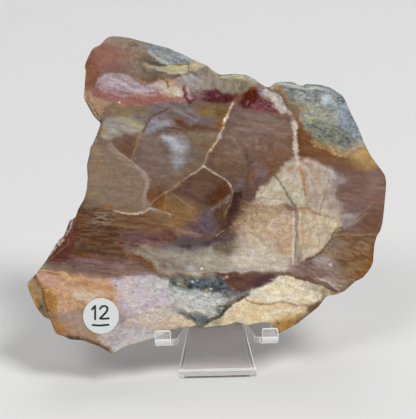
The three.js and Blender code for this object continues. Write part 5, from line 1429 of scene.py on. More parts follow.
        Patch((200, 210, 216), (325, 99.4), (4.4, 3.6), 30, soft=1.2, strength=0.65),
        Patch((52, 56, 62), (338, 98.4), (1.4, 2.4), -10, soft=0.8, strength=0.75),
        Patch((64, 68, 74), (343.6, 101), (1.2, 2.6), soft=0.8, strength=0.7),
        Patch((74, 80, 82), (340, 104), (2.6, 1), 10, soft=0.8, strength=0.6),
        Zone((182, 188, 176), (130, 138, 140), (306, 112, 318, 111, 330, 112, 340, 116, 342, 124, 330,
            124, 316, 121, 306, 119), 3, size=1.4, stretch=2, angle=4, contrast=1.4, strength=0.55,
            wobble=1.5),
        Zone((160, 158, 112), (84, 90, 90), (301, 126, 312, 124, 326, 126, 340, 128, 350, 134, 352, 146,
            342, 151, 328, 147, 316, 143, 312, 136, 302, 131), 3, size=2.2, stretch=2.2, angle=-22,
            contrast=1.3, strength=0.65, wobble=1.6),
        Vein((80, 88, 88), (302, 126.6, 308, 125, 315, 125.6, 321, 127.6), 2.6, soft=1.3, strength=0.6,
            beads=0.5),
        Vein((70, 76, 80), (330, 147, 336, 143, 343, 141, 350, 142), 1.5, soft=0.9, strength=0.7,
            beads=0.5),
        Zone((126, 80, 40), (84, 50, 26), (298, 128, 304, 130, 311, 134, 313, 141, 322, 146, 326, 151,
            312, 150, 302, 150, 298, 142), 3, size=2, stretch=2.4, angle=-36, strength=0.6),
        Vein((200, 168, 104), (310.6, 141.4, 316, 144, 322, 145.6, 329, 148.4, 336, 152), 1.7, soft=1.1,
            strength=0.7, beads=0.7),
    )),
    Region("Left middle, pale cloud, tan glow and rose lens", Grain.FIBROUS, (
        Zone((158, 152, 148), (130, 120, 112), (103, 117, 116, 115, 130, 116, 142, 119, 140, 130, 130,
            137, 118, 141, 106, 140, 101, 134), 5, size=2.4, stretch=3, angle=-24, strength=0.6,
            wobble=1.8),
        Patch((186, 184, 180), (112, 130), (8, 5), -20, soft=1.5, strength=0.55),
        Vein((190, 174, 104), (119, 118, 127, 119.6, 134, 123, 139, 127), 3, soft=2.2, strength=0.6,
            beads=0.6),
        Patch((176, 132, 58), (103.6, 131), (3, 5), -14, soft=1, strength=0.8),
        Zone((128, 98, 80), (110, 82, 66), (112, 138, 124, 136, 138, 135, 137, 146, 133, 158, 124, 152,
            115, 146), 4.5, size=2.4, stretch=3, angle=-30, strength=0.65, wobble=1.6),
        Vein((160, 128, 76), (143, 134.6, 138.6, 140, 136, 147, 134, 153), 2.4, soft=1.2, strength=0.6,
            beads=0.6),
        Zone((144, 126, 118), (124, 104, 96), (138, 137, 150, 134, 160, 138, 164, 148, 166, 160, 172,
            172, 166, 184, 154, 188, 149, 178, 142, 168, 134, 160, 137, 148), 5, size=4, stretch=3,
            angle=-6, strength=0.65, wobble=1.6),
        Zone((140, 120, 100), (118, 96, 80), (166, 166, 180, 168, 188, 160, 196, 150, 206, 150, 204,
            164, 192, 172, 178, 182, 166, 188), 4.5, stretch=4, angle=-8, strength=0.55, wobble=1.5),
        Zone((154, 134, 110), (126, 106, 92), (89, 146, 98, 142, 110, 143, 118, 152, 130, 161, 136, 168,
            144, 174, 146, 183, 144, 194, 146, 203, 136, 208, 120, 208, 106, 205, 92, 200, 87, 184, 86,
            164), 4, size=1.5, stretch=6, angle=-3, contrast=0.6, strength=0.62, wobble=1.2),
        Vein((178, 164, 152), (111, 144, 118, 152, 128, 158.6, 135, 164, 139, 170, 145.6, 174.6, 148.6,
            181, 146.6, 187, 144.4, 193, 146, 199, 149, 203), 1.5, soft=1.1, strength=0.8),
        Zone((126, 98, 78), (110, 82, 62), (148, 176, 160, 184, 170, 184, 164, 192, 156, 200, 150, 203,
            146, 194, 149, 186), 4, size=2.4, stretch=2, angle=-40, strength=0.65, wobble=1.5),
        Zone((118, 94, 84), (98, 76, 66), (172, 192, 186, 182, 200, 172, 212, 176, 212, 200, 208, 216,
            190, 214, 174, 206, 166, 198), 5, stretch=3, angle=-20, strength=0.5, wobble=1.6),
    )),
    Region("Rose-brown middle, light layers", Grain.FIBROUS, (
        Zone((150, 128, 116), (124, 100, 88), (236, 118, 252, 120, 272, 121, 289, 126, 290, 140, 289,
            154, 276, 160, 262, 154, 248, 150, 236, 158, 226, 160, 218, 150, 224, 136, 232, 126), 5,
            size=3.4, stretch=4, angle=-8, strength=0.66, wobble=1.6),
        Zone((152, 134, 130), (124, 94, 74), (246, 134, 258, 132, 270, 136, 280, 142, 278, 152, 266,
            156, 254, 152, 246, 146), 5, stretch=1.6, angle=50, strength=0.6, wobble=1.6),
        Zone((136, 110, 90), (112, 86, 70), (206, 156, 216, 150, 228, 154, 240, 158, 246, 172, 244, 184,
            234, 182, 222, 174, 210, 166), 4.5, stretch=3, angle=-16, strength=0.55, wobble=1.6),
        Zone((130, 98, 84), (106, 72, 56), (248, 158, 262, 156, 276, 160, 284, 160, 278, 170, 268, 178,
            258, 188, 248, 190, 244, 176), 5, stretch=2, angle=40, strength=0.55, wobble=1.6),
        Patch((158, 150, 160), (264, 172), (6, 6), 40, soft=1.5, strength=0.5),
    )),
    Region("Orange seam and gold corner of the upper right", Grain.FIBROUS, (
        Zone((142, 98, 60), (106, 70, 44), (298, 124, 306, 132, 316, 142, 328, 150, 342, 156, 356, 162,
            348, 169, 332, 166, 316, 161, 304, 158, 298, 146), 4.5, size=2.4, stretch=4, angle=-24,
            strength=0.65, wobble=1.5),
        Patch((200, 166, 104), (362, 159), (14, 6.5), -36, soft=1.6, strength=0.6),
        Patch((190, 158, 96), (342, 152), (10, 4), -26, soft=1.6, strength=0.5),
        Zone((142, 114, 104), (116, 86, 76), (318, 163, 334, 168, 350, 170, 366, 168, 378, 172, 385,
            180, 384, 196, 380, 210, 366, 208, 352, 212, 342, 208, 338, 194, 340, 182, 330, 172), 5,
            size=1.6, stretch=9, angle=-7, contrast=0.6, strength=0.62, wobble=1.5),
    )),
    Region("Lower right of the polished face", Grain.FIBROUS, (
        Zone((172, 160, 152), (156, 142, 136), (224, 267.4, 254, 267.8, 280, 268.2, 284, 271.6, 256,
            271.6, 226, 272.2), 0.9, size=2, stretch=4, strength=0.7, wobble=0.2),
        Vein((92, 66, 62), (200, 273.4, 226, 272.8, 250, 272.4, 270, 271.9, 284, 272.2), 1, soft=0.7,
            strength=0.65),
        Vein((84, 66, 58), (334.4, 229, 331.4, 238, 326.6, 245.4, 320, 252, 313, 257.6, 306, 261), 1.6,
            soft=0.7, strength=0.85, beads=0.4),
        Vein((120, 104, 96), (306, 261, 298, 263, 291, 266, 284, 271.4), soft=0.8, strength=0.6),
        Zone((164, 142, 132), (132, 106, 98), (292, 262, 306, 263, 320, 256, 332, 246, 340, 258, 346,
            272, 340, 286, 330, 287, 316, 280, 300, 274, 286, 271), 4, size=2, stretch=4, angle=-20,
            strength=0.62, wobble=1.4),
        Vein((206, 196, 190), (320, 279.6, 328, 282, 335, 286, 340, 291), 1.3, soft=0.9, strength=0.7,
            beads=0.5),
        Vein((190, 176, 166), (316, 277, 326, 279.6, 336, 282.6), 1, soft=0.8, strength=0.6, beads=0.5),
        Zone((158, 128, 96), (120, 82, 50), (340, 238, 352, 236, 366, 238, 378, 240, 378, 254, 374, 270,
            364, 280, 352, 284, 344, 270, 338, 254), 4, size=2.4, stretch=3, angle=-24, contrast=1.1,
            strength=0.66, wobble=1.5),
        Patch((168, 156, 150), (334, 250), (7, 9), -40, soft=1.6, strength=0.5),
        Vein((190, 150, 84), (323.4, 246.6, 327, 250.4, 330, 253.4, 333.6, 258), 2.2, soft=1,
            strength=0.65, beads=0.9),
        Zone((146, 92, 40), (124, 74, 34), (372, 244, 378, 240, 377, 254, 372, 268, 364, 276, 360, 278,
            366, 266, 371, 254), 2.4, size=2, stretch=3, angle=70, strength=0.6),
    )),
    Region("Cream block of the lower right, whiter and warmer", Grain.GRANULAR, (
        Zone((228, 220, 202), (190, 172, 142), (246, 300, 262, 288, 277, 276.6, 290, 278, 304, 283, 318,
            289, 325, 292.6, 320, 300, 309, 305, 296, 304.6, 280, 302, 262, 303), 2.4, size=1.6, stretch=2,
            angle=-16, contrast=1.2, strength=0.55),
        Zone((230, 220, 196), (198, 178, 142), (238, 306, 252, 304, 270, 306, 290, 306, 302, 308, 296,
            314, 284, 319, 266, 320, 246, 322, 230, 325, 222, 322), 2.4, size=1.6, stretch=2.6, angle=10,
            contrast=1.2, strength=0.5),
        Patch((222, 206, 172), (320, 288.6), (5, 3.4), -30, soft=1.4, strength=0.55),
        Vein((164, 108, 56), (245, 300, 251, 302.4, 258, 303.8, 266, 304.4, 274, 303.2, 283, 302.8, 292,
            304.6, 300, 306, 309, 306), 1.3, soft=0.7, strength=0.8, beads=0.6),
        Zone((153, 106, 48), (111, 66, 18), (309, 306.4, 318, 300.4, 326.4, 297.4, 322, 302.6, 314,
            308.4, 306, 315, 298, 321.4, 291, 325, 299, 314), 1.6, size=1.8, stretch=2, angle=36,
            contrast=1.2, strength=0.7),
        Patch((40, 36, 34), (303, 317.2), (2.8, 1.3), 38, soft=0.8, strength=0.85),
        Patch((54, 46, 40), (297.6, 321.4), (2.2, 1), 32, soft=0.8, strength=0.75),
    )),
    Region("Left streaked ground, hatched", Grain.FIBROUS, (
        Zone((132, 98, 72), (80, 46, 26), (80, 209, 100, 206, 130, 207, 150, 212, 160, 221, 150, 232,
            120, 236, 100, 240, 84, 247, 72, 251, 69, 240, 74, 225), 4, size=1.1, stretch=8, angle=-3,
            strength=0.66, wobble=1.4),
        Zone((158, 142, 122), (90, 56, 36), (91, 209, 106, 208, 115, 214, 112, 224, 100, 229, 89, 222),
            4, size=0.9, stretch=9, angle=-3, contrast=1.6, strength=0.6, wobble=1.4),
        Zone((148, 116, 84), (116, 82, 58), (116, 217, 134, 215, 160, 213, 176, 208, 190, 210, 196, 222,
            186, 230, 160, 232, 136, 232, 118, 230), 4.5, size=2, stretch=6, angle=-4, strength=0.6,
            wobble=1.5),
        Zone((132, 102, 100), (98, 58, 52), (122, 234, 136, 231, 152, 231, 166, 233, 172, 240, 164, 247,
            148, 248, 132, 246), 4, size=2, stretch=4, angle=-6, strength=0.6, wobble=1.5),
        Vein((150, 84, 60), (150, 236, 157, 234, 165, 235.6, 172, 239), 2.4, soft=1.6, strength=0.55,
            beads=0.8),
        Zone((156, 144, 128), (112, 88, 72), (130, 247, 148, 245, 160, 250, 172, 260, 182, 270, 166,
            272, 154, 263, 140, 256), 5, size=2.4, stretch=3, angle=-30, strength=0.55, wobble=1.7),
        Vein((146, 92, 54), (128, 254.6, 138, 260, 148, 265.4, 158, 271), 4.2, soft=2.6, strength=0.55,
            beads=0.6),
        Zone((150, 122, 114), (120, 90, 82), (46, 263, 60, 259, 90, 257, 120, 259, 140, 266, 156, 275,
            130, 277, 100, 275, 70, 272, 52, 269), 4, size=1.2, stretch=8, angle=-5, contrast=1.2,
            strength=0.6, wobble=1.3),
        Zone((124, 60, 40), (86, 34, 22), (72, 220, 78, 226, 74, 240, 66, 254, 58, 262, 50, 262, 58,
            250, 66, 238), 2.4, size=1.6, stretch=3, angle=60, contrast=1.1, strength=0.55),
        # This pale broken line along the chip's edge is a painted highlight.
        Vein((236, 224, 212), (72.4, 219, 70.4, 227, 66.4, 235, 61, 242, 55, 249, 49, 257), 1.3,
            soft=0.8, strength=0.75, beads=0.9),
    )),
    Region("Lower-left block, paler and creamier", Grain.GRANULAR, (
        Zone((212, 178, 146), (188, 146, 110), (58, 280, 74, 278, 94, 279, 112, 282, 120, 288, 116, 296,
            104, 300, 88, 300, 72, 300, 60, 296), 4, size=2, stretch=2.4, angle=-12, contrast=1.2,
            strength=0.5, wobble=1.5),
        Zone((198, 174, 158), (176, 142, 120), (58, 310, 72, 308, 84, 312, 88, 326, 84, 336, 72, 334,
            62, 328, 56, 320), 4.5, size=2.4, stretch=1.6, angle=-30, strength=0.55, wobble=1.5),
        Zone((210, 200, 204), (184, 164, 170), (112, 281, 124, 277, 150, 278, 163, 284, 166, 296, 152,
            306, 132, 311, 120, 301, 114, 291), 4, size=1.5, stretch=1.8, angle=-10, contrast=1.3,
            strength=0.55, wobble=1.5),
        Zone((224, 216, 206), (188, 166, 156), (128, 318, 142, 314, 158, 310, 172, 312, 184, 322, 174,
            327, 156, 327, 140, 326, 130, 324), 2.6, size=1.3, stretch=1.8, angle=6, contrast=1.4,
            strength=0.6),
        Zone((210, 202, 202), (186, 172, 172), (98, 331, 108, 334, 120, 329, 134, 326, 150, 328, 157,
            333, 140, 340, 127, 346, 118, 350, 106, 346, 98, 338), 3, size=1.6, stretch=2, angle=12,
            contrast=1.2, strength=0.75),
        Vein((62, 44, 32), (34.4, 275, 39, 281, 43, 289, 47, 298, 50, 308, 53, 318), 1.4, soft=0.9,
            strength=0.75, beads=0.8),
        Zone((212, 154, 72), (168, 110, 32), (27, 283, 33.6, 277, 39, 284, 44, 296, 48, 310, 47, 317,
            40, 314, 32, 304, 27, 292), 2, size=2, stretch=2, angle=-60, contrast=1.2, strength=0.55),
        Patch((44, 38, 34), (41, 307.4), (2.2, 2.4), soft=0.8, strength=0.8),
        Patch((50, 42, 36), (28.8, 281.6), (1.4, 1.3), soft=0.8, strength=0.8),
    )),
    Region("Small patches here and there", Grain.FIBROUS, (
        Zone((208, 204, 200), (176, 168, 164), (161, 296, 176, 292, 187, 297, 187, 308, 176, 314, 163,
            312), 3.4, size=1.4, contrast=1.3, strength=0.55, wobble=1.5),
        Zone((212, 214, 210), (172, 176, 172), (184, 291, 204, 292, 207, 305, 200, 314, 186, 308), 3.4,
            size=1.3, contrast=1.4, strength=0.5, wobble=1.5),
        Zone((184, 174, 172), (152, 146, 144), (182, 76, 194, 74, 204, 78, 206, 88, 200, 95, 190, 92,
            184, 86), 3.4, size=1.5, stretch=2, angle=-36, contrast=1.3, strength=0.5, wobble=1.5),
        Patch((178, 152, 124), (97, 149), (9, 6), -30, soft=1.6, strength=0.5),
        Patch((204, 170, 128), (52, 288), (6, 7), -40, soft=1.5, strength=0.5),
        Zone((146, 104, 90), (122, 78, 64), (84, 80, 92, 76, 98, 80, 100, 88, 104, 95, 96, 97, 88, 93),
            3.4, size=2, stretch=2, angle=-60, strength=0.5, wobble=1.4),
        Zone((132, 86, 24), (94, 52, 4), (308, 306, 318, 300, 326, 297, 322, 303, 312, 310, 304, 317,
            298, 321), 1.4, size=1.6, contrast=1.1, strength=0.5),
        Zone((124, 88, 66), (108, 74, 54), (250, 138, 264, 134, 280, 138, 288, 150, 284, 166, 274, 174,
            262, 166, 254, 154), 6, stretch=3, angle=-12, strength=0.3, wobble=1.6),
    )),
    Region("Dark band and red-brown spot beside the loop", Grain.FIBROUS, (
        Zone((86, 60, 48), (64, 40, 34), (226, 197, 235, 191, 244, 193, 246, 202, 242, 213, 234, 219,
            226, 216), 3.4, size=2, stretch=2.4, angle=75, strength=0.55, wobble=1.3),
        Zone((90, 66, 50), (70, 44, 32), (222, 217, 234, 214, 238, 222, 240, 233, 235, 239, 224, 235),
            4, size=2, stretch=2, angle=40, strength=0.45, wobble=1.5),
        Patch((114, 62, 28), (220, 197), (12, 9), 20, soft=1.5, strength=0.62),
        Vein((150, 134, 120), (212, 210, 218, 206.6, 224, 202, 230, 196), 4.4, soft=2, strength=0.6,
            beads=0.8),
        Zone((112, 88, 64), (94, 70, 50), (216, 212, 224, 208, 228, 214, 226, 226, 220, 233, 214, 228),
            3.4, size=2, stretch=2, angle=70, strength=0.55),
        Vein((106, 80, 58), (232, 192, 231.6, 200, 228, 209, 226, 218, 224, 227, 218, 234), soft=0.9,
            strength=0.7, beads=0.5),
        Zone((118, 102, 108), (92, 76, 84), (188, 222, 198, 216, 210, 213, 216, 218, 216, 230, 208, 237,
            196, 236, 186, 230), 4.5, size=2, stretch=2, angle=10, strength=0.5, wobble=1.5),
        Zone((160, 126, 80), (132, 98, 60), (168, 200, 182, 198, 196, 206, 198, 218, 192, 228, 176, 230,
            160, 228, 156, 216, 160, 206), 5, size=2.6, stretch=3, angle=-6, strength=0.55, wobble=1.6),
        Patch((130, 80, 38), (157, 199), (9, 7), -30, soft=1.5, strength=0.55),
        Vein((164, 130, 124), (175, 230.4, 183, 232, 191, 231.4, 199, 234.6), 1.1, soft=0.9,
            strength=0.6, beads=0.8),
        Vein((160, 136, 124), (178, 233.6, 187, 233.6, 196, 237), 0.9, soft=0.8, strength=0.5,
            beads=0.8),
    )),
    Region("Brown and lilac stone above the pale field", Grain.GRANULAR, (
        Zone((142, 102, 66), (116, 80, 56), (262, 156, 276, 153, 290, 155, 294, 161, 284, 168, 274, 174,
            266, 170), 4.5, size=2, stretch=2.4, angle=-10, strength=0.6, wobble=1.6),
        Patch((140, 124, 132), (258, 170), (6, 10), 10, soft=1.6, strength=0.5),
        Patch((118, 108, 128), (241.4, 184), (4, 7), soft=1.5, strength=0.5),
        Vein((88, 60, 48), (246.6, 150, 247.8, 164, 247, 180, 245.6, 194, 241, 208, 232, 222), 1,
            soft=0.9, strength=0.6, beads=0.4),
        Vein((160, 108, 66), (252, 170, 251, 180, 252.4, 190, 252.8, 199), 1, soft=0.8, strength=0.65,
            beads=1),
    )),
    Region("Pale stone on the right, its clouds and cracks", Grain.FIBROUS, (
        Zone((200, 190, 174), (176, 160, 136), (255.6, 198, 259, 188.6, 270, 181.6, 275, 176, 279, 170,
            286, 165.6, 294, 160.6, 299, 166, 302, 178, 304, 190, 304, 200, 298, 206, 290, 203.6, 284, 201,
            270, 202, 258, 202), 2, size=4, stretch=2, angle=40, contrast=1.1, strength=0.8, wobble=0.8),
        Zone((192, 180, 168), (168, 148, 132), (299, 161, 308, 160, 318, 163, 327, 168, 331, 173, 335.6,
            178, 334.6, 186, 334, 193, 339, 201, 343, 211, 340, 217, 328, 217, 316, 214, 306, 208, 304, 196,
            302.6, 180), 2.6, size=4, stretch=1.6, angle=80, strength=0.8, wobble=0.8),
        Zone((200, 186, 164), (176, 154, 130), (244, 221, 246, 212, 248, 204, 262, 204, 276, 206, 288,
            208, 293, 212, 295, 222, 295, 240, 293, 262, 284, 270, 262, 270, 246, 262, 240, 246, 234, 232),
            3.2, stretch=1.6, angle=-30, contrast=1.1, strength=0.75, wobble=1.2),
        Zone((202, 194, 182), (184, 170, 154), (240, 245, 250, 240, 262, 244, 272, 254, 286, 261, 290,
            268, 270, 270.6, 246, 270.6, 230, 269), 4, size=3.4, stretch=1.8, angle=-30, strength=0.7),
        Zone((206, 194, 170), (182, 164, 136), (299, 214, 312, 214, 328, 217, 341, 218, 340, 227, 333.6,
            234, 327.6, 243, 320.6, 251.6, 313, 256.6, 303.6, 260, 300.6, 250, 299.4, 232), 1.8, size=3.6,
            stretch=1.6, angle=60, contrast=1.1, strength=0.8, wobble=0.8),
        Zone((164, 152, 138), (140, 122, 108), (295.4, 211, 299, 213, 299.8, 232, 301, 250, 303.4, 261,
            296, 264, 293.4, 263, 295, 244, 296.2, 228), 1.2, size=2, stretch=3, angle=86, strength=0.8,
            wobble=0.4),
        Zone((188, 170, 140), (134, 98, 62), (240, 205, 262, 203, 284, 206, 283, 214, 268, 226, 252,
            227, 242, 218), 4, size=0.9, stretch=1.4, angle=-20, contrast=1.6, strength=0.5, wobble=1.4),
        Vein((146, 100, 62), (242, 206, 252, 205, 264, 205.6, 276, 206.4, 286, 207), 2.6, soft=1.6,
            strength=0.6, beads=1),
        Zone((196, 166, 138), (172, 140, 110), (268, 222, 276, 215, 286, 214, 292, 220, 293, 236, 290,
            250, 283, 256, 275, 250, 268, 242, 264, 232), 4, size=2, stretch=1.6, angle=-50, strength=0.45,
            wobble=1.3),
        Patch((156, 114, 76), (281, 248.6), (9, 3.6), -20, soft=1.4, strength=0.55),
        Patch((158, 118, 74), (276, 238), (3.4, 3), 30, soft=1.4, strength=0.45),
        Vein((224, 206, 188), (267, 227, 272.6, 219.4, 280, 214.8, 288, 215.6, 293.6, 221), 1.1,
            soft=0.8, strength=0.6, beads=0.5),
        Vein((226, 212, 194), (293.8, 219, 295.2, 228, 294.8, 241, 292.8, 264), soft=0.7, strength=0.7,
            beads=0.4),
        Vein((232, 218, 198), (246, 232, 256, 240, 266, 250, 276, 260), 1, soft=0.8, strength=0.55,
            beads=0.6),
        Vein((110, 82, 64), (296, 211, 296.4, 220, 296, 232, 295.6, 246, 296, 256), 1, soft=0.7,
            strength=0.65, beads=0.4),
        Vein((80, 76, 70), (275, 175.7, 280.6, 183, 286, 193, 291, 200.4, 295, 208), 1.7, soft=0.8,
            strength=0.85, beads=0.3),
        Patch((112, 88, 74), (289.6, 207), (4, 3.2), -30, soft=1.3, strength=0.7),
        Vein((156, 88, 32), (297.7, 156, 300, 167, 303.4, 177, 304, 187, 305.4, 198), 1.8, soft=0.8,
            strength=0.85, beads=0.7),
        Patch((182, 122, 58), (301.6, 173), (3, 5), -20, soft=1.4, strength=0.55),
        Patch((184, 128, 68), (309, 167), (2.6, 1.8), 20, soft=1.3, strength=0.5),
        Patch((178, 120, 70), (314.6, 174), (2.6, 4), -30, soft=1.4, strength=0.5),
        Patch((184, 132, 80), (317, 183), (2, 4), -30, soft=1.4, strength=0.45),
        Vein((142, 114, 96), (330, 173, 327.8, 181.6, 325, 193, 321, 206, 319.6, 216), 1.4, soft=0.8,
            strength=0.65, beads=0.6),
        Vein((146, 128, 108), (316.6, 217, 317.6, 230, 319, 244, 318.6, 252), 0.9, soft=0.7,
            strength=0.6, beads=0.4),
        Vein((150, 84, 56), (258, 198.8, 266, 198, 274, 198.4, 284, 198.6), 1, soft=0.7, strength=0.65,
            beads=1),
        Vein((174, 118, 58), (285, 207, 296, 208.4, 307, 208.2, 314, 211.6, 321, 215.4, 329, 216.6),
            1.9, soft=0.9, strength=0.75, beads=0.7),
        Patch((184, 148, 98), (303.6, 234), (4.4, 7), soft=1.4, strength=0.5),
        Patch((186, 150, 96), (305, 253), (5, 1.8), -10, soft=1.4, strength=0.5),
        Vein((206, 198, 198), (305, 161, 314, 162.4, 323, 166.4, 330, 171.6, 335.6, 177.4), 3.4,
            soft=2.6, strength=0.55),
        Patch((182, 172, 178), (340.6, 182), (5, 5), 20, soft=1.6, strength=0.5),
        Patch((190, 180, 178), (346.4, 216), (5, 3.6), 20, soft=1.5, strength=0.45),
        Vein((72, 52, 46), (341, 227.6, 337.4, 229, 333.6, 234, 331, 239, 327.6, 244, 320.6, 252.6,
            313.4, 257.4, 303, 262), 1.9, soft=0.8, strength=0.85, beads=0.5),
    )),
    Region("Lower left block and its foot", Grain.FIBROUS, (
        Zone((212, 182, 136), (178, 146, 102), (29, 278, 35, 279, 39, 286, 42, 294, 41, 301, 36, 301,
            31, 294, 27, 286), 3.4, size=2.6, stretch=1.6, angle=-60, strength=0.7),
        Zone((152, 130, 98), (116, 94, 62), (37, 301, 43, 300, 47, 309, 48, 317, 42, 314, 38, 308), 2.4,
            size=1.6, strength=0.7, wobble=0.8),
        Patch((42, 36, 32), (41.8, 306.6), (2.1, 2.1), soft=0.9, strength=0.85),
        Vein((56, 38, 32), (33.6, 273.4, 35, 279, 38.4, 284.4, 41.4, 289, 43.4, 296, 45.4, 303, 48,
            311), 1.7, soft=0.9, strength=0.85, beads=0.6),
        Zone((206, 178, 150), (182, 140, 106), (71, 279, 78, 277.6, 92, 281, 108, 283, 116, 288, 119,
            295, 116, 301, 108, 299, 98, 300, 84, 301, 74, 297, 69, 288), 3, size=2.6, stretch=2.4,
            angle=-14, strength=0.65, wobble=1.2),
        Zone((192, 138, 92), (170, 116, 72), (75, 283, 84, 282, 98, 284, 110, 287, 112, 291, 102, 292,
            90, 289, 78, 288), 3, size=1.6, stretch=3, angle=-14, strength=0.6),
        Zone((218, 208, 188), (196, 176, 150), (71, 288, 76, 290, 86, 292, 98, 293, 96, 298, 84, 300,
            77, 298, 72, 294), 2.4, size=2, stretch=2.4, angle=-20, strength=0.7),
        Zone((206, 172, 140), (180, 136, 106), (50, 289, 58, 287, 66, 286, 70, 290, 72, 298, 76, 305,
            72, 311, 62, 312, 56, 309, 57, 298), 2.6, size=1.5, stretch=1.4, contrast=1.3, strength=0.7,
            wobble=1.2),
        Vein((220, 190, 140), (45, 290.4, 50, 289.6, 56, 288, 61, 285.4, 66, 281, 71, 277), 1.1,
            soft=0.8, strength=0.75, beads=0.6),
        Vein((204, 150, 150), (58, 290, 61, 288.6, 64, 288.2), 1.6, soft=0.9, strength=0.6, beads=1),
        Zone((184, 144, 74), (146, 108, 58), (45, 293, 50, 293, 56, 295, 57, 301, 55, 309, 52, 310, 48,
            304), 1.8, size=1.3, contrast=1.4, strength=0.75),
        Vein((212, 170, 104), (45.6, 292, 50, 294, 55, 295, 58, 293), soft=0.8, strength=0.6,
            beads=0.9),
        Zone((206, 166, 150), (184, 140, 124), (37, 273.4, 46, 273, 58, 275, 63, 279, 60, 284, 52, 286,
            42, 283.6, 38, 278), 2, size=1.6, stretch=2, angle=-10, strength=0.6, wobble=0.8),
        Vein((150, 84, 36), (38, 271.4, 45, 271.6, 53, 273.2, 60, 275), 1.5, soft=0.9, strength=0.7,
            beads=0.6),
        Vein((214, 180, 128), (40, 270, 50, 270.8, 60, 272.8, 68, 274.4, 70, 277), 1.3, soft=0.9,
            strength=0.65, beads=0.4),
        Zone((160, 144, 136), (138, 116, 102), (60, 313, 72, 312, 82, 314, 88, 325, 94, 333, 84, 336,
            70, 333, 62, 325), 4.5, stretch=1.6, angle=-30, strength=0.65, wobble=1.4),
        Zone((184, 132, 72), (154, 108, 58), (51, 315, 57, 313, 62, 322, 68, 332, 66, 336, 58, 332, 53,
            324), 3, size=2.4, stretch=2, angle=-60, strength=0.6),
        # This dark line along the bottom break is the rind's brown, deepened by painted shade.
        Vein((84, 56, 36), (66, 336.4, 74, 338, 84, 339, 92, 342, 101, 346, 107, 350), 1.8, soft=0.9,
            strength=0.75, beads=0.7),
        Vein((176, 136, 88), (80, 337.4, 88, 339, 96, 342, 104, 346, 110, 348.6), 1.5, soft=0.8,
            strength=0.6, beads=0.6),
        Zone((184, 182, 178), (158, 148, 140), (100, 327, 116, 324, 134, 326, 148, 330, 146, 338, 132,
            342, 120, 346, 110, 344, 102, 338), 5, size=3.4, stretch=2, angle=14, strength=0.55,
            wobble=1.5),
        Zone((212, 208, 208), (186, 172, 172), (117, 283, 126, 280, 140, 281, 150, 280, 150, 294, 140,
            299, 128, 297, 119, 293), 3, size=1.8, stretch=1.5, angle=-30, contrast=1.2, strength=0.6,
            wobble=1.3),
        Patch((60, 34, 34), (116, 285.8), (1, 1.3), soft=0.8, strength=0.8),
        Patch((66, 40, 52), (133.8, 291.8), (1, 0.8), soft=0.8, strength=0.7),
        Patch((90, 56, 70), (136, 285.6), (0.8, 0.8), soft=0.8, strength=0.6),
        Patch((96, 60, 76), (143.6, 288.6), (0.9, 0.8), soft=0.8, strength=0.6),
        Zone((212, 206, 208), (184, 168, 176), (120, 299, 134, 297, 150, 298, 166, 298, 168, 308, 156,
            314, 140, 316, 124, 314), 5, size=1.8, stretch=1.6, angle=-10, contrast=1.2, strength=0.6,
            wobble=1.5),
    )),
    Region("White and slate stone, upper layers", Grain.GRANULAR, (
        Zone((210, 208, 202), (156, 156, 152), (180, 296, 190, 291, 206, 291, 222, 293, 232, 296, 228,
            302, 222, 307, 214, 312, 206, 316, 196, 312, 188, 306, 182, 302), 3, size=1.3, stretch=1.8,
            angle=-25, contrast=1.3, strength=0.65, wobble=1.5),
        Zone((206, 204, 200), (168, 162, 158), (142, 280, 156, 278, 166, 281, 172, 288, 180, 296, 184,
            304, 172, 302, 158, 296, 144, 292), 4, size=1.8, stretch=1.6, angle=-20, strength=0.6,
            wobble=1.4),
        Zone((228, 220, 200), (206, 188, 156), (262, 290, 270, 284, 277, 277, 287, 280, 300, 284, 312,
            289, 318, 295, 312, 302, 300, 303, 284, 302, 270, 301, 254, 299), 3, stretch=2.4, angle=-14,
            contrast=1.1, strength=0.65, wobble=1.3),
        Zone((224, 206, 172), (202, 176, 134), (236, 304, 250, 301, 268, 303, 284, 305, 302, 306, 306,
            312, 296, 320, 280, 322, 262, 322, 240, 324, 222, 325), 3, stretch=2.6, angle=-14, contrast=1.1,
            strength=0.6, wobble=1.3),
        Vein((232, 230, 224), (262, 318, 268, 313, 278, 310.6, 288, 311, 298, 308), 2, soft=1.6,
            strength=0.5, beads=0.6),
        Vein((146, 88, 46), (244, 299, 252, 302.4, 262, 304, 274, 303, 284, 302, 296, 304.6, 308,
            305.4), soft=0.8, strength=0.7, beads=0.5),
    )),
    Region("Soft transitions round the pale field", Grain.GRANULAR, (
        Zone((126, 100, 80), (104, 76, 56), (234, 213, 242, 202, 250, 200, 258, 202, 252, 210, 246, 218,
            243, 228, 236, 232, 230, 224), 5, size=1.2, stretch=1.4, angle=-40, contrast=1.6, strength=0.5,
            wobble=1.6),
        Zone((136, 120, 108), (112, 94, 84), (226, 238, 236, 236, 243, 243, 240, 252, 230, 254, 222,
            247), 5, size=2, stretch=2, strength=0.45, wobble=1.5),
        Zone((182, 158, 130), (152, 122, 92), (258, 214, 262, 208, 284, 206, 290, 209, 284, 213, 272,
            216), 3, size=0.9, contrast=1.8, strength=0.45, wobble=1.2),
        Zone((150, 134, 126), (132, 114, 104), (334, 196, 344, 198, 350, 208, 350, 218, 342, 222, 337,
            212), 5, size=2.6, stretch=2, angle=60, strength=0.45, wobble=1.6),
        Patch((150, 126, 116), (373, 186), (8, 9), 10, soft=1.7, strength=0.4),
        Patch((172, 158, 150), (342, 246), (8, 5), -30, soft=1.7, strength=0.25),
        Zone((136, 120, 112), (116, 102, 96), (206, 318, 216, 318, 224, 322, 222, 327, 212, 327), 3,
            size=1.4, strength=0.5, wobble=1.2),
        Zone((188, 172, 160), (168, 150, 136), (142, 316, 158, 314, 172, 318, 180, 324, 172, 330, 156,
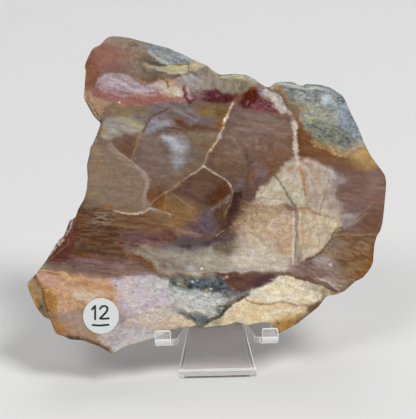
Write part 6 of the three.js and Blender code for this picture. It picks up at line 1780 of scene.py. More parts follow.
            332, 144, 330), 4, size=1.4, contrast=1.3, strength=0.4, wobble=1.4),
        Vein((120, 78, 48), (238, 211, 242, 216, 246, 222, 252, 226, 258, 229), 1.6, soft=1.2,
            strength=0.55, beads=1),
        Vein((214, 170, 92), (236, 224, 242, 222, 248, 225), 1.6, soft=1, strength=0.5, beads=1),
        Vein((116, 74, 52), (243, 228, 248, 232, 253, 236), 1, soft=0.8, strength=0.55, beads=1),
    )),
    Region("Soft patches over the borders", Grain.FIBROUS, (
        Patch((176, 164, 160), (134, 289), (12, 7), soft=1.7, strength=0.35),
        Patch((150, 124, 82), (34, 284), (7, 8), soft=1.7, strength=0.3),
        Patch((214, 206, 196), (272, 226), (10, 10), soft=1.7, strength=0.4),
        Patch((160, 138, 122), (374, 186), (9, 10), soft=1.7, strength=0.4),
        Patch((150, 124, 104), (292, 204), (10, 7), soft=1.7, strength=0.4),
        Patch((168, 156, 158), (295, 306), (10, 8), soft=1.7, strength=0.3),
        Patch((146, 124, 96), (312, 286), (9, 8), soft=1.7, strength=0.35),
        Patch((150, 134, 112), (312, 304), (8, 6), soft=1.7, strength=0.35),
        Patch((150, 132, 106), (293, 324), (9, 6), soft=1.7, strength=0.4),
    )),
    Region("Upper left lobe, fine streaks", Grain.FIBROUS, (
        Zone((172, 118, 98), (146, 98, 84), (98, 50, 104, 44, 114, 43, 122, 47, 127, 54, 124, 62, 114,
            65, 103, 64, 97, 58), 5, stretch=1.6, angle=-30, strength=0.6, wobble=1.6),
        Zone((170, 158, 140), (144, 132, 116), (104, 40, 114, 36, 128, 37, 144, 42, 148, 48, 140, 50,
            126, 46, 112, 44, 104, 46), 4, size=1.8, stretch=2.4, angle=-10, strength=0.6, wobble=1.2),
        Zone((150, 124, 122), (130, 102, 98), (112, 58, 126, 56, 138, 58, 142, 64, 134, 70, 120, 72,
            108, 70), 5, size=2.4, stretch=2, angle=-10, strength=0.5, wobble=1.5),
        Vein((184, 132, 70), (127, 51.4, 132, 53, 137, 55.4), 2.2, soft=1.4, strength=0.7, beads=0.8),
        Zone((146, 108, 88), (124, 84, 66), (86, 60, 92, 52, 98, 50, 98, 62, 96, 72, 92, 84, 88, 88, 85,
            76), 4, size=2, stretch=2.4, angle=80, strength=0.45, wobble=1.2),
        Patch((178, 96, 84), (92.6, 58), (3, 7), -10, soft=1.6, strength=0.4),
        Zone((182, 170, 176), (158, 132, 142), (98, 80, 104, 75, 116, 73.6, 128, 76, 138, 80, 150, 81,
            162, 84, 166, 89, 156, 92, 142, 92, 126, 92, 112, 91, 102, 88), 2.6, size=1.6, stretch=4,
            angle=-12, contrast=1.3, strength=0.65),
        Vein((176, 122, 126), (99, 84, 108, 88, 120, 90, 134, 91.6), 1.4, soft=1.1, strength=0.6,
            beads=0.4),
        Vein((150, 96, 96), (113, 75.4, 121, 80, 129, 84.4, 137, 87), 0.9, soft=0.8, strength=0.5,
            beads=0.4),
        Vein((222, 208, 208), (110, 77, 118, 82, 126, 86.4, 136, 90, 148, 91.6), 1.1, soft=0.9,
            strength=0.6, beads=0.4),
        Zone((214, 204, 184), (190, 168, 140), (158, 86, 166, 84, 174, 87, 180, 93, 178, 98, 170, 96,
            162, 93), 2.6, size=1.5, stretch=1.5, angle=-40, strength=0.6, wobble=1.2),
        Vein((112, 74, 34), (139, 78.6, 144, 80, 150, 81.4, 155, 79.4, 161, 78.6, 167, 80.4), 2.4,
            soft=1.2, strength=0.65, beads=1),
        Vein((124, 84, 36), (123, 73.6, 130, 74.6, 136, 76, 141, 77.6), 1.6, soft=1, strength=0.6,
            beads=1),
        Patch((96, 60, 32), (167, 82), (1.3, 3), soft=1, strength=0.7),
        Zone((144, 96, 100), (120, 74, 82), (188, 94, 196, 92, 206, 92, 208, 97, 204, 101, 194, 100,
            187, 98), 2.6, size=1.5, stretch=3, angle=-5, strength=0.6, wobble=0.8),
        Zone((100, 94, 82), (78, 72, 62), (140, 59, 148, 57, 158, 61, 166, 65, 160, 66, 148, 64, 141,
            64), 1.8, size=1.2, stretch=2.4, angle=-20, strength=0.65, wobble=0.8),
        Zone((168, 168, 162), (120, 120, 116), (149, 50, 156, 48, 164, 53, 172, 60, 168, 62, 158, 59,
            151, 55), 2, size=1, stretch=3, angle=-34, contrast=1.3, strength=0.6, wobble=0.9),
        Zone((170, 136, 108), (146, 112, 86), (85, 98, 94, 100, 106, 104, 108, 110, 102, 117, 96, 114,
            89, 106), 3.4, size=2, stretch=2, angle=-40, strength=0.55),
        Zone((156, 134, 96), (136, 110, 82), (110, 108, 120, 107, 134, 109, 140, 113, 134, 117, 120,
            116, 111, 114), 4, size=2, stretch=3, angle=-10, strength=0.5, wobble=1.4),
        Vein((124, 84, 82), (113.6, 104, 109.6, 107.4, 107, 112, 104, 119), 1.8, soft=1.3, strength=0.6,
            beads=0.4),
    )),
    Region("Upper right mottle and gold corner, upper layers", Grain.GRANULAR, (
        Zone((150, 152, 144), (92, 96, 92), (308, 126, 316, 122, 330, 122, 342, 126, 352, 132, 360, 142,
            352, 149, 342, 152, 332, 148, 322, 142, 312, 136), 3, size=1.1, stretch=2.6, angle=-24,
            contrast=1.5, strength=0.65, wobble=1.4),
        Zone((176, 172, 154), (128, 128, 118), (298, 104, 310, 100, 324, 104, 336, 110, 338, 120, 326,
            122, 312, 122, 304, 116), 3, size=1.3, stretch=2.2, angle=-16, contrast=1.3, strength=0.6,
            wobble=1.3),
        Zone((150, 160, 170), (106, 112, 122), (340, 106, 348, 106, 354, 114, 359, 126, 358, 134, 348,
            132, 342, 122), 2.6, size=1, stretch=1.4, contrast=1.5, strength=0.6),
        Zone((206, 214, 216), (170, 180, 186), (320, 96, 328, 93, 334, 96, 334, 102, 326, 104, 320,
            101), 2.4, size=1.2, strength=0.65),
        Zone((176, 186, 190), (78, 82, 88), (334, 92, 342, 94, 347, 101, 344, 106, 336, 104), 1.8,
            size=0.9, contrast=1.7, strength=0.6, wobble=0.8),
        Zone((188, 160, 112), (146, 110, 66), (310, 138, 318, 139, 328, 144, 336, 149, 344, 153, 352,
            151, 350, 157, 340, 158, 328, 153, 318, 148), 2.6, size=0.9, stretch=4, angle=-30, contrast=1.4,
            strength=0.65, wobble=1.6),
        Zone((144, 108, 80), (118, 84, 66), (304, 138, 312, 146, 322, 152, 334, 158, 346, 161, 356, 164,
            352, 172, 338, 168, 322, 160, 308, 154, 302, 146), 4.5, size=2, stretch=3, angle=-24,
            strength=0.55, wobble=1.5),
        Zone((186, 158, 118), (160, 130, 96), (350, 150, 360, 142, 366, 150, 372, 160, 376, 168, 368,
            168, 358, 162), 4.5, size=1.6, stretch=3, angle=-40, strength=0.55, wobble=1.4),
        Vein((206, 198, 196), (266, 92, 272, 97, 278, 103, 283, 110), 7, soft=3, strength=0.6,
            beads=0.3),
        Vein((214, 204, 192), (293.6, 121, 294.8, 130, 295, 142, 296.4, 152, 298, 166), 3.8, soft=1.3,
            strength=0.75, beads=0.9),
        Vein((150, 112, 84), (292, 124, 297, 134, 294, 146, 297.6, 158), 0.9, soft=0.8, strength=0.55,
            beads=1),
        Zone((142, 118, 92), (116, 92, 70), (283, 92, 288, 96, 296, 106, 299, 116, 297, 126, 291, 116,
            285, 104), 2.4, size=1.2, stretch=2, angle=-60, strength=0.55),
        Vein((196, 138, 66), (277, 88, 284, 93, 287.6, 100, 293, 104, 299, 110, 304, 112), 1.3,
            soft=0.9, strength=0.65, beads=0.8),
    )),
    Region("Lobe and mottle, top layers", Grain.GRANULAR, (
        Zone((156, 138, 120), (132, 116, 102), (104, 40, 116, 37, 130, 39, 142, 44, 148, 52, 146, 60,
            144, 68, 150, 74, 140, 75, 130, 72, 126, 62, 120, 52, 110, 46), 6, size=1.8, stretch=2,
            angle=-24, strength=0.7, wobble=1.6),
        Zone((168, 118, 104), (148, 100, 90), (98, 50, 106, 46, 116, 50, 124, 56, 126, 64, 118, 68, 106,
            68, 98, 64), 6, size=2.2, stretch=2, angle=-30, strength=0.4, wobble=1.4),
        Vein((96, 68, 46), (127, 45.4, 131, 46.4, 136, 45.6, 139, 46.6), 1.8, soft=1, strength=0.6,
            beads=1),
        Vein((176, 120, 62), (130, 52.6, 134, 53.8, 137, 55.4), soft=0.9, strength=0.6, beads=0.8),
        Vein((98, 68, 34), (140, 78.4, 145, 78.8, 150, 79.6, 155, 78.8), 2.2, soft=1, strength=0.65,
            beads=1),
        Vein((104, 66, 34), (160, 79, 166, 78.6, 168.6, 82, 168, 87), 1.9, soft=1, strength=0.65,
            beads=1),
        Zone((112, 106, 92), (150, 142, 120), (284, 98, 290, 96, 298, 98, 305, 104, 306, 112, 298, 114,
            290, 108), 3, size=1.1, stretch=2, angle=-30, contrast=1.4, strength=0.5, wobble=1.4),
        Zone((166, 158, 150), (142, 130, 124), (184, 78, 192, 77, 203, 82, 206, 90, 198, 93, 188, 90),
            4, size=1.4, stretch=2, angle=-20, strength=0.5, wobble=1.2),
        Zone((150, 134, 118), (128, 108, 92), (324, 238, 334, 236, 343, 242, 342, 252, 332, 255, 324,
            249), 4, size=1.8, stretch=2, angle=10, strength=0.5, wobble=1.2),
        Zone((128, 104, 92), (108, 84, 76), (104, 64, 114, 62, 124, 66, 126, 73, 116, 75, 106, 74), 3,
            size=1.6, stretch=2.4, angle=-16, strength=0.45, wobble=1.2),
    )),
    Region("Middle, top layers", Grain.FIBROUS, (
        Patch((196, 202, 210), (168, 140), (7, 4.5), -10, soft=1, strength=0.55),
        Patch((186, 192, 200), (177, 147), (8, 7), soft=1.2, strength=0.45),
        Patch((176, 180, 188), (178, 160), (7, 8), soft=1.2, strength=0.45),
        Zone((150, 132, 118), (134, 114, 100), (90, 146, 104, 144, 120, 158, 136, 168, 146, 178, 147,
            190, 142, 200, 146, 206, 134, 212, 118, 212, 104, 204, 92, 198, 90, 170), 5, size=1.4,
            stretch=3, angle=70, contrast=0.7, strength=0.45),
        Vein((176, 162, 148), (108, 146, 118, 155, 130, 164, 141, 171, 147, 180, 146, 190, 142, 198,
            145, 205), 4, soft=3.4, strength=0.35),
        Vein((166, 104, 52), (106, 205, 112, 208, 120, 211, 130, 211.6), 2, soft=1.4, strength=0.5,
            beads=0.6),
        Vein((216, 204, 182), (114, 210, 122, 213, 132, 213.6, 142, 212.6, 150, 208.4), 1.3, soft=0.8,
            strength=0.8),
        Vein((198, 188, 182), (150, 209, 157, 210, 164, 211.5, 169, 214, 169.5, 218), soft=0.9,
            strength=0.6),
        Vein((176, 150, 120), (174, 196, 184, 202, 196, 211), 0.8, soft=0.6, strength=0.5),
        Vein((190, 142, 86), (299, 166, 301.4, 172, 303.6, 180), 3, soft=2, strength=0.6, beads=0.6),
        Zone((182, 160, 138), (162, 142, 124), (309, 168, 318, 165, 327, 171, 328, 182, 318, 188, 310,
            180), 4, size=1, contrast=1.6, strength=0.45, wobble=1.4),
        Patch((178, 126, 84), (290, 169), (5, 3), -20, soft=1.1, strength=0.5),
        Vein((120, 90, 70), (284, 204, 290, 208, 297, 211, 302, 207), 3, soft=2, strength=0.5,
            beads=0.6),
        Vein((174, 126, 74), (300, 207, 308, 209, 314, 212, 320, 215.5), 2.6, soft=1.6, strength=0.6,
            beads=0.6),
        Patch((188, 148, 98), (302, 231), (4, 4), soft=1.1, strength=0.45),
        Patch((190, 152, 102), (304, 240), (4.4, 3), 20, soft=1.1, strength=0.45),
        Vein((150, 132, 110), (317, 217, 318, 230, 319, 248), 0.9, soft=0.7, strength=0.5),
        Patch((196, 186, 186), (349, 217), (9, 4), 10, soft=1.3, strength=0.5),
        Patch((188, 180, 180), (322, 261), (9, 5), soft=1.3, strength=0.5),
        Patch((128, 108, 88), (348, 249), (11, 7), 30, soft=1.2, strength=0.45),
        Patch((150, 88, 36), (369, 261), (3.6, 8), -20, soft=1, strength=0.45),
        Vein((176, 140, 130), (349, 225, 358, 217, 368, 207, 380, 196), 1, soft=0.8, strength=0.6),
        Patch((150, 84, 80), (378, 197), (4, 3), soft=1, strength=0.45),
        Vein((226, 190, 120), (313, 145, 322, 148, 332, 152, 341, 156, 350, 152), 1.4, soft=1,
            strength=0.6, beads=1),
        Patch((60, 44, 40), (345.3, 175.3), (0.8, 0.8), soft=0.4, strength=0.9),
        Vein((208, 194, 170), (299.8, 212, 300, 222, 299.8, 234, 300.6, 243), 2.4, soft=1.2,
            strength=0.65, beads=0.4),
        Vein((226, 206, 184), (293, 212, 293.4, 226, 293.4, 242, 292.6, 258), 2, soft=1.4, strength=0.5,
            beads=0.4),
        Patch((148, 116, 82), (292, 171), (8, 7), soft=1.2, strength=0.45),
        Patch((138, 118, 90), (314, 286), (11, 9), soft=1.3, strength=0.3),
        Patch((190, 188, 192), (322, 235), (6, 9), soft=1.2, strength=0.35),
        Patch((122, 108, 106), (165, 218), (15, 5), soft=1.2, strength=0.28),
        Patch((150, 132, 110), (304, 228), (5, 9), soft=1.2, strength=0.25),
    )),
)


@dataclass(frozen=True)
class FacePlane:
    """The plane of the polished face, in millimetres, and the photograph's view of it."""

    lean_back: float = math.radians(20)
    label_diameter: float = 19.0
    label_diameter_px: float = 36.0
    label_middle_px: tuple[float, float] = (101.0, 316.0)
    label_middle_w: float = 0.45
    photo_size_px: tuple[int, int] = (416, 419)
    photo_roll: float = math.radians(1.35)
    stand_middle_u: float = 2.9
    view_distance: float = 700.0

    @property
    def mm_per_px(self) -> float:
        """The size of a photograph pixel on the face, from the label."""
        return self.label_diameter / self.label_diameter_px

    @property
    def photo_middle_px(self) -> np.ndarray:
        """The middle of the photograph."""
        return np.array(self.photo_size_px) / 2

    @property
    def axes(self) -> np.ndarray:
        """The world directions of u, v and w, one column each."""
        sine, cosine = math.sin(self.lean_back), math.cos(self.lean_back)
        return np.array([[1, 0, 0], [0, sine, -cosine], [0, cosine, sine]])

    @property
    def origin(self) -> np.ndarray:
        """The world place of the plane's own origin in millimetres, found from the label's node."""
        lowest, highest = (np.array(corner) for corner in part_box("round_paper_label"))
        label = self.from_photo(np.array([self.label_middle_px]))[0]
        middle = self.axes @ np.array([label[0], label[1], self.label_middle_w])
        return (lowest + highest) / 2 / MM - middle

    def from_photo(self, pixels: np.ndarray) -> np.ndarray:
        """Turns places in the photograph into places on the face.

        Args:
            pixels: places in the photograph, y down, one row each.

        Returns:
            Places on the face as u and v, one row each.
        """
        across, down = ((np.asarray(pixels, dtype=float) - self.photo_middle_px) * self.mm_per_px).T
        sine, cosine = math.sin(self.photo_roll), math.cos(self.photo_roll)
        u = across * cosine - down * sine - self.stand_middle_u
        return np.stack([u, -down * cosine - across * sine], axis=-1)

    def to_photo(self, points: np.ndarray) -> np.ndarray:
        """Turns places at or behind the face into places in the photograph.

        Args:
            points: u, v and w, one row each.

        Returns:
            Places in the photograph, y down, one row each.
        """
        u, v, w = points.T
        sine, cosine = math.sin(self.photo_roll), math.cos(self.photo_roll)
        across = (u + self.stand_middle_u) * cosine - v * sine
        up = (u + self.stand_middle_u) * sine + v * cosine
        scale = self.view_distance / (self.view_distance - w) / self.mm_per_px
        return self.photo_middle_px + np.stack([across * scale, -up * scale], axis=-1)

    def to_world(self, points: np.ndarray) -> np.ndarray:
        """Turns places in the plane's millimetres into world metres.

        Args:
            points: u, v and w, one row each.

        Returns:
            World places, one row each.
        """
        return (self.origin + points @ self.axes.T) * MM


PLANE = FacePlane()


def make_mesh(name: str, points: np.ndarray, faces: list[np.ndarray]) -> bpy.types.Mesh:
    """Puts whole arrays of points and faces into a new mesh.

    Args:
        name: the mesh's name.
        points: world places in metres, one row each.
        faces: arrays of point numbers, each with one row per face and as many columns as corners.

    Returns:
        The mesh.
    """
    mesh = bpy.data.meshes.new(name)
    mesh.from_pydata(points.tolist(), [], [row for part in faces for row in part.tolist()])
    mesh.validate()
    mesh.update()
    return mesh


def add_piece(name: str, mesh: bpy.types.Mesh, material: bpy.types.Material) -> bpy.types.Object:
    """Makes an object at the origin from a mesh that already holds its place.

    Args:
        name: the piece's name.
        mesh: its mesh.
        material: its finish.

    Returns:
        The object, linked to the scene.
    """
    piece = bpy.data.objects.new(name, mesh)
    bpy.context.scene.collection.objects.link(piece)
    mesh.materials.clear()
    mesh.materials.append(material)
    return piece


def set_values(mesh: bpy.types.Mesh, name: str, values: np.ndarray) -> None:
    """Keeps one number for each point of a mesh.

    Args:
        mesh: the mesh.
        name: the attribute's name.
        values: the numbers.
    """
    attribute = mesh.attributes.new(name, "FLOAT", "POINT")
    attribute.data.foreach_set("value", values.astype(np.float32))


def set_colours(mesh: bpy.types.Mesh, name: str, colours: np.ndarray) -> None:
    """Keeps one linear colour for each point of a mesh.

    Args:
        mesh: the mesh.
        name: the attribute's name.
        colours: red, green and blue, one row each.
    """
    attribute = mesh.attributes.new(name, "FLOAT_COLOR", "POINT")
    opaque = np.hstack([colours, np.ones((len(colours), 1))])
    attribute.data.foreach_set("color", opaque.astype(np.float32).ravel())


def grid_faces(rows: int, columns: int, closed: bool) -> np.ndarray:
    """Numbers the four corners of each face of a grid of points.

    Args:
        rows: how many rows the grid has.
        columns: how many points a row has.
        closed: whether each row joins its own start.

    Returns:
        Point numbers, four for each face: here, next row, next row's next point, next point.
    """
    numbers = np.arange(rows * columns).reshape(rows, columns)
    following = np.roll(numbers, -1, axis=1)
    if not closed:
        numbers, following = numbers[:, :-1], following[:, :-1]
    corners = [numbers[:-1], numbers[1:], following[1:], following[:-1]]
    return np.stack([corner.ravel() for corner in corners], axis=-1)


class NodeTree:
    """A short way to build a material's nodes."""

    def __init__(self, material: bpy.types.Material) -> None:
        """Clears the material's nodes and adds the output and the shader."""
        material.use_nodes = True
        self.tree = material.node_tree
        self.tree.nodes.clear()
        output = self.tree.nodes.new("ShaderNodeOutputMaterial")
        self.shader = self.tree.nodes.new("ShaderNodeBsdfPrincipled")
        self.tree.links.new(self.shader.outputs["BSDF"], output.inputs["Surface"])
        self.place = self.tree.nodes.new("ShaderNodeTexCoord").outputs["Object"]

    def add(self, kind: str, inputs: dict | None = None, **settings: object) -> bpy.types.Node:
        """Adds a node, sets its options and sets or links its inputs.

        Args:
            kind: the node's type without its ShaderNode prefix.
            inputs: values or output sockets by input name or number.
            settings: the node's own options.

        Returns:
            The node.
        """
        node = self.tree.nodes.new("ShaderNode" + kind)
        for option, value in settings.items():
            setattr(node, option, value)
        for socket, value in (inputs or {}).items():
            if isinstance(value, bpy.types.NodeSocket):
                self.tree.links.new(value, node.inputs[socket])
            else:
                node.inputs[socket].default_value = value
        return node

    def noise(self, size: float, detail: float = 3.0, roughness: float = 0.55,
              place: bpy.types.NodeSocket | None = None) -> bpy.types.NodeSocket:
        """Adds clouds of a given size.

        Args:
            size: the size of a cloud in metres.
            detail: how many finer layers it has.
            roughness: how strong those are.
            place: the coordinates, or None for the object's own.

        Returns:
            The clouds, from 0 to 1.
        """
        inputs = {"Vector": place or self.place, "Scale": 1 / size, "Detail": detail,
                  "Roughness": roughness}
        return self.add("TexNoise", inputs).outputs[0]

    def spread(self, value: bpy.types.NodeSocket, span: tuple[float, float],
               result: tuple[float, float]) -> bpy.types.NodeSocket:
        """Maps a span of values onto another, clamped at both ends.

        Args:
            value: the values.
            span: where they start and end.
            result: what those become.

        Returns:
            The mapped values.
        """
        inputs = {"Value": value, "From Min": span[0], "From Max": span[1], "To Min": result[0],
                  "To Max": result[1]}
        return self.add("MapRange", inputs).outputs[0]

    def maths(self, operation: str, first: bpy.types.NodeSocket | float,
              second: bpy.types.NodeSocket | float = 0.0) -> bpy.types.NodeSocket:
        """Joins two numbers.

        Args:
            operation: the name of the sum.
            first: the first number.
            second: the second number.

        Returns:
            The result.
        """
        return self.add("Math", {0: first, 1: second}, operation=operation).outputs[0]

    def mix(self, amount: bpy.types.NodeSocket | float, first: bpy.types.NodeSocket | tuple,
            second: bpy.types.NodeSocket | tuple, blend: str = "MIX") -> bpy.types.NodeSocket:
        """Joins two colours.

        Args:
            amount: how much the second counts.
            first: the first colour.
            second: the second colour.
            blend: how they are joined.

        Returns:
            The resulting colour.
        """
        inputs = {0: amount, 6: first, 7: second}
        return self.add("Mix", inputs, data_type="RGBA", blend_type=blend).outputs[2]

    def value(self, name: str) -> bpy.types.NodeSocket:
        """Reads a number that the mesh keeps for each point."""
        return self.add("Attribute", attribute_name=name).outputs["Fac"]

    def colour(self, name: str) -> bpy.types.NodeSocket:
        """Reads a colour that the mesh keeps for each point."""
        return self.add("Attribute", attribute_name=name).outputs["Color"]

    def connect(self, **inputs: bpy.types.NodeSocket | float) -> None:
        """Sets or links the shader's inputs, whose names are written with underscores."""
        for name, value in inputs.items():
            socket = self.shader.inputs[name.replace("_", " ")]
            if isinstance(value, bpy.types.NodeSocket):
                self.tree.links.new(value, socket)
            else:
                socket.default_value = value

    def bump(self, height: bpy.types.NodeSocket, depth: float, strength: float = 1.0) -> None:
        """Gives the shader a fine relief.

        Args:
            height: the relief, from 0 to 1.
            depth: how deep that is, in metres.
            strength: how much of it shows.
        """
        inputs = {"Strength": strength, "Distance": depth, "Height": height}
        self.connect(Normal=self.add("Bump", inputs).outputs[0])


MOST_CLOUDS = (0.3, 0.7)  # the span of values that nearly all of a noise node's clouds have


@dataclass(frozen=True)
class StoneFinish:
    """Petrified wood: polished on the face, sawn at the back, rough round the rim.

    grain, speckle, wear and relief are sizes of clouds in metres.
    """

    grain: float = 0.0009
    grain_light: tuple[float, float] = (0.86, 1.14)
    speckle: float = 0.00032
    speckle_light: tuple[float, float] = (0.93, 1.07)
    polished_roughness: float = 0.2
    rough_roughness: float = 0.78
    wear: float = 0.004
    wear_roughness: tuple[float, float] = (-0.05, 0.05)
    specular: float = 0.32
    relief: float = 0.0012
    relief_depth: float = 0.0006
    polished_relief: float = 0.03

    def material(self) -> bpy.types.Material:
        """Builds the material from the points' colours and polish.

        Returns:
            The material.
        """
        material = bpy.data.materials.new("petrified_wood")
        nodes = NodeTree(material)
        polish = nodes.value("polish")
        grain = nodes.spread(nodes.noise(self.grain, 4), MOST_CLOUDS, self.grain_light)
        speckle = nodes.spread(nodes.noise(self.speckle, 2), MOST_CLOUDS, self.speckle_light)
        tint = nodes.maths("MULTIPLY", grain, speckle)
        colour = nodes.mix(1.0, nodes.colour("base"), tint, "MULTIPLY")
        wear = nodes.spread(nodes.noise(self.wear, 4), MOST_CLOUDS, self.wear_roughness)
        roughness = nodes.spread(polish, (0, 1), (self.rough_roughness, self.polished_roughness))
        rough = nodes.spread(polish, (0, 1), (1, self.polished_relief))
        relief = nodes.maths("MULTIPLY", nodes.noise(self.relief, 5, 0.65), rough)
        nodes.connect(Base_Color=colour, Roughness=nodes.maths("ADD", roughness, wear),
                      Specular_IOR_Level=self.specular)
        nodes.bump(relief, self.relief_depth)
        return material


@dataclass(frozen=True)
class AcrylicFinish:
    """Clear acrylic sheet and its sawn edges, which scatter the light a little.

    marks and ripple are sizes of clouds in metres: handling marks in the gloss, and slow waves.
    """

    name: str
    tint: tuple[float, float, float]
    roughness: float
    transmission: float
    refraction: float = 1.49
    marks: float = 0.006
    marks_span: tuple[float, float] = (0.35, 0.8)
    marks_roughness: float = 0.05
    ripple: float = 0.02
    ripple_depth: float = 0.00004

    def material(self) -> bpy.types.Material:
        """Builds the material, with faint handling marks in its gloss.

        Returns:
            The material.
        """
        material = bpy.data.materials.new(self.name)
        nodes = NodeTree(material)
        gloss = (self.roughness, self.roughness + self.marks_roughness)
        marks = nodes.spread(nodes.noise(self.marks, 4), self.marks_span, gloss)
        nodes.connect(Base_Color=(*self.tint, 1.0), Roughness=marks, IOR=self.refraction,
                      Transmission_Weight=self.transmission)
        nodes.bump(nodes.noise(self.ripple, 2), self.ripple_depth)
        return material


class SheetFinish(Enum):
    """The finishes of the stand's parts, in the order of its material slots."""

    # The clear sheet's tint is darkened and warmed as painted shade: it stands for the warm shadow on the
    # floor seen through the leg.
    CLEAR = AcrylicFinish("clear_acrylic", (0.79, 0.753, 0.748), 0.02, 1.0)
    SAWN = AcrylicFinish("sawn_acrylic", (0.97, 0.965, 0.96), 0.35, 0.12)
    # This whitened finish on the bends is a painted highlight: it stands for the white bands of light on
    # the bent sheet.
    BENT = AcrylicFinish("bend_painted_highlight_acrylic", (0.97, 0.965, 0.96), 0.2, 0.4)
    HAZY = AcrylicFinish("hazy_acrylic", (0.95, 0.945, 0.94), 0.12, 0.84)


@dataclass(frozen=True)
class PaperFinish:
    """A matt white paper dot with black marker on it.

    The stroke's half width, its wander and its soft edge are in millimetres, and the sizes of the
    paper's fibres, the ink's bleeding and the paper's relief in metres.
    """

    paper: tuple[float, ...] = (0.72, 0.76, 0.75, 1.0)
    ink: tuple[float, ...] = (0.012, 0.012, 0.014, 1.0)
    stroke_half_width: float = 0.55
    stroke_wander: float = 0.09
    stroke_soft: float = 0.06
    fibre: float = 0.0006
    fibre_light: tuple[float, float] = (0.95, 1.0)
    bleed: float = 0.0007
    paper_roughness: float = 0.75
    ink_roughness: float = 0.5
    relief: float = 0.0005
    relief_depth: float = 0.00003

    def material(self) -> bpy.types.Material:
        """Builds the paper, whose marker follows the points' distance to the strokes.

        Returns:
            The material.
        """
        material = bpy.data.materials.new("label_paper")
        nodes = NodeTree(material)
        fibre = nodes.spread(nodes.noise(self.fibre, 4), MOST_CLOUDS, self.fibre_light)
        paper = nodes.mix(1.0, self.paper, fibre, "MULTIPLY")
        wander = (-self.stroke_wander, self.stroke_wander)
        bleed = nodes.spread(nodes.noise(self.bleed, 3), MOST_CLOUDS, wander)
        edge = nodes.maths("ADD", nodes.value("stroke_distance"), bleed)
        half, soft = self.stroke_half_width, self.stroke_soft
        ink = nodes.spread(edge, (half - soft, half + soft), (1.0, 0.0))
        roughness = nodes.spread(ink, (0, 1), (self.paper_roughness, self.ink_roughness))
        nodes.connect(Base_Color=nodes.mix(ink, paper, self.ink), Roughness=roughness)
        nodes.bump(nodes.noise(self.relief, 4), self.relief_depth)
        return material


@dataclass(frozen=True)
class FloorFinish:
    """The plain pale floor, with very faint wide clouds whose size is in metres."""

    tone: tuple[float, ...] = (0.76, 0.76, 0.76, 1.0)
    clouds: float = 0.2
    clouds_light: tuple[float, float] = (0.99, 1.0)
    roughness: float = 0.9
    specular: float = 0.2

    def material(self) -> bpy.types.Material:
        """Builds the matt pale surface.

        Returns:
            The material.
        """
        material = bpy.data.materials.new("pale_floor")
        nodes = NodeTree(material)
        tint = nodes.spread(nodes.noise(self.clouds, 2), MOST_CLOUDS, self.clouds_light)
        nodes.connect(Base_Color=nodes.mix(1.0, self.tone, tint, "MULTIPLY"),
                      Roughness=self.roughness, Specular_IOR_Level=self.specular)
        return material


@dataclass(frozen=True)
class Chip:
    """A break in the slice's front edge.

    The first two places are the ends of the outline that it takes away, face_px is the line where it
    starts on the polished face, and drop is how far below the face it meets the rim.
    """

    name: str
    from_px: tuple[float, float]
    to_px: tuple[float, float]
    face_px: tuple[float, ...]
    drop: float
    gloss: float


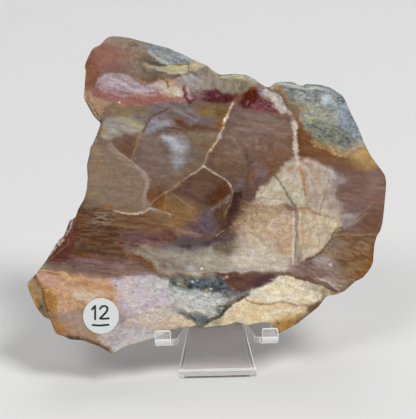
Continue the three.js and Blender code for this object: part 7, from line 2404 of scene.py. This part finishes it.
@dataclass
class StoneSlice:
    """The slice: a polished face, a rough natural rim with its chips, and a sawn back.

    Lengths are millimetres. The _PX lists are the outline's sides in the photograph, and the rim's
    levels are shares of the way from its start at the front down to the back.
    """

    thickness: float = 9.0
    face_spacing: float = 0.57
    back_spacing: float = 1.7
    rim_spacing: float = 0.62
    edge_inset: float = 0.29
    edge_drop: float = 0.55
    edge_round: float = 0.35
    back_inset: float = 1.2
    rim_levels: tuple[float, ...] = (0.06, 0.14, 0.24, 0.35, 0.47, 0.59, 0.71, 0.82, 0.91, 0.97)
    rim_relief: float = 0.5
    rim_profile_levels: tuple[float, ...] = (0.0, 0.5, 0.88, 1.0)
    rim_profile_insets: tuple[float, ...] = (0.29, 0.0, 0.45, 1.2)
    edge_ring_insets: tuple[float, ...] = (0.46, 0.7, 1.05)
    face_margin: float = 1.35
    back_margin: float = 1.6
    smoothing_rounds: int = 3
    direction_reach: int = 6
    softening_rounds: int = 2
    crease_angle: float = math.radians(48)
    rind_tones: tuple[tuple[int, ...], ...] = ((132, 100, 72), (96, 84, 74))
    back_polish: float = 0.4
    seed: int = 11

    TOP_PX: ClassVar[tuple[float, ...]] = (
        84, 100, 83.3, 97, 84.2, 82, 85.3, 71, 84, 66, 86, 60, 91, 49.5, 94, 46.5, 99, 45, 104, 39.5,
        106.5, 37, 110, 35.8, 113, 35.4, 120, 35.7, 130, 37.3, 150, 42.7, 168, 47.2, 182, 53,
        195, 59.8, 207, 64.5, 213, 69.5, 220, 74.2, 235, 73.2, 246, 74.2, 254, 78, 260, 82.5,
        264, 85, 267.5, 87, 272, 85, 274, 82.5, 281, 80.9, 293, 81.5, 301, 85, 304, 85.3,
        305.5, 83.2, 320, 84, 331, 87, 342, 94, 346.3, 100.5,
    )
    RIGHT_PX: ClassVar[tuple[float, ...]] = (
        351, 112, 359, 127.5, 364.5, 142, 371, 155, 380, 167, 385.5, 174.5, 387, 182, 386.5, 190,
        384.5, 212, 383, 224, 381, 231, 377.5, 236, 375, 245, 374, 257, 374, 261.5, 371.5, 268,
        366, 275.3, 363, 278.5, 356, 281.7, 350, 287, 345, 291.5, 337, 295, 328, 296.3,
        326.5, 297.5, 322.5, 303.5, 320, 307.5, 311.5, 314.5, 304, 320, 299, 323.2, 293, 327,
        285, 331, 279, 333.5, 277.3, 336,
    )
    BOTTOM_PX: ClassVar[tuple[float, ...]] = (
        274.5, 331.5, 272.5, 326.5, 268, 322.8, 262, 323.3, 256, 324, 247, 326, 240, 323.5,
        235, 322.8, 229, 325.5, 220, 326.3, 206, 328, 200, 328.5, 195, 326, 190, 328.3, 180, 328.5,
        172, 331.5, 164, 336, 157, 338.6, 150, 339.5, 140, 343.2, 127, 346.5, 118, 351,
        113, 355.3, 108, 353.3, 105, 350.5, 98, 347, 89, 344, 82, 341.3, 70, 340.5, 61, 336,
        56, 334.7, 52.5, 328, 50, 320.2,
    )
    LEFT_PX: ClassVar[tuple[float, ...]] = (
        46, 319.5, 42.5, 318, 36, 311, 31, 302.5, 27.5, 293.5, 25, 285.5, 28, 280.5, 37, 271.7,
        44, 262.5, 52.5, 248, 57, 240.5, 63, 235, 66.5, 226, 69, 220, 75, 217, 78, 208, 83.5, 199,
        86, 190, 87, 178, 86.3, 165, 89, 153, 89.7, 146.7, 92, 144.2, 95.5, 136, 98.3, 128.5,
        100.3, 123.2, 95.5, 119, 91.5, 114, 87.5, 106.5,
    )
    CHIPS: ClassVar[tuple[Chip, ...]] = (
        Chip("broken left side", (50, 320.2), (37, 271.7),
             (50, 320, 46, 310, 45, 303, 45, 297, 41, 289, 35.5, 278, 36.5, 273), 7.0, 0.35),
        Chip("glossy shell break", (44, 262.5), (75, 217),
             (45, 262, 57, 253, 66, 246, 71, 232, 75, 222, 75.5, 218), 3.5, 0.85),
        Chip("upper left break", (100.3, 123.2), (83.3, 97),
             (100.8, 121.5, 96, 113, 93, 107, 89, 101, 85.5, 96), 2.0, 0.5),
        Chip("bottom break", (113, 355.3), (61, 336),
             (112.5, 351, 107, 346.5, 93, 342, 86, 338.5, 78, 337, 72, 337, 62, 335), 2.5, 0.3),
        Chip("lower right break", (326.5, 297.5), (299, 323.2),
             (325, 297, 316, 302, 309, 307, 305, 312, 301, 320, 299, 322), 5.0, 0.3),
    )

    def corner_outline(self) -> np.ndarray:
        """Gives the CAD outline's corners.

        Returns:
            u and v, one row each, counter-clockwise seen from the front.
        """
        pixels = np.array(self.RIGHT_PX + self.BOTTOM_PX + self.LEFT_PX + self.TOP_PX)
        return PLANE.from_photo(pixels.reshape(-1, 2))[::-1]

    def fine_outline(self) -> np.ndarray:
        """Steps evenly along the outline and rounds its corners a little.

        Each round of smoothing moves a point a quarter of the way to each of its neighbours.

        Returns:
            u and v, one row each, counter-clockwise.
        """
        corners = self.corner_outline()
        closed = np.vstack([corners, corners[:1]])
        lengths = np.concatenate([[0], np.cumsum(np.hypot(*np.diff(closed, axis=0).T))])
        steps = np.linspace(0, lengths[-1], round(lengths[-1] / self.rim_spacing), endpoint=False)
        line = np.stack([np.interp(steps, lengths, closed[:, axis]) for axis in (0, 1)], axis=-1)
        for _ in range(self.smoothing_rounds):
            line = line / 2 + (np.roll(line, 1, axis=0) + np.roll(line, -1, axis=0)) / 4
        return line

    def inward(self, outline: np.ndarray) -> np.ndarray:
        """Gives the way into a counter-clockwise outline at each of its points.

        Args:
            outline: u and v, one row each.

        Returns:
            Directions of length 1, one row each.
        """
        reach = self.direction_reach
        along = np.roll(outline, -reach, axis=0) - np.roll(outline, reach, axis=0)
        along /= np.hypot(*along.T)[:, None]
        return np.stack([-along[:, 1], along[:, 0]], axis=-1)

    def chip_shares(self, outline: np.ndarray, chip: Chip) -> tuple[np.ndarray, np.ndarray]:
        """Finds the stretch of outline that a chip takes away.

        Args:
            outline: u and v of the fine outline, one row each.
            chip: the chip.

        Returns:
            The numbers of the stretch's points, and how far along it each one is, from 0 to 1.
        """
        ends = PLANE.from_photo(np.array([chip.to_px, chip.from_px]))
        first, last = (int(np.argmin(np.hypot(*(outline - end).T))) for end in ends)
        count = (last - first) % len(outline) + 1
        numbers = (first + np.arange(count)) % len(outline)
        return numbers, np.linspace(0, 1, count)

    def edge_drops(self, outline: np.ndarray) -> np.ndarray:
        """Gives how far below the face the rim starts at each point of the outline.

        In a chip it is the edge's own drop plus the square root of a half sine wave times the rest.

        Args:
            outline: u and v of the fine outline, one row each.

        Returns:
            The drops in millimetres.
        """
        drops = np.full(len(outline), self.edge_drop)
        for chip in self.CHIPS:
            numbers, shares = self.chip_shares(outline, chip)
            depth = np.sqrt(np.sin(np.pi * shares).clip(0))
            drops[numbers] = self.edge_drop + (chip.drop - self.edge_drop) * depth
        return drops

    def face_height(self, points: np.ndarray, outline: np.ndarray,
                    drops: np.ndarray) -> tuple[np.ndarray, np.ndarray]:
        """Works out the front's relief: flat, rounded at its edge, and scooped out in the chips.

        The rounding falls along a quarter circle. A chip falls with t + 0.2 sin(pi t), where t runs
        from 0 on the face line to 1 on the outline, and shallow ripples follow its breaking front.

        Args:
            points: u and v, one row each.
            outline: u and v of the fine outline, one row each.
            drops: the rim's start below the face along the outline.

        Returns:
            w for each point, and how deep in a chip it is, from 0 to 1.
        """
        height = np.zeros(len(points))
        broken = np.zeros(len(points))
        noise = SmoothNoise(self.seed + 1)
        corners = self.corner_outline()
        for chip in self.CHIPS:
            numbers, _ = self.chip_shares(outline, chip)
            rim = outline[numbers]
            face = PLANE.from_photo(np.array(chip.face_px).reshape(-1, 2))[::-1]
            hole = np.vstack([rim, face[::-1]])
            low, high = hole.min(axis=0) - 0.5, hole.max(axis=0) + 0.5
            near = np.flatnonzero(np.all((points > low) & (points < high), axis=1))
            here = points[near]
            to_rim, place = distance_to_line(here, rim)
            to_face, _ = distance_to_line(here, face)
            steps = np.concatenate([[0], np.cumsum(np.hypot(*np.diff(rim, axis=0).T))])
            drop = np.interp(place, steps, drops[numbers])
            share = to_face / (to_face + to_rim + 1e-6)
            inside = inside_outline(here, hole) | (to_rim < 0.3)
            ripple = 0.05 * np.sin(to_face * 2.6 + noise.cloud(here, 4.0, 2) * 2.5) * chip.drop ** 0.5
            ripple += 0.06 * noise.cloud(here, 1.4, 3, shift=31) * (1.2 - chip.gloss)
            fall = drop * (share + 0.2 * np.sin(np.pi * share)) + ripple * ease(share * 3)
            fall = np.clip(fall, 0, self.thickness - 1.0)
            height[near] = np.where(inside, np.minimum(height[near], -fall), height[near])
            broken[near] = np.where(inside, np.maximum(broken[near], ease(share * 6)), broken[near])
        depth, _ = distance_to_line(points, np.vstack([corners, corners[:1]]))
        part = np.clip((self.edge_inset + self.edge_round - depth) / self.edge_round, 0, 1)
        rounding = self.edge_drop * (1 - np.sqrt(1 - part ** 2 * 0.98))
        return np.minimum(height, -rounding), broken

    def lattice(self, outline: np.ndarray, spacing: float, margin: float) -> np.ndarray:
        """Lays a triangular lattice inside an outline.

        Args:
            outline: u and v, one row each.
            spacing: the distance between neighbours.
            margin: how far inside the outline the points stay.

        Returns:
            u and v, one row each.
        """
        low, high = outline.min(axis=0), outline.max(axis=0)
        columns = np.arange(low[0], high[0], spacing)
        rows = np.arange(low[1], high[1], spacing * math.sqrt(0.75))
        u, v = np.meshgrid(columns, rows)
        u[1::2] += spacing / 2
        points = np.stack([u.ravel(), v.ravel()], axis=-1)
        return points[depth_in_outline(points, outline) > margin]

    @staticmethod
    def triangles_in(ring: np.ndarray, inner: np.ndarray) -> tuple[np.ndarray, np.ndarray]:
        """Joins a ring and the points inside it with triangles.

        Args:
            ring: the ring's u and v, counter-clockwise, one row each.
            inner: u and v of the other points, one row each.

        Returns:
            All points, the ring first, and the triangles' point numbers.
        """
        points = np.vstack([ring, inner]).astype(np.float32).astype(float)
        loop = list(range(len(ring)))
        sides = list(zip(loop, loop[1:] + loop[:1]))
        places = [Vector(point) for point in points.tolist()]
        result = delaunay_2d_cdt(places, sides, [loop], 1, 1e-6, False)
        found = np.array([tuple(point) for point in result[0]])
        if len(found) != len(points) or not np.allclose(found, points, atol=1e-5):
            raise ValueError("The outline crosses itself or has points on top of each other.")
        faces = np.array(result[2])
        spanning = np.flatnonzero(np.all(faces < len(ring), axis=1))
        middles = points[faces[spanning]].mean(axis=1)
        outside = spanning[~inside_outline(middles, points[:len(ring)])]
        return points, np.delete(faces, outside, axis=0)

    def rim(self, outline: np.ndarray, drops: np.ndarray) -> np.ndarray:
        """Works out the rings between the front edge and the back edge.

        A ring lies at a share of the way from the rim's start down to the back. It is set in by
        layered clouds that are stretched along the thickness, and by the rounding at both ends.

        Args:
            outline: u and v of the fine outline, one row each.
            drops: the rim's start below the face.

        Returns:
            u, v and w, with one row of points for each ring.
        """
        noise = SmoothNoise(self.seed)
        lengths = np.arange(len(outline)) * self.rim_spacing
        inward = self.inward(outline)
        rings = []
        for level in self.rim_levels:
            w = -(drops + (self.thickness - drops) * level)
            places = np.stack([lengths, w * 0.45], axis=-1)
            coarse = 0.5 + 0.5 * noise.cloud(places, 5.0, 3)
            fine = 0.5 + 0.5 * noise.cloud(places, 1.3, 2, shift=23)
            seam = np.minimum(lengths, lengths[-1] - lengths) / 4
            relief = self.rim_relief * (0.65 * coarse + 0.35 * fine).clip(0) * ease(seam)
            rounded = np.interp(level, self.rim_profile_levels, self.rim_profile_insets)
            swell = ramp(np.array(level), 0, 0.25) * (1 - 0.6 * ramp(np.array(level), 0.85, 1))
            place = outline + inward * (0.02 + rounded + relief * swell)[:, None]
            rings.append(np.column_stack([place, w]))
        return np.array(rings)

    def rim_colour(self, points: np.ndarray, colour: np.ndarray, share: np.ndarray) -> np.ndarray:
        """Weathers the rim: brown and grey clouds over the pattern, darker in finer random clouds.

        Args:
            points: u, v and w, one row each.
            colour: the pattern's colours there.
            share: how much of the rind each point has, from 0 to 1.

        Returns:
            The weathered colours.
        """
        noise = SmoothNoise(self.seed + 5)
        places = np.stack([points[:, 0] + points[:, 1] * 0.4, points[:, 2] * 2 + points[:, 1]], axis=-1)
        mix = ease(0.5 + 0.8 * noise.cloud(places, 6.0, 4))[:, None]
        brown, grey_brown = (linear_colour(tone) for tone in self.rind_tones)
        rind = brown * (1 - mix) + grey_brown * mix
        dark = 1 - 0.35 * ease(noise.cloud(places, 2.0, 3, shift=9) - 0.1)[:, None]
        cover = (share * (0.5 + 0.25 * noise.cloud(places, 9.0, 2, shift=4)).clip(0, 1))[:, None]
        return (colour * (1 - cover) + rind * cover) * (1 - share[:, None] * (1 - dark))

    def build(self) -> bpy.types.Object:
        """Builds the slice as one closed mesh and paints its pattern through its thickness.

        Returns:
            The piece, which stands for the CAD's slice.
        """
        outline = self.fine_outline()
        inward = self.inward(outline)
        drops = self.edge_drops(outline)
        ring = outline + inward * self.edge_inset
        steps = [outline + inward * inset for inset in self.edge_ring_insets]
        fine = self.lattice(self.corner_outline(), self.face_spacing, self.face_margin)
        front, front_faces = self.triangles_in(ring, np.vstack([*steps, fine]))
        height, broken = self.face_height(front, outline, drops)
        count = len(outline)
        height[:count] = -drops
        back_ring = outline + inward * self.back_inset
        margin = self.back_inset + self.back_margin
        rough = self.lattice(self.corner_outline(), self.back_spacing, margin)
        back, back_faces = self.triangles_in(back_ring, rough)
        rings = self.rim(outline, drops)
        rim = rings.reshape(-1, 3)
        points = np.vstack([
            np.column_stack([front, height]), rim,
            np.column_stack([back, np.full(len(back), -self.thickness)]),
        ])
        back_start = len(front) + len(rim)
        wall = grid_faces(len(rings) + 2, count, True)
        edges = (np.arange(count), len(front) + np.arange(len(rim)), back_start + np.arange(count))
        faces = [front_faces, np.concatenate(edges)[wall], back_faces[:, ::-1] + back_start]
        mesh = make_mesh("petrified_wood_slice", PLANE.to_world(points), faces)
        self.dress(mesh, points, len(front), len(rim), broken)
        mesh.shade_smooth()
        mesh.set_sharp_from_angle(angle=self.crease_angle)
        piece = add_piece("petrified_wood_slice", mesh, StoneFinish().material())
        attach(piece, "root")
        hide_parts("petrified_wood_slab")
        return piece

    def dress(self, mesh: bpy.types.Mesh, points: np.ndarray, front: int, rim: int,
              broken: np.ndarray) -> None:
        """Paints the pattern and keeps each point's colour and polish.

        Args:
            mesh: the slice's mesh.
            points: u, v and w, one row each: the front's, the rim's and the back's.
            front: how many belong to the front.
            rim: how many belong to the rim.
            broken: how deep in a chip each point of the front is.
        """
        canvas = Canvas(PLANE.to_photo(points))
        for region in PATTERN:
            for layer in region.layers:
                layer.paint(canvas, region.grain)
        LOG.info("painted the pattern's %d regions on %d points", len(PATTERN), len(points))
        canvas.add_grain()
        share = np.zeros(len(points))
        share[front:front + rim] = 1.0
        share[:front] = ramp(-points[:front, 2], 0.2, 0.6) * (1 - broken) * 0.6
        polish = np.zeros(len(points))
        polish[:front] = 1 - ramp(-points[:front, 2], 0.05, 0.5) * (1 - broken) - 0.35 * broken
        polish[front + rim:] = self.back_polish
        colours = self.rim_colour(points, canvas.colour, share)
        self.soften_back(mesh, colours, front + rim)
        set_colours(mesh, "base", colours)
        set_values(mesh, "polish", polish.clip(0, 1))

    def soften_back(self, mesh: bpy.types.Mesh, colours: np.ndarray, start: int) -> None:
        """Blends the colours of the sawn back, whose points are further apart, into soft fields.

        Each round moves a point's colour halfway to the mean of its neighbours' colours.

        Args:
            mesh: the slice's mesh.
            colours: the points' colours, changed in place.
            start: the number of the back's first point.
        """
        ends = np.empty(len(mesh.edges) * 2, dtype=np.int32)
        mesh.edges.foreach_get("vertices", ends)
        pairs = ends.reshape(-1, 2)
        first, second = pairs[np.all(pairs >= start, axis=1)].T
        count = np.bincount(np.concatenate([first, second]), minlength=len(colours))[:, None]
        for _ in range(self.softening_rounds):
            total = np.zeros_like(colours)
            np.add.at(total, first, colours[second])
            np.add.at(total, second, colours[first])
            colours[start:] += (total / count.clip(1) - colours)[start:] / 2


@dataclass
class PaperLabel:
    """The round paper dot on the face, with a plain number written by hand."""

    radius: float = 9.45
    rest: float = 0.02
    thickness: float = 0.3
    edge_round: float = 0.15
    edge_turns: tuple[float, ...] = (0.6, 1.2, math.pi / 2)
    under_inset: float = 0.2
    crease_angle: float = math.radians(60)
    rings: int = 52
    spokes: int = 168
    strokes: tuple[tuple[float, ...], ...] = (
        (-4.6, 3.6, -3.4, 5.0, -3.0, 5.4, -3.0, 2.0, -3.1, -1.6),
        (-0.4, 3.8, 0.6, 5.0, 2.2, 5.3, 3.5, 4.5, 3.5, 3.1, 2.3, 1.4, 0.6, -0.2, -0.5, -1.3,
         1.6, -1.5, 4.0, -1.3),
        (-4.4, -4.6, -1.0, -5.0, 3.9, -4.7),
    )

    def build(self) -> bpy.types.Object:
        """Builds the dot: a disc of rings and spokes whose edge turns down to the face.

        The top is flat, falls along a quarter circle at its edge, and closes underneath.

        Returns:
            The piece, which stands for the CAD's label.
        """
        spoke = np.linspace(0, 2 * np.pi, self.spokes, endpoint=False)
        radii = np.concatenate([np.linspace(0, self.radius - self.edge_round, self.rings)[1:],
                                self.radius + self.edge_round * (np.sin(self.edge_turns) - 1),
                                [self.radius, self.radius - self.under_inset]])
        top = self.rest + self.thickness
        heights = np.concatenate([np.full(self.rings - 1, top),
                                  top - self.edge_round * (1 - np.cos(self.edge_turns)),
                                  [2 * self.rest, self.rest]])
        u = radii[:, None] * np.cos(spoke)
        v = radii[:, None] * np.sin(spoke)
        w = np.broadcast_to(heights[:, None], u.shape)
        grid = np.stack([u, v, w], axis=-1).reshape(-1, 3)
        points = np.vstack([grid, [[0, 0, top], [0, 0, self.rest]]])
        crown, under = len(grid), len(grid) + 1
        first = np.arange(self.spokes)
        last = first + len(grid) - self.spokes
        faces = [
            grid_faces(len(radii), self.spokes, True),
            np.stack([np.full(self.spokes, crown), first, np.roll(first, -1)], axis=-1),
            np.stack([np.full(self.spokes, under), np.roll(last, -1), last], axis=-1),
        ]
        middle = PLANE.from_photo(np.array([PLANE.label_middle_px]))[0]
        placed = points + np.array([middle[0], middle[1], 0])
        mesh = make_mesh("round_paper_label", PLANE.to_world(placed), faces)
        set_values(mesh, "stroke_distance", self.stroke_distance(points[:, :2]))
        mesh.shade_smooth()
        mesh.set_sharp_from_angle(angle=self.crease_angle)
        piece = add_piece("round_paper_dot", mesh, PaperFinish().material())
        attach(piece, "root")
        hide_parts("round_paper_label")
        return piece

    def stroke_distance(self, points: np.ndarray) -> np.ndarray:
        """Gives each point's distance to the nearest marker stroke.

        Args:
            points: places on the label from its middle, one row each.

        Returns:
            The distances in millimetres.
        """
        lines = [np.array(stroke).reshape(-1, 2) for stroke in self.strokes]
        return np.min([distance_to_line(points, line)[0] for line in lines], axis=0)


@dataclass
class EaselStand:
    """The clear easel, which keeps the CAD's shape and gets polished, slightly rounded edges.

    The v and w values say where in the face's plane its hooks, its ledge and its bends are, and where the
    band of painted highlight lies across the foot's bend.
    """

    edge_radius: float = 1.0
    edge_segments: int = 3
    sharp_angle: float = math.radians(35)
    sawn_angle: float = math.radians(60)
    merge_distance: float = 1e-6
    flat_angle: float = math.radians(0.5)
    side_normal_x: float = 0.2
    end_area: float = 120.0
    hook_start_w: float = -7.8
    ledge_end_w: float = 0.6
    hook_bend_v: float = -67.6
    # Where across the foot's bend the band of painted highlight lies, in v.
    painted_highlight_band_v: tuple[float, float] = (-86.4, -85.4)

    def finish(self, face: bmesh.types.BMFace) -> SheetFinish:
        """Tells a face's finish from where it is and from how sharp its longest edge is.

        Args:
            face: a face of the merged stand.

        Returns:
            The finish of the sheet, a sawn edge, a bend whitened as a painted highlight, or the rest of a
            hook.
        """
        _, v, w = PLANE.axes.T @ (np.array(face.calc_center_median()) / MM - PLANE.origin)
        longest = max(face.edges, key=bmesh.types.BMEdge.calc_length)
        sharp = longest.calc_face_angle(0.0) > self.sawn_angle
        small = face.calc_area() < self.end_area * MM * MM
        if abs(face.normal.x) > self.side_normal_x:
            on_hook = self.hook_start_w < w < self.ledge_end_w
            return SheetFinish.HAZY if on_hook else SheetFinish.SAWN
        if sharp and small:
            return SheetFinish.SAWN
        # The hooks' lower bends take the whitened finish as a painted highlight, and the rest of each hook
        # is hazy.
        if w > self.hook_start_w:
            return SheetFinish.BENT if v < self.hook_bend_v else SheetFinish.HAZY
        # A narrow band across the foot's bend takes the whitened finish as a painted highlight.
        bright = small and self.painted_highlight_band_v[0] < v < self.painted_highlight_band_v[1]
        return SheetFinish.BENT if bright else SheetFinish.CLEAR

    def build(self) -> bpy.types.Object:
        """Merges a copy of the CAD's stand and rounds its edges.

        Returns:
            The piece, which stands for the CAD's stand.
        """
        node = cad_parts["acrylic_easel_stand"]
        mesh = node.data.copy()
        mesh.transform(node.matrix_world)
        mesh.materials.clear()
        work = bmesh.new()
        work.from_mesh(mesh)
        bmesh.ops.remove_doubles(work, verts=work.verts, dist=self.merge_distance)
        bmesh.ops.dissolve_limit(work, angle_limit=self.flat_angle, verts=work.verts, edges=work.edges)
        bmesh.ops.recalc_face_normals(work, faces=work.faces)
        slots = list(SheetFinish)
        finishes = [slots.index(self.finish(face)) for face in work.faces]
        work.to_mesh(mesh)
        work.free()
        for attribute in [a.name for a in mesh.attributes if a.name == "custom_normal"]:
            mesh.attributes.remove(mesh.attributes[attribute])
        mesh.shade_smooth()
        piece = add_piece("clear_easel_stand", mesh, slots[0].value.material())
        for slot in slots[1:]:
            mesh.materials.append(slot.value.material())
        mesh.polygons.foreach_set("material_index", finishes)
        bevel = piece.modifiers.new("rounded_edges", "BEVEL")
        bevel.width = self.edge_radius * MM
        bevel.segments = self.edge_segments
        bevel.limit_method = "ANGLE"
        bevel.angle_limit = self.sharp_angle
        bevel.use_clamp_overlap = True
        bevel.harden_normals = True
        bevel.material = slots.index(SheetFinish.SAWN)
        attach(piece, "root")
        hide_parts("acrylic_easel_stand")
        # A clear sheet lets the lamps' light and the floor's light through to the stone behind it.
        piece.visible_shadow = False
        piece.visible_diffuse = False
        return piece


@dataclass(frozen=True)
class SoftLight:
    """A square soft light: its place and aim in metres, the length of its sides, and its watts."""

    name: str
    place: tuple[float, float, float]
    size: float
    power: float
    aim: tuple[float, float, float] = (0, 0, 0.08)

    def hang(self) -> None:
        """Adds the light to the scene and turns it towards its aim."""
        lamp = bpy.data.lights.new(self.name, "AREA")
        lamp.shape = "SQUARE"
        lamp.size = self.size
        lamp.energy = self.power
        light = bpy.data.objects.new(self.name, lamp)
        light.location = self.place
        way = Vector(self.place) - Vector(self.aim)
        light.rotation_euler = way.to_track_quat("Z", "Y").to_euler()
        bpy.context.scene.collection.objects.link(light)


@dataclass
class Studio:
    """The camera at the photograph's place, the pale floor and the soft lights.

    The camera's sensor is in millimetres, and the floor and the lights are in metres.
    """

    sensor_width: float = 36.0
    floor_half_width: float = 3.0
    floor_front: float = -2.0
    sweep_start: float = 1.1
    sweep_radius: float = 1.6
    floor_gap: float = 0.0002
    floor_columns: int = 25
    flat_rows: int = 18
    arc_rows: int = 33
    arc_angle: float = math.pi / 2.4
    sky: float = 0.15
    bounces: int = 24
    lights: tuple[SoftLight, ...] = (
        SoftLight("front_key", (1.8, -2.0, 3.3), 1.2, 108.0),
        SoftLight("left_fill", (-1.4, -2.5, 2.95), 1.2, 46.0),
        SoftLight("top_wash", (0, 0.3, 4.0), 2.0, 26.5, (0, 0.3, 0)),
        SoftLight("back_wash", (0, 1.4, 2.6), 1.6, 23.5, (0, 1.9, 0)),
    )

    def add_camera(self) -> None:
        """Looks straight at the middle of the photograph from the photograph's distance.

        The frame's width at that distance gives the focal length.
        """
        roll = PLANE.photo_roll
        sine, cosine = math.sin(roll), math.cos(roll)
        turn = np.array([[cosine, sine, 0], [-sine, cosine, 0], [0, 0, 1]])
        place = PLANE.to_world(np.array([[-PLANE.stand_middle_u, 0, PLANE.view_distance]]))[0]
        matrix = Matrix((PLANE.axes @ turn).tolist()).to_4x4()
        matrix.translation = Vector(place)
        lens = bpy.data.cameras.new("photo_camera")
        width = PLANE.photo_size_px[0] * PLANE.mm_per_px
        lens.sensor_width = self.sensor_width
        lens.sensor_fit = "HORIZONTAL"
        lens.lens = self.sensor_width * PLANE.view_distance / width
        lens.clip_end = 20
        camera = bpy.data.objects.new("photo_camera", lens)
        camera.matrix_world = matrix
        bpy.context.scene.collection.objects.link(camera)
        bpy.context.scene.camera = camera

    def add_floor(self) -> None:
        """Lays a wide sheet that is flat round the object and rises in a slow arc behind it."""
        across = np.linspace(-self.floor_half_width, self.floor_half_width, self.floor_columns)
        angle = np.linspace(0, self.arc_angle, self.arc_rows)
        flat = np.linspace(self.floor_front, self.sweep_start, self.flat_rows, endpoint=False)
        y = np.concatenate([flat, self.sweep_start + self.sweep_radius * np.sin(angle)])
        z = np.concatenate([np.zeros(len(flat)), self.sweep_radius * (1 - np.cos(angle))])
        u, v = np.meshgrid(across, np.arange(len(y)))
        points = np.stack([u, y[v], z[v] - self.floor_gap], axis=-1).reshape(-1, 3)
        faces = grid_faces(len(y), len(across), False)[:, ::-1]
        mesh = make_mesh("pale_floor", points, [faces])
        mesh.shade_smooth()
        add_piece("pale_floor", mesh, FloorFinish().material())

    def add_sky(self) -> None:
        """Fills the surroundings with an even pale light that only gloss and clear pieces show."""
        world = bpy.data.worlds.new("studio_sky")
        world.use_nodes = True
        background = world.node_tree.nodes["Background"]
        background.inputs["Color"].default_value = (1, 1, 1, 1)
        background.inputs["Strength"].default_value = self.sky
        world.cycles_visibility.diffuse = False
        bpy.context.scene.world = world
        paths = bpy.context.scene.cycles
        paths.max_bounces = self.bounces
        paths.transmission_bounces = self.bounces
        paths.caustics_refractive = False
        paths.caustics_reflective = False

    def build(self) -> None:
        """Adds the floor, the sky and the lights, and keeps colours as they are."""
        self.add_floor()
        self.add_sky()
        for light in self.lights:
            light.hang()
        view = bpy.context.scene.view_settings
        view.view_transform = "Standard"
        view.look = "None"


def main() -> None:
    """Builds the camera, the slice, its label, its stand and the studio, in that order."""
    logging.basicConfig(level=logging.INFO, format="%(message)s")
    studio = Studio()
    studio.add_camera()
    for part in (StoneSlice(), PaperLabel(), EaselStand()):
        piece = part.build()
        corners = sum(len(polygon.vertices) - 2 for polygon in piece.data.polygons)
        LOG.info("%s: %d points, %d triangles", piece.name, len(piece.data.vertices), corners)
    studio.build()


if __name__ == "__main__":
    main()
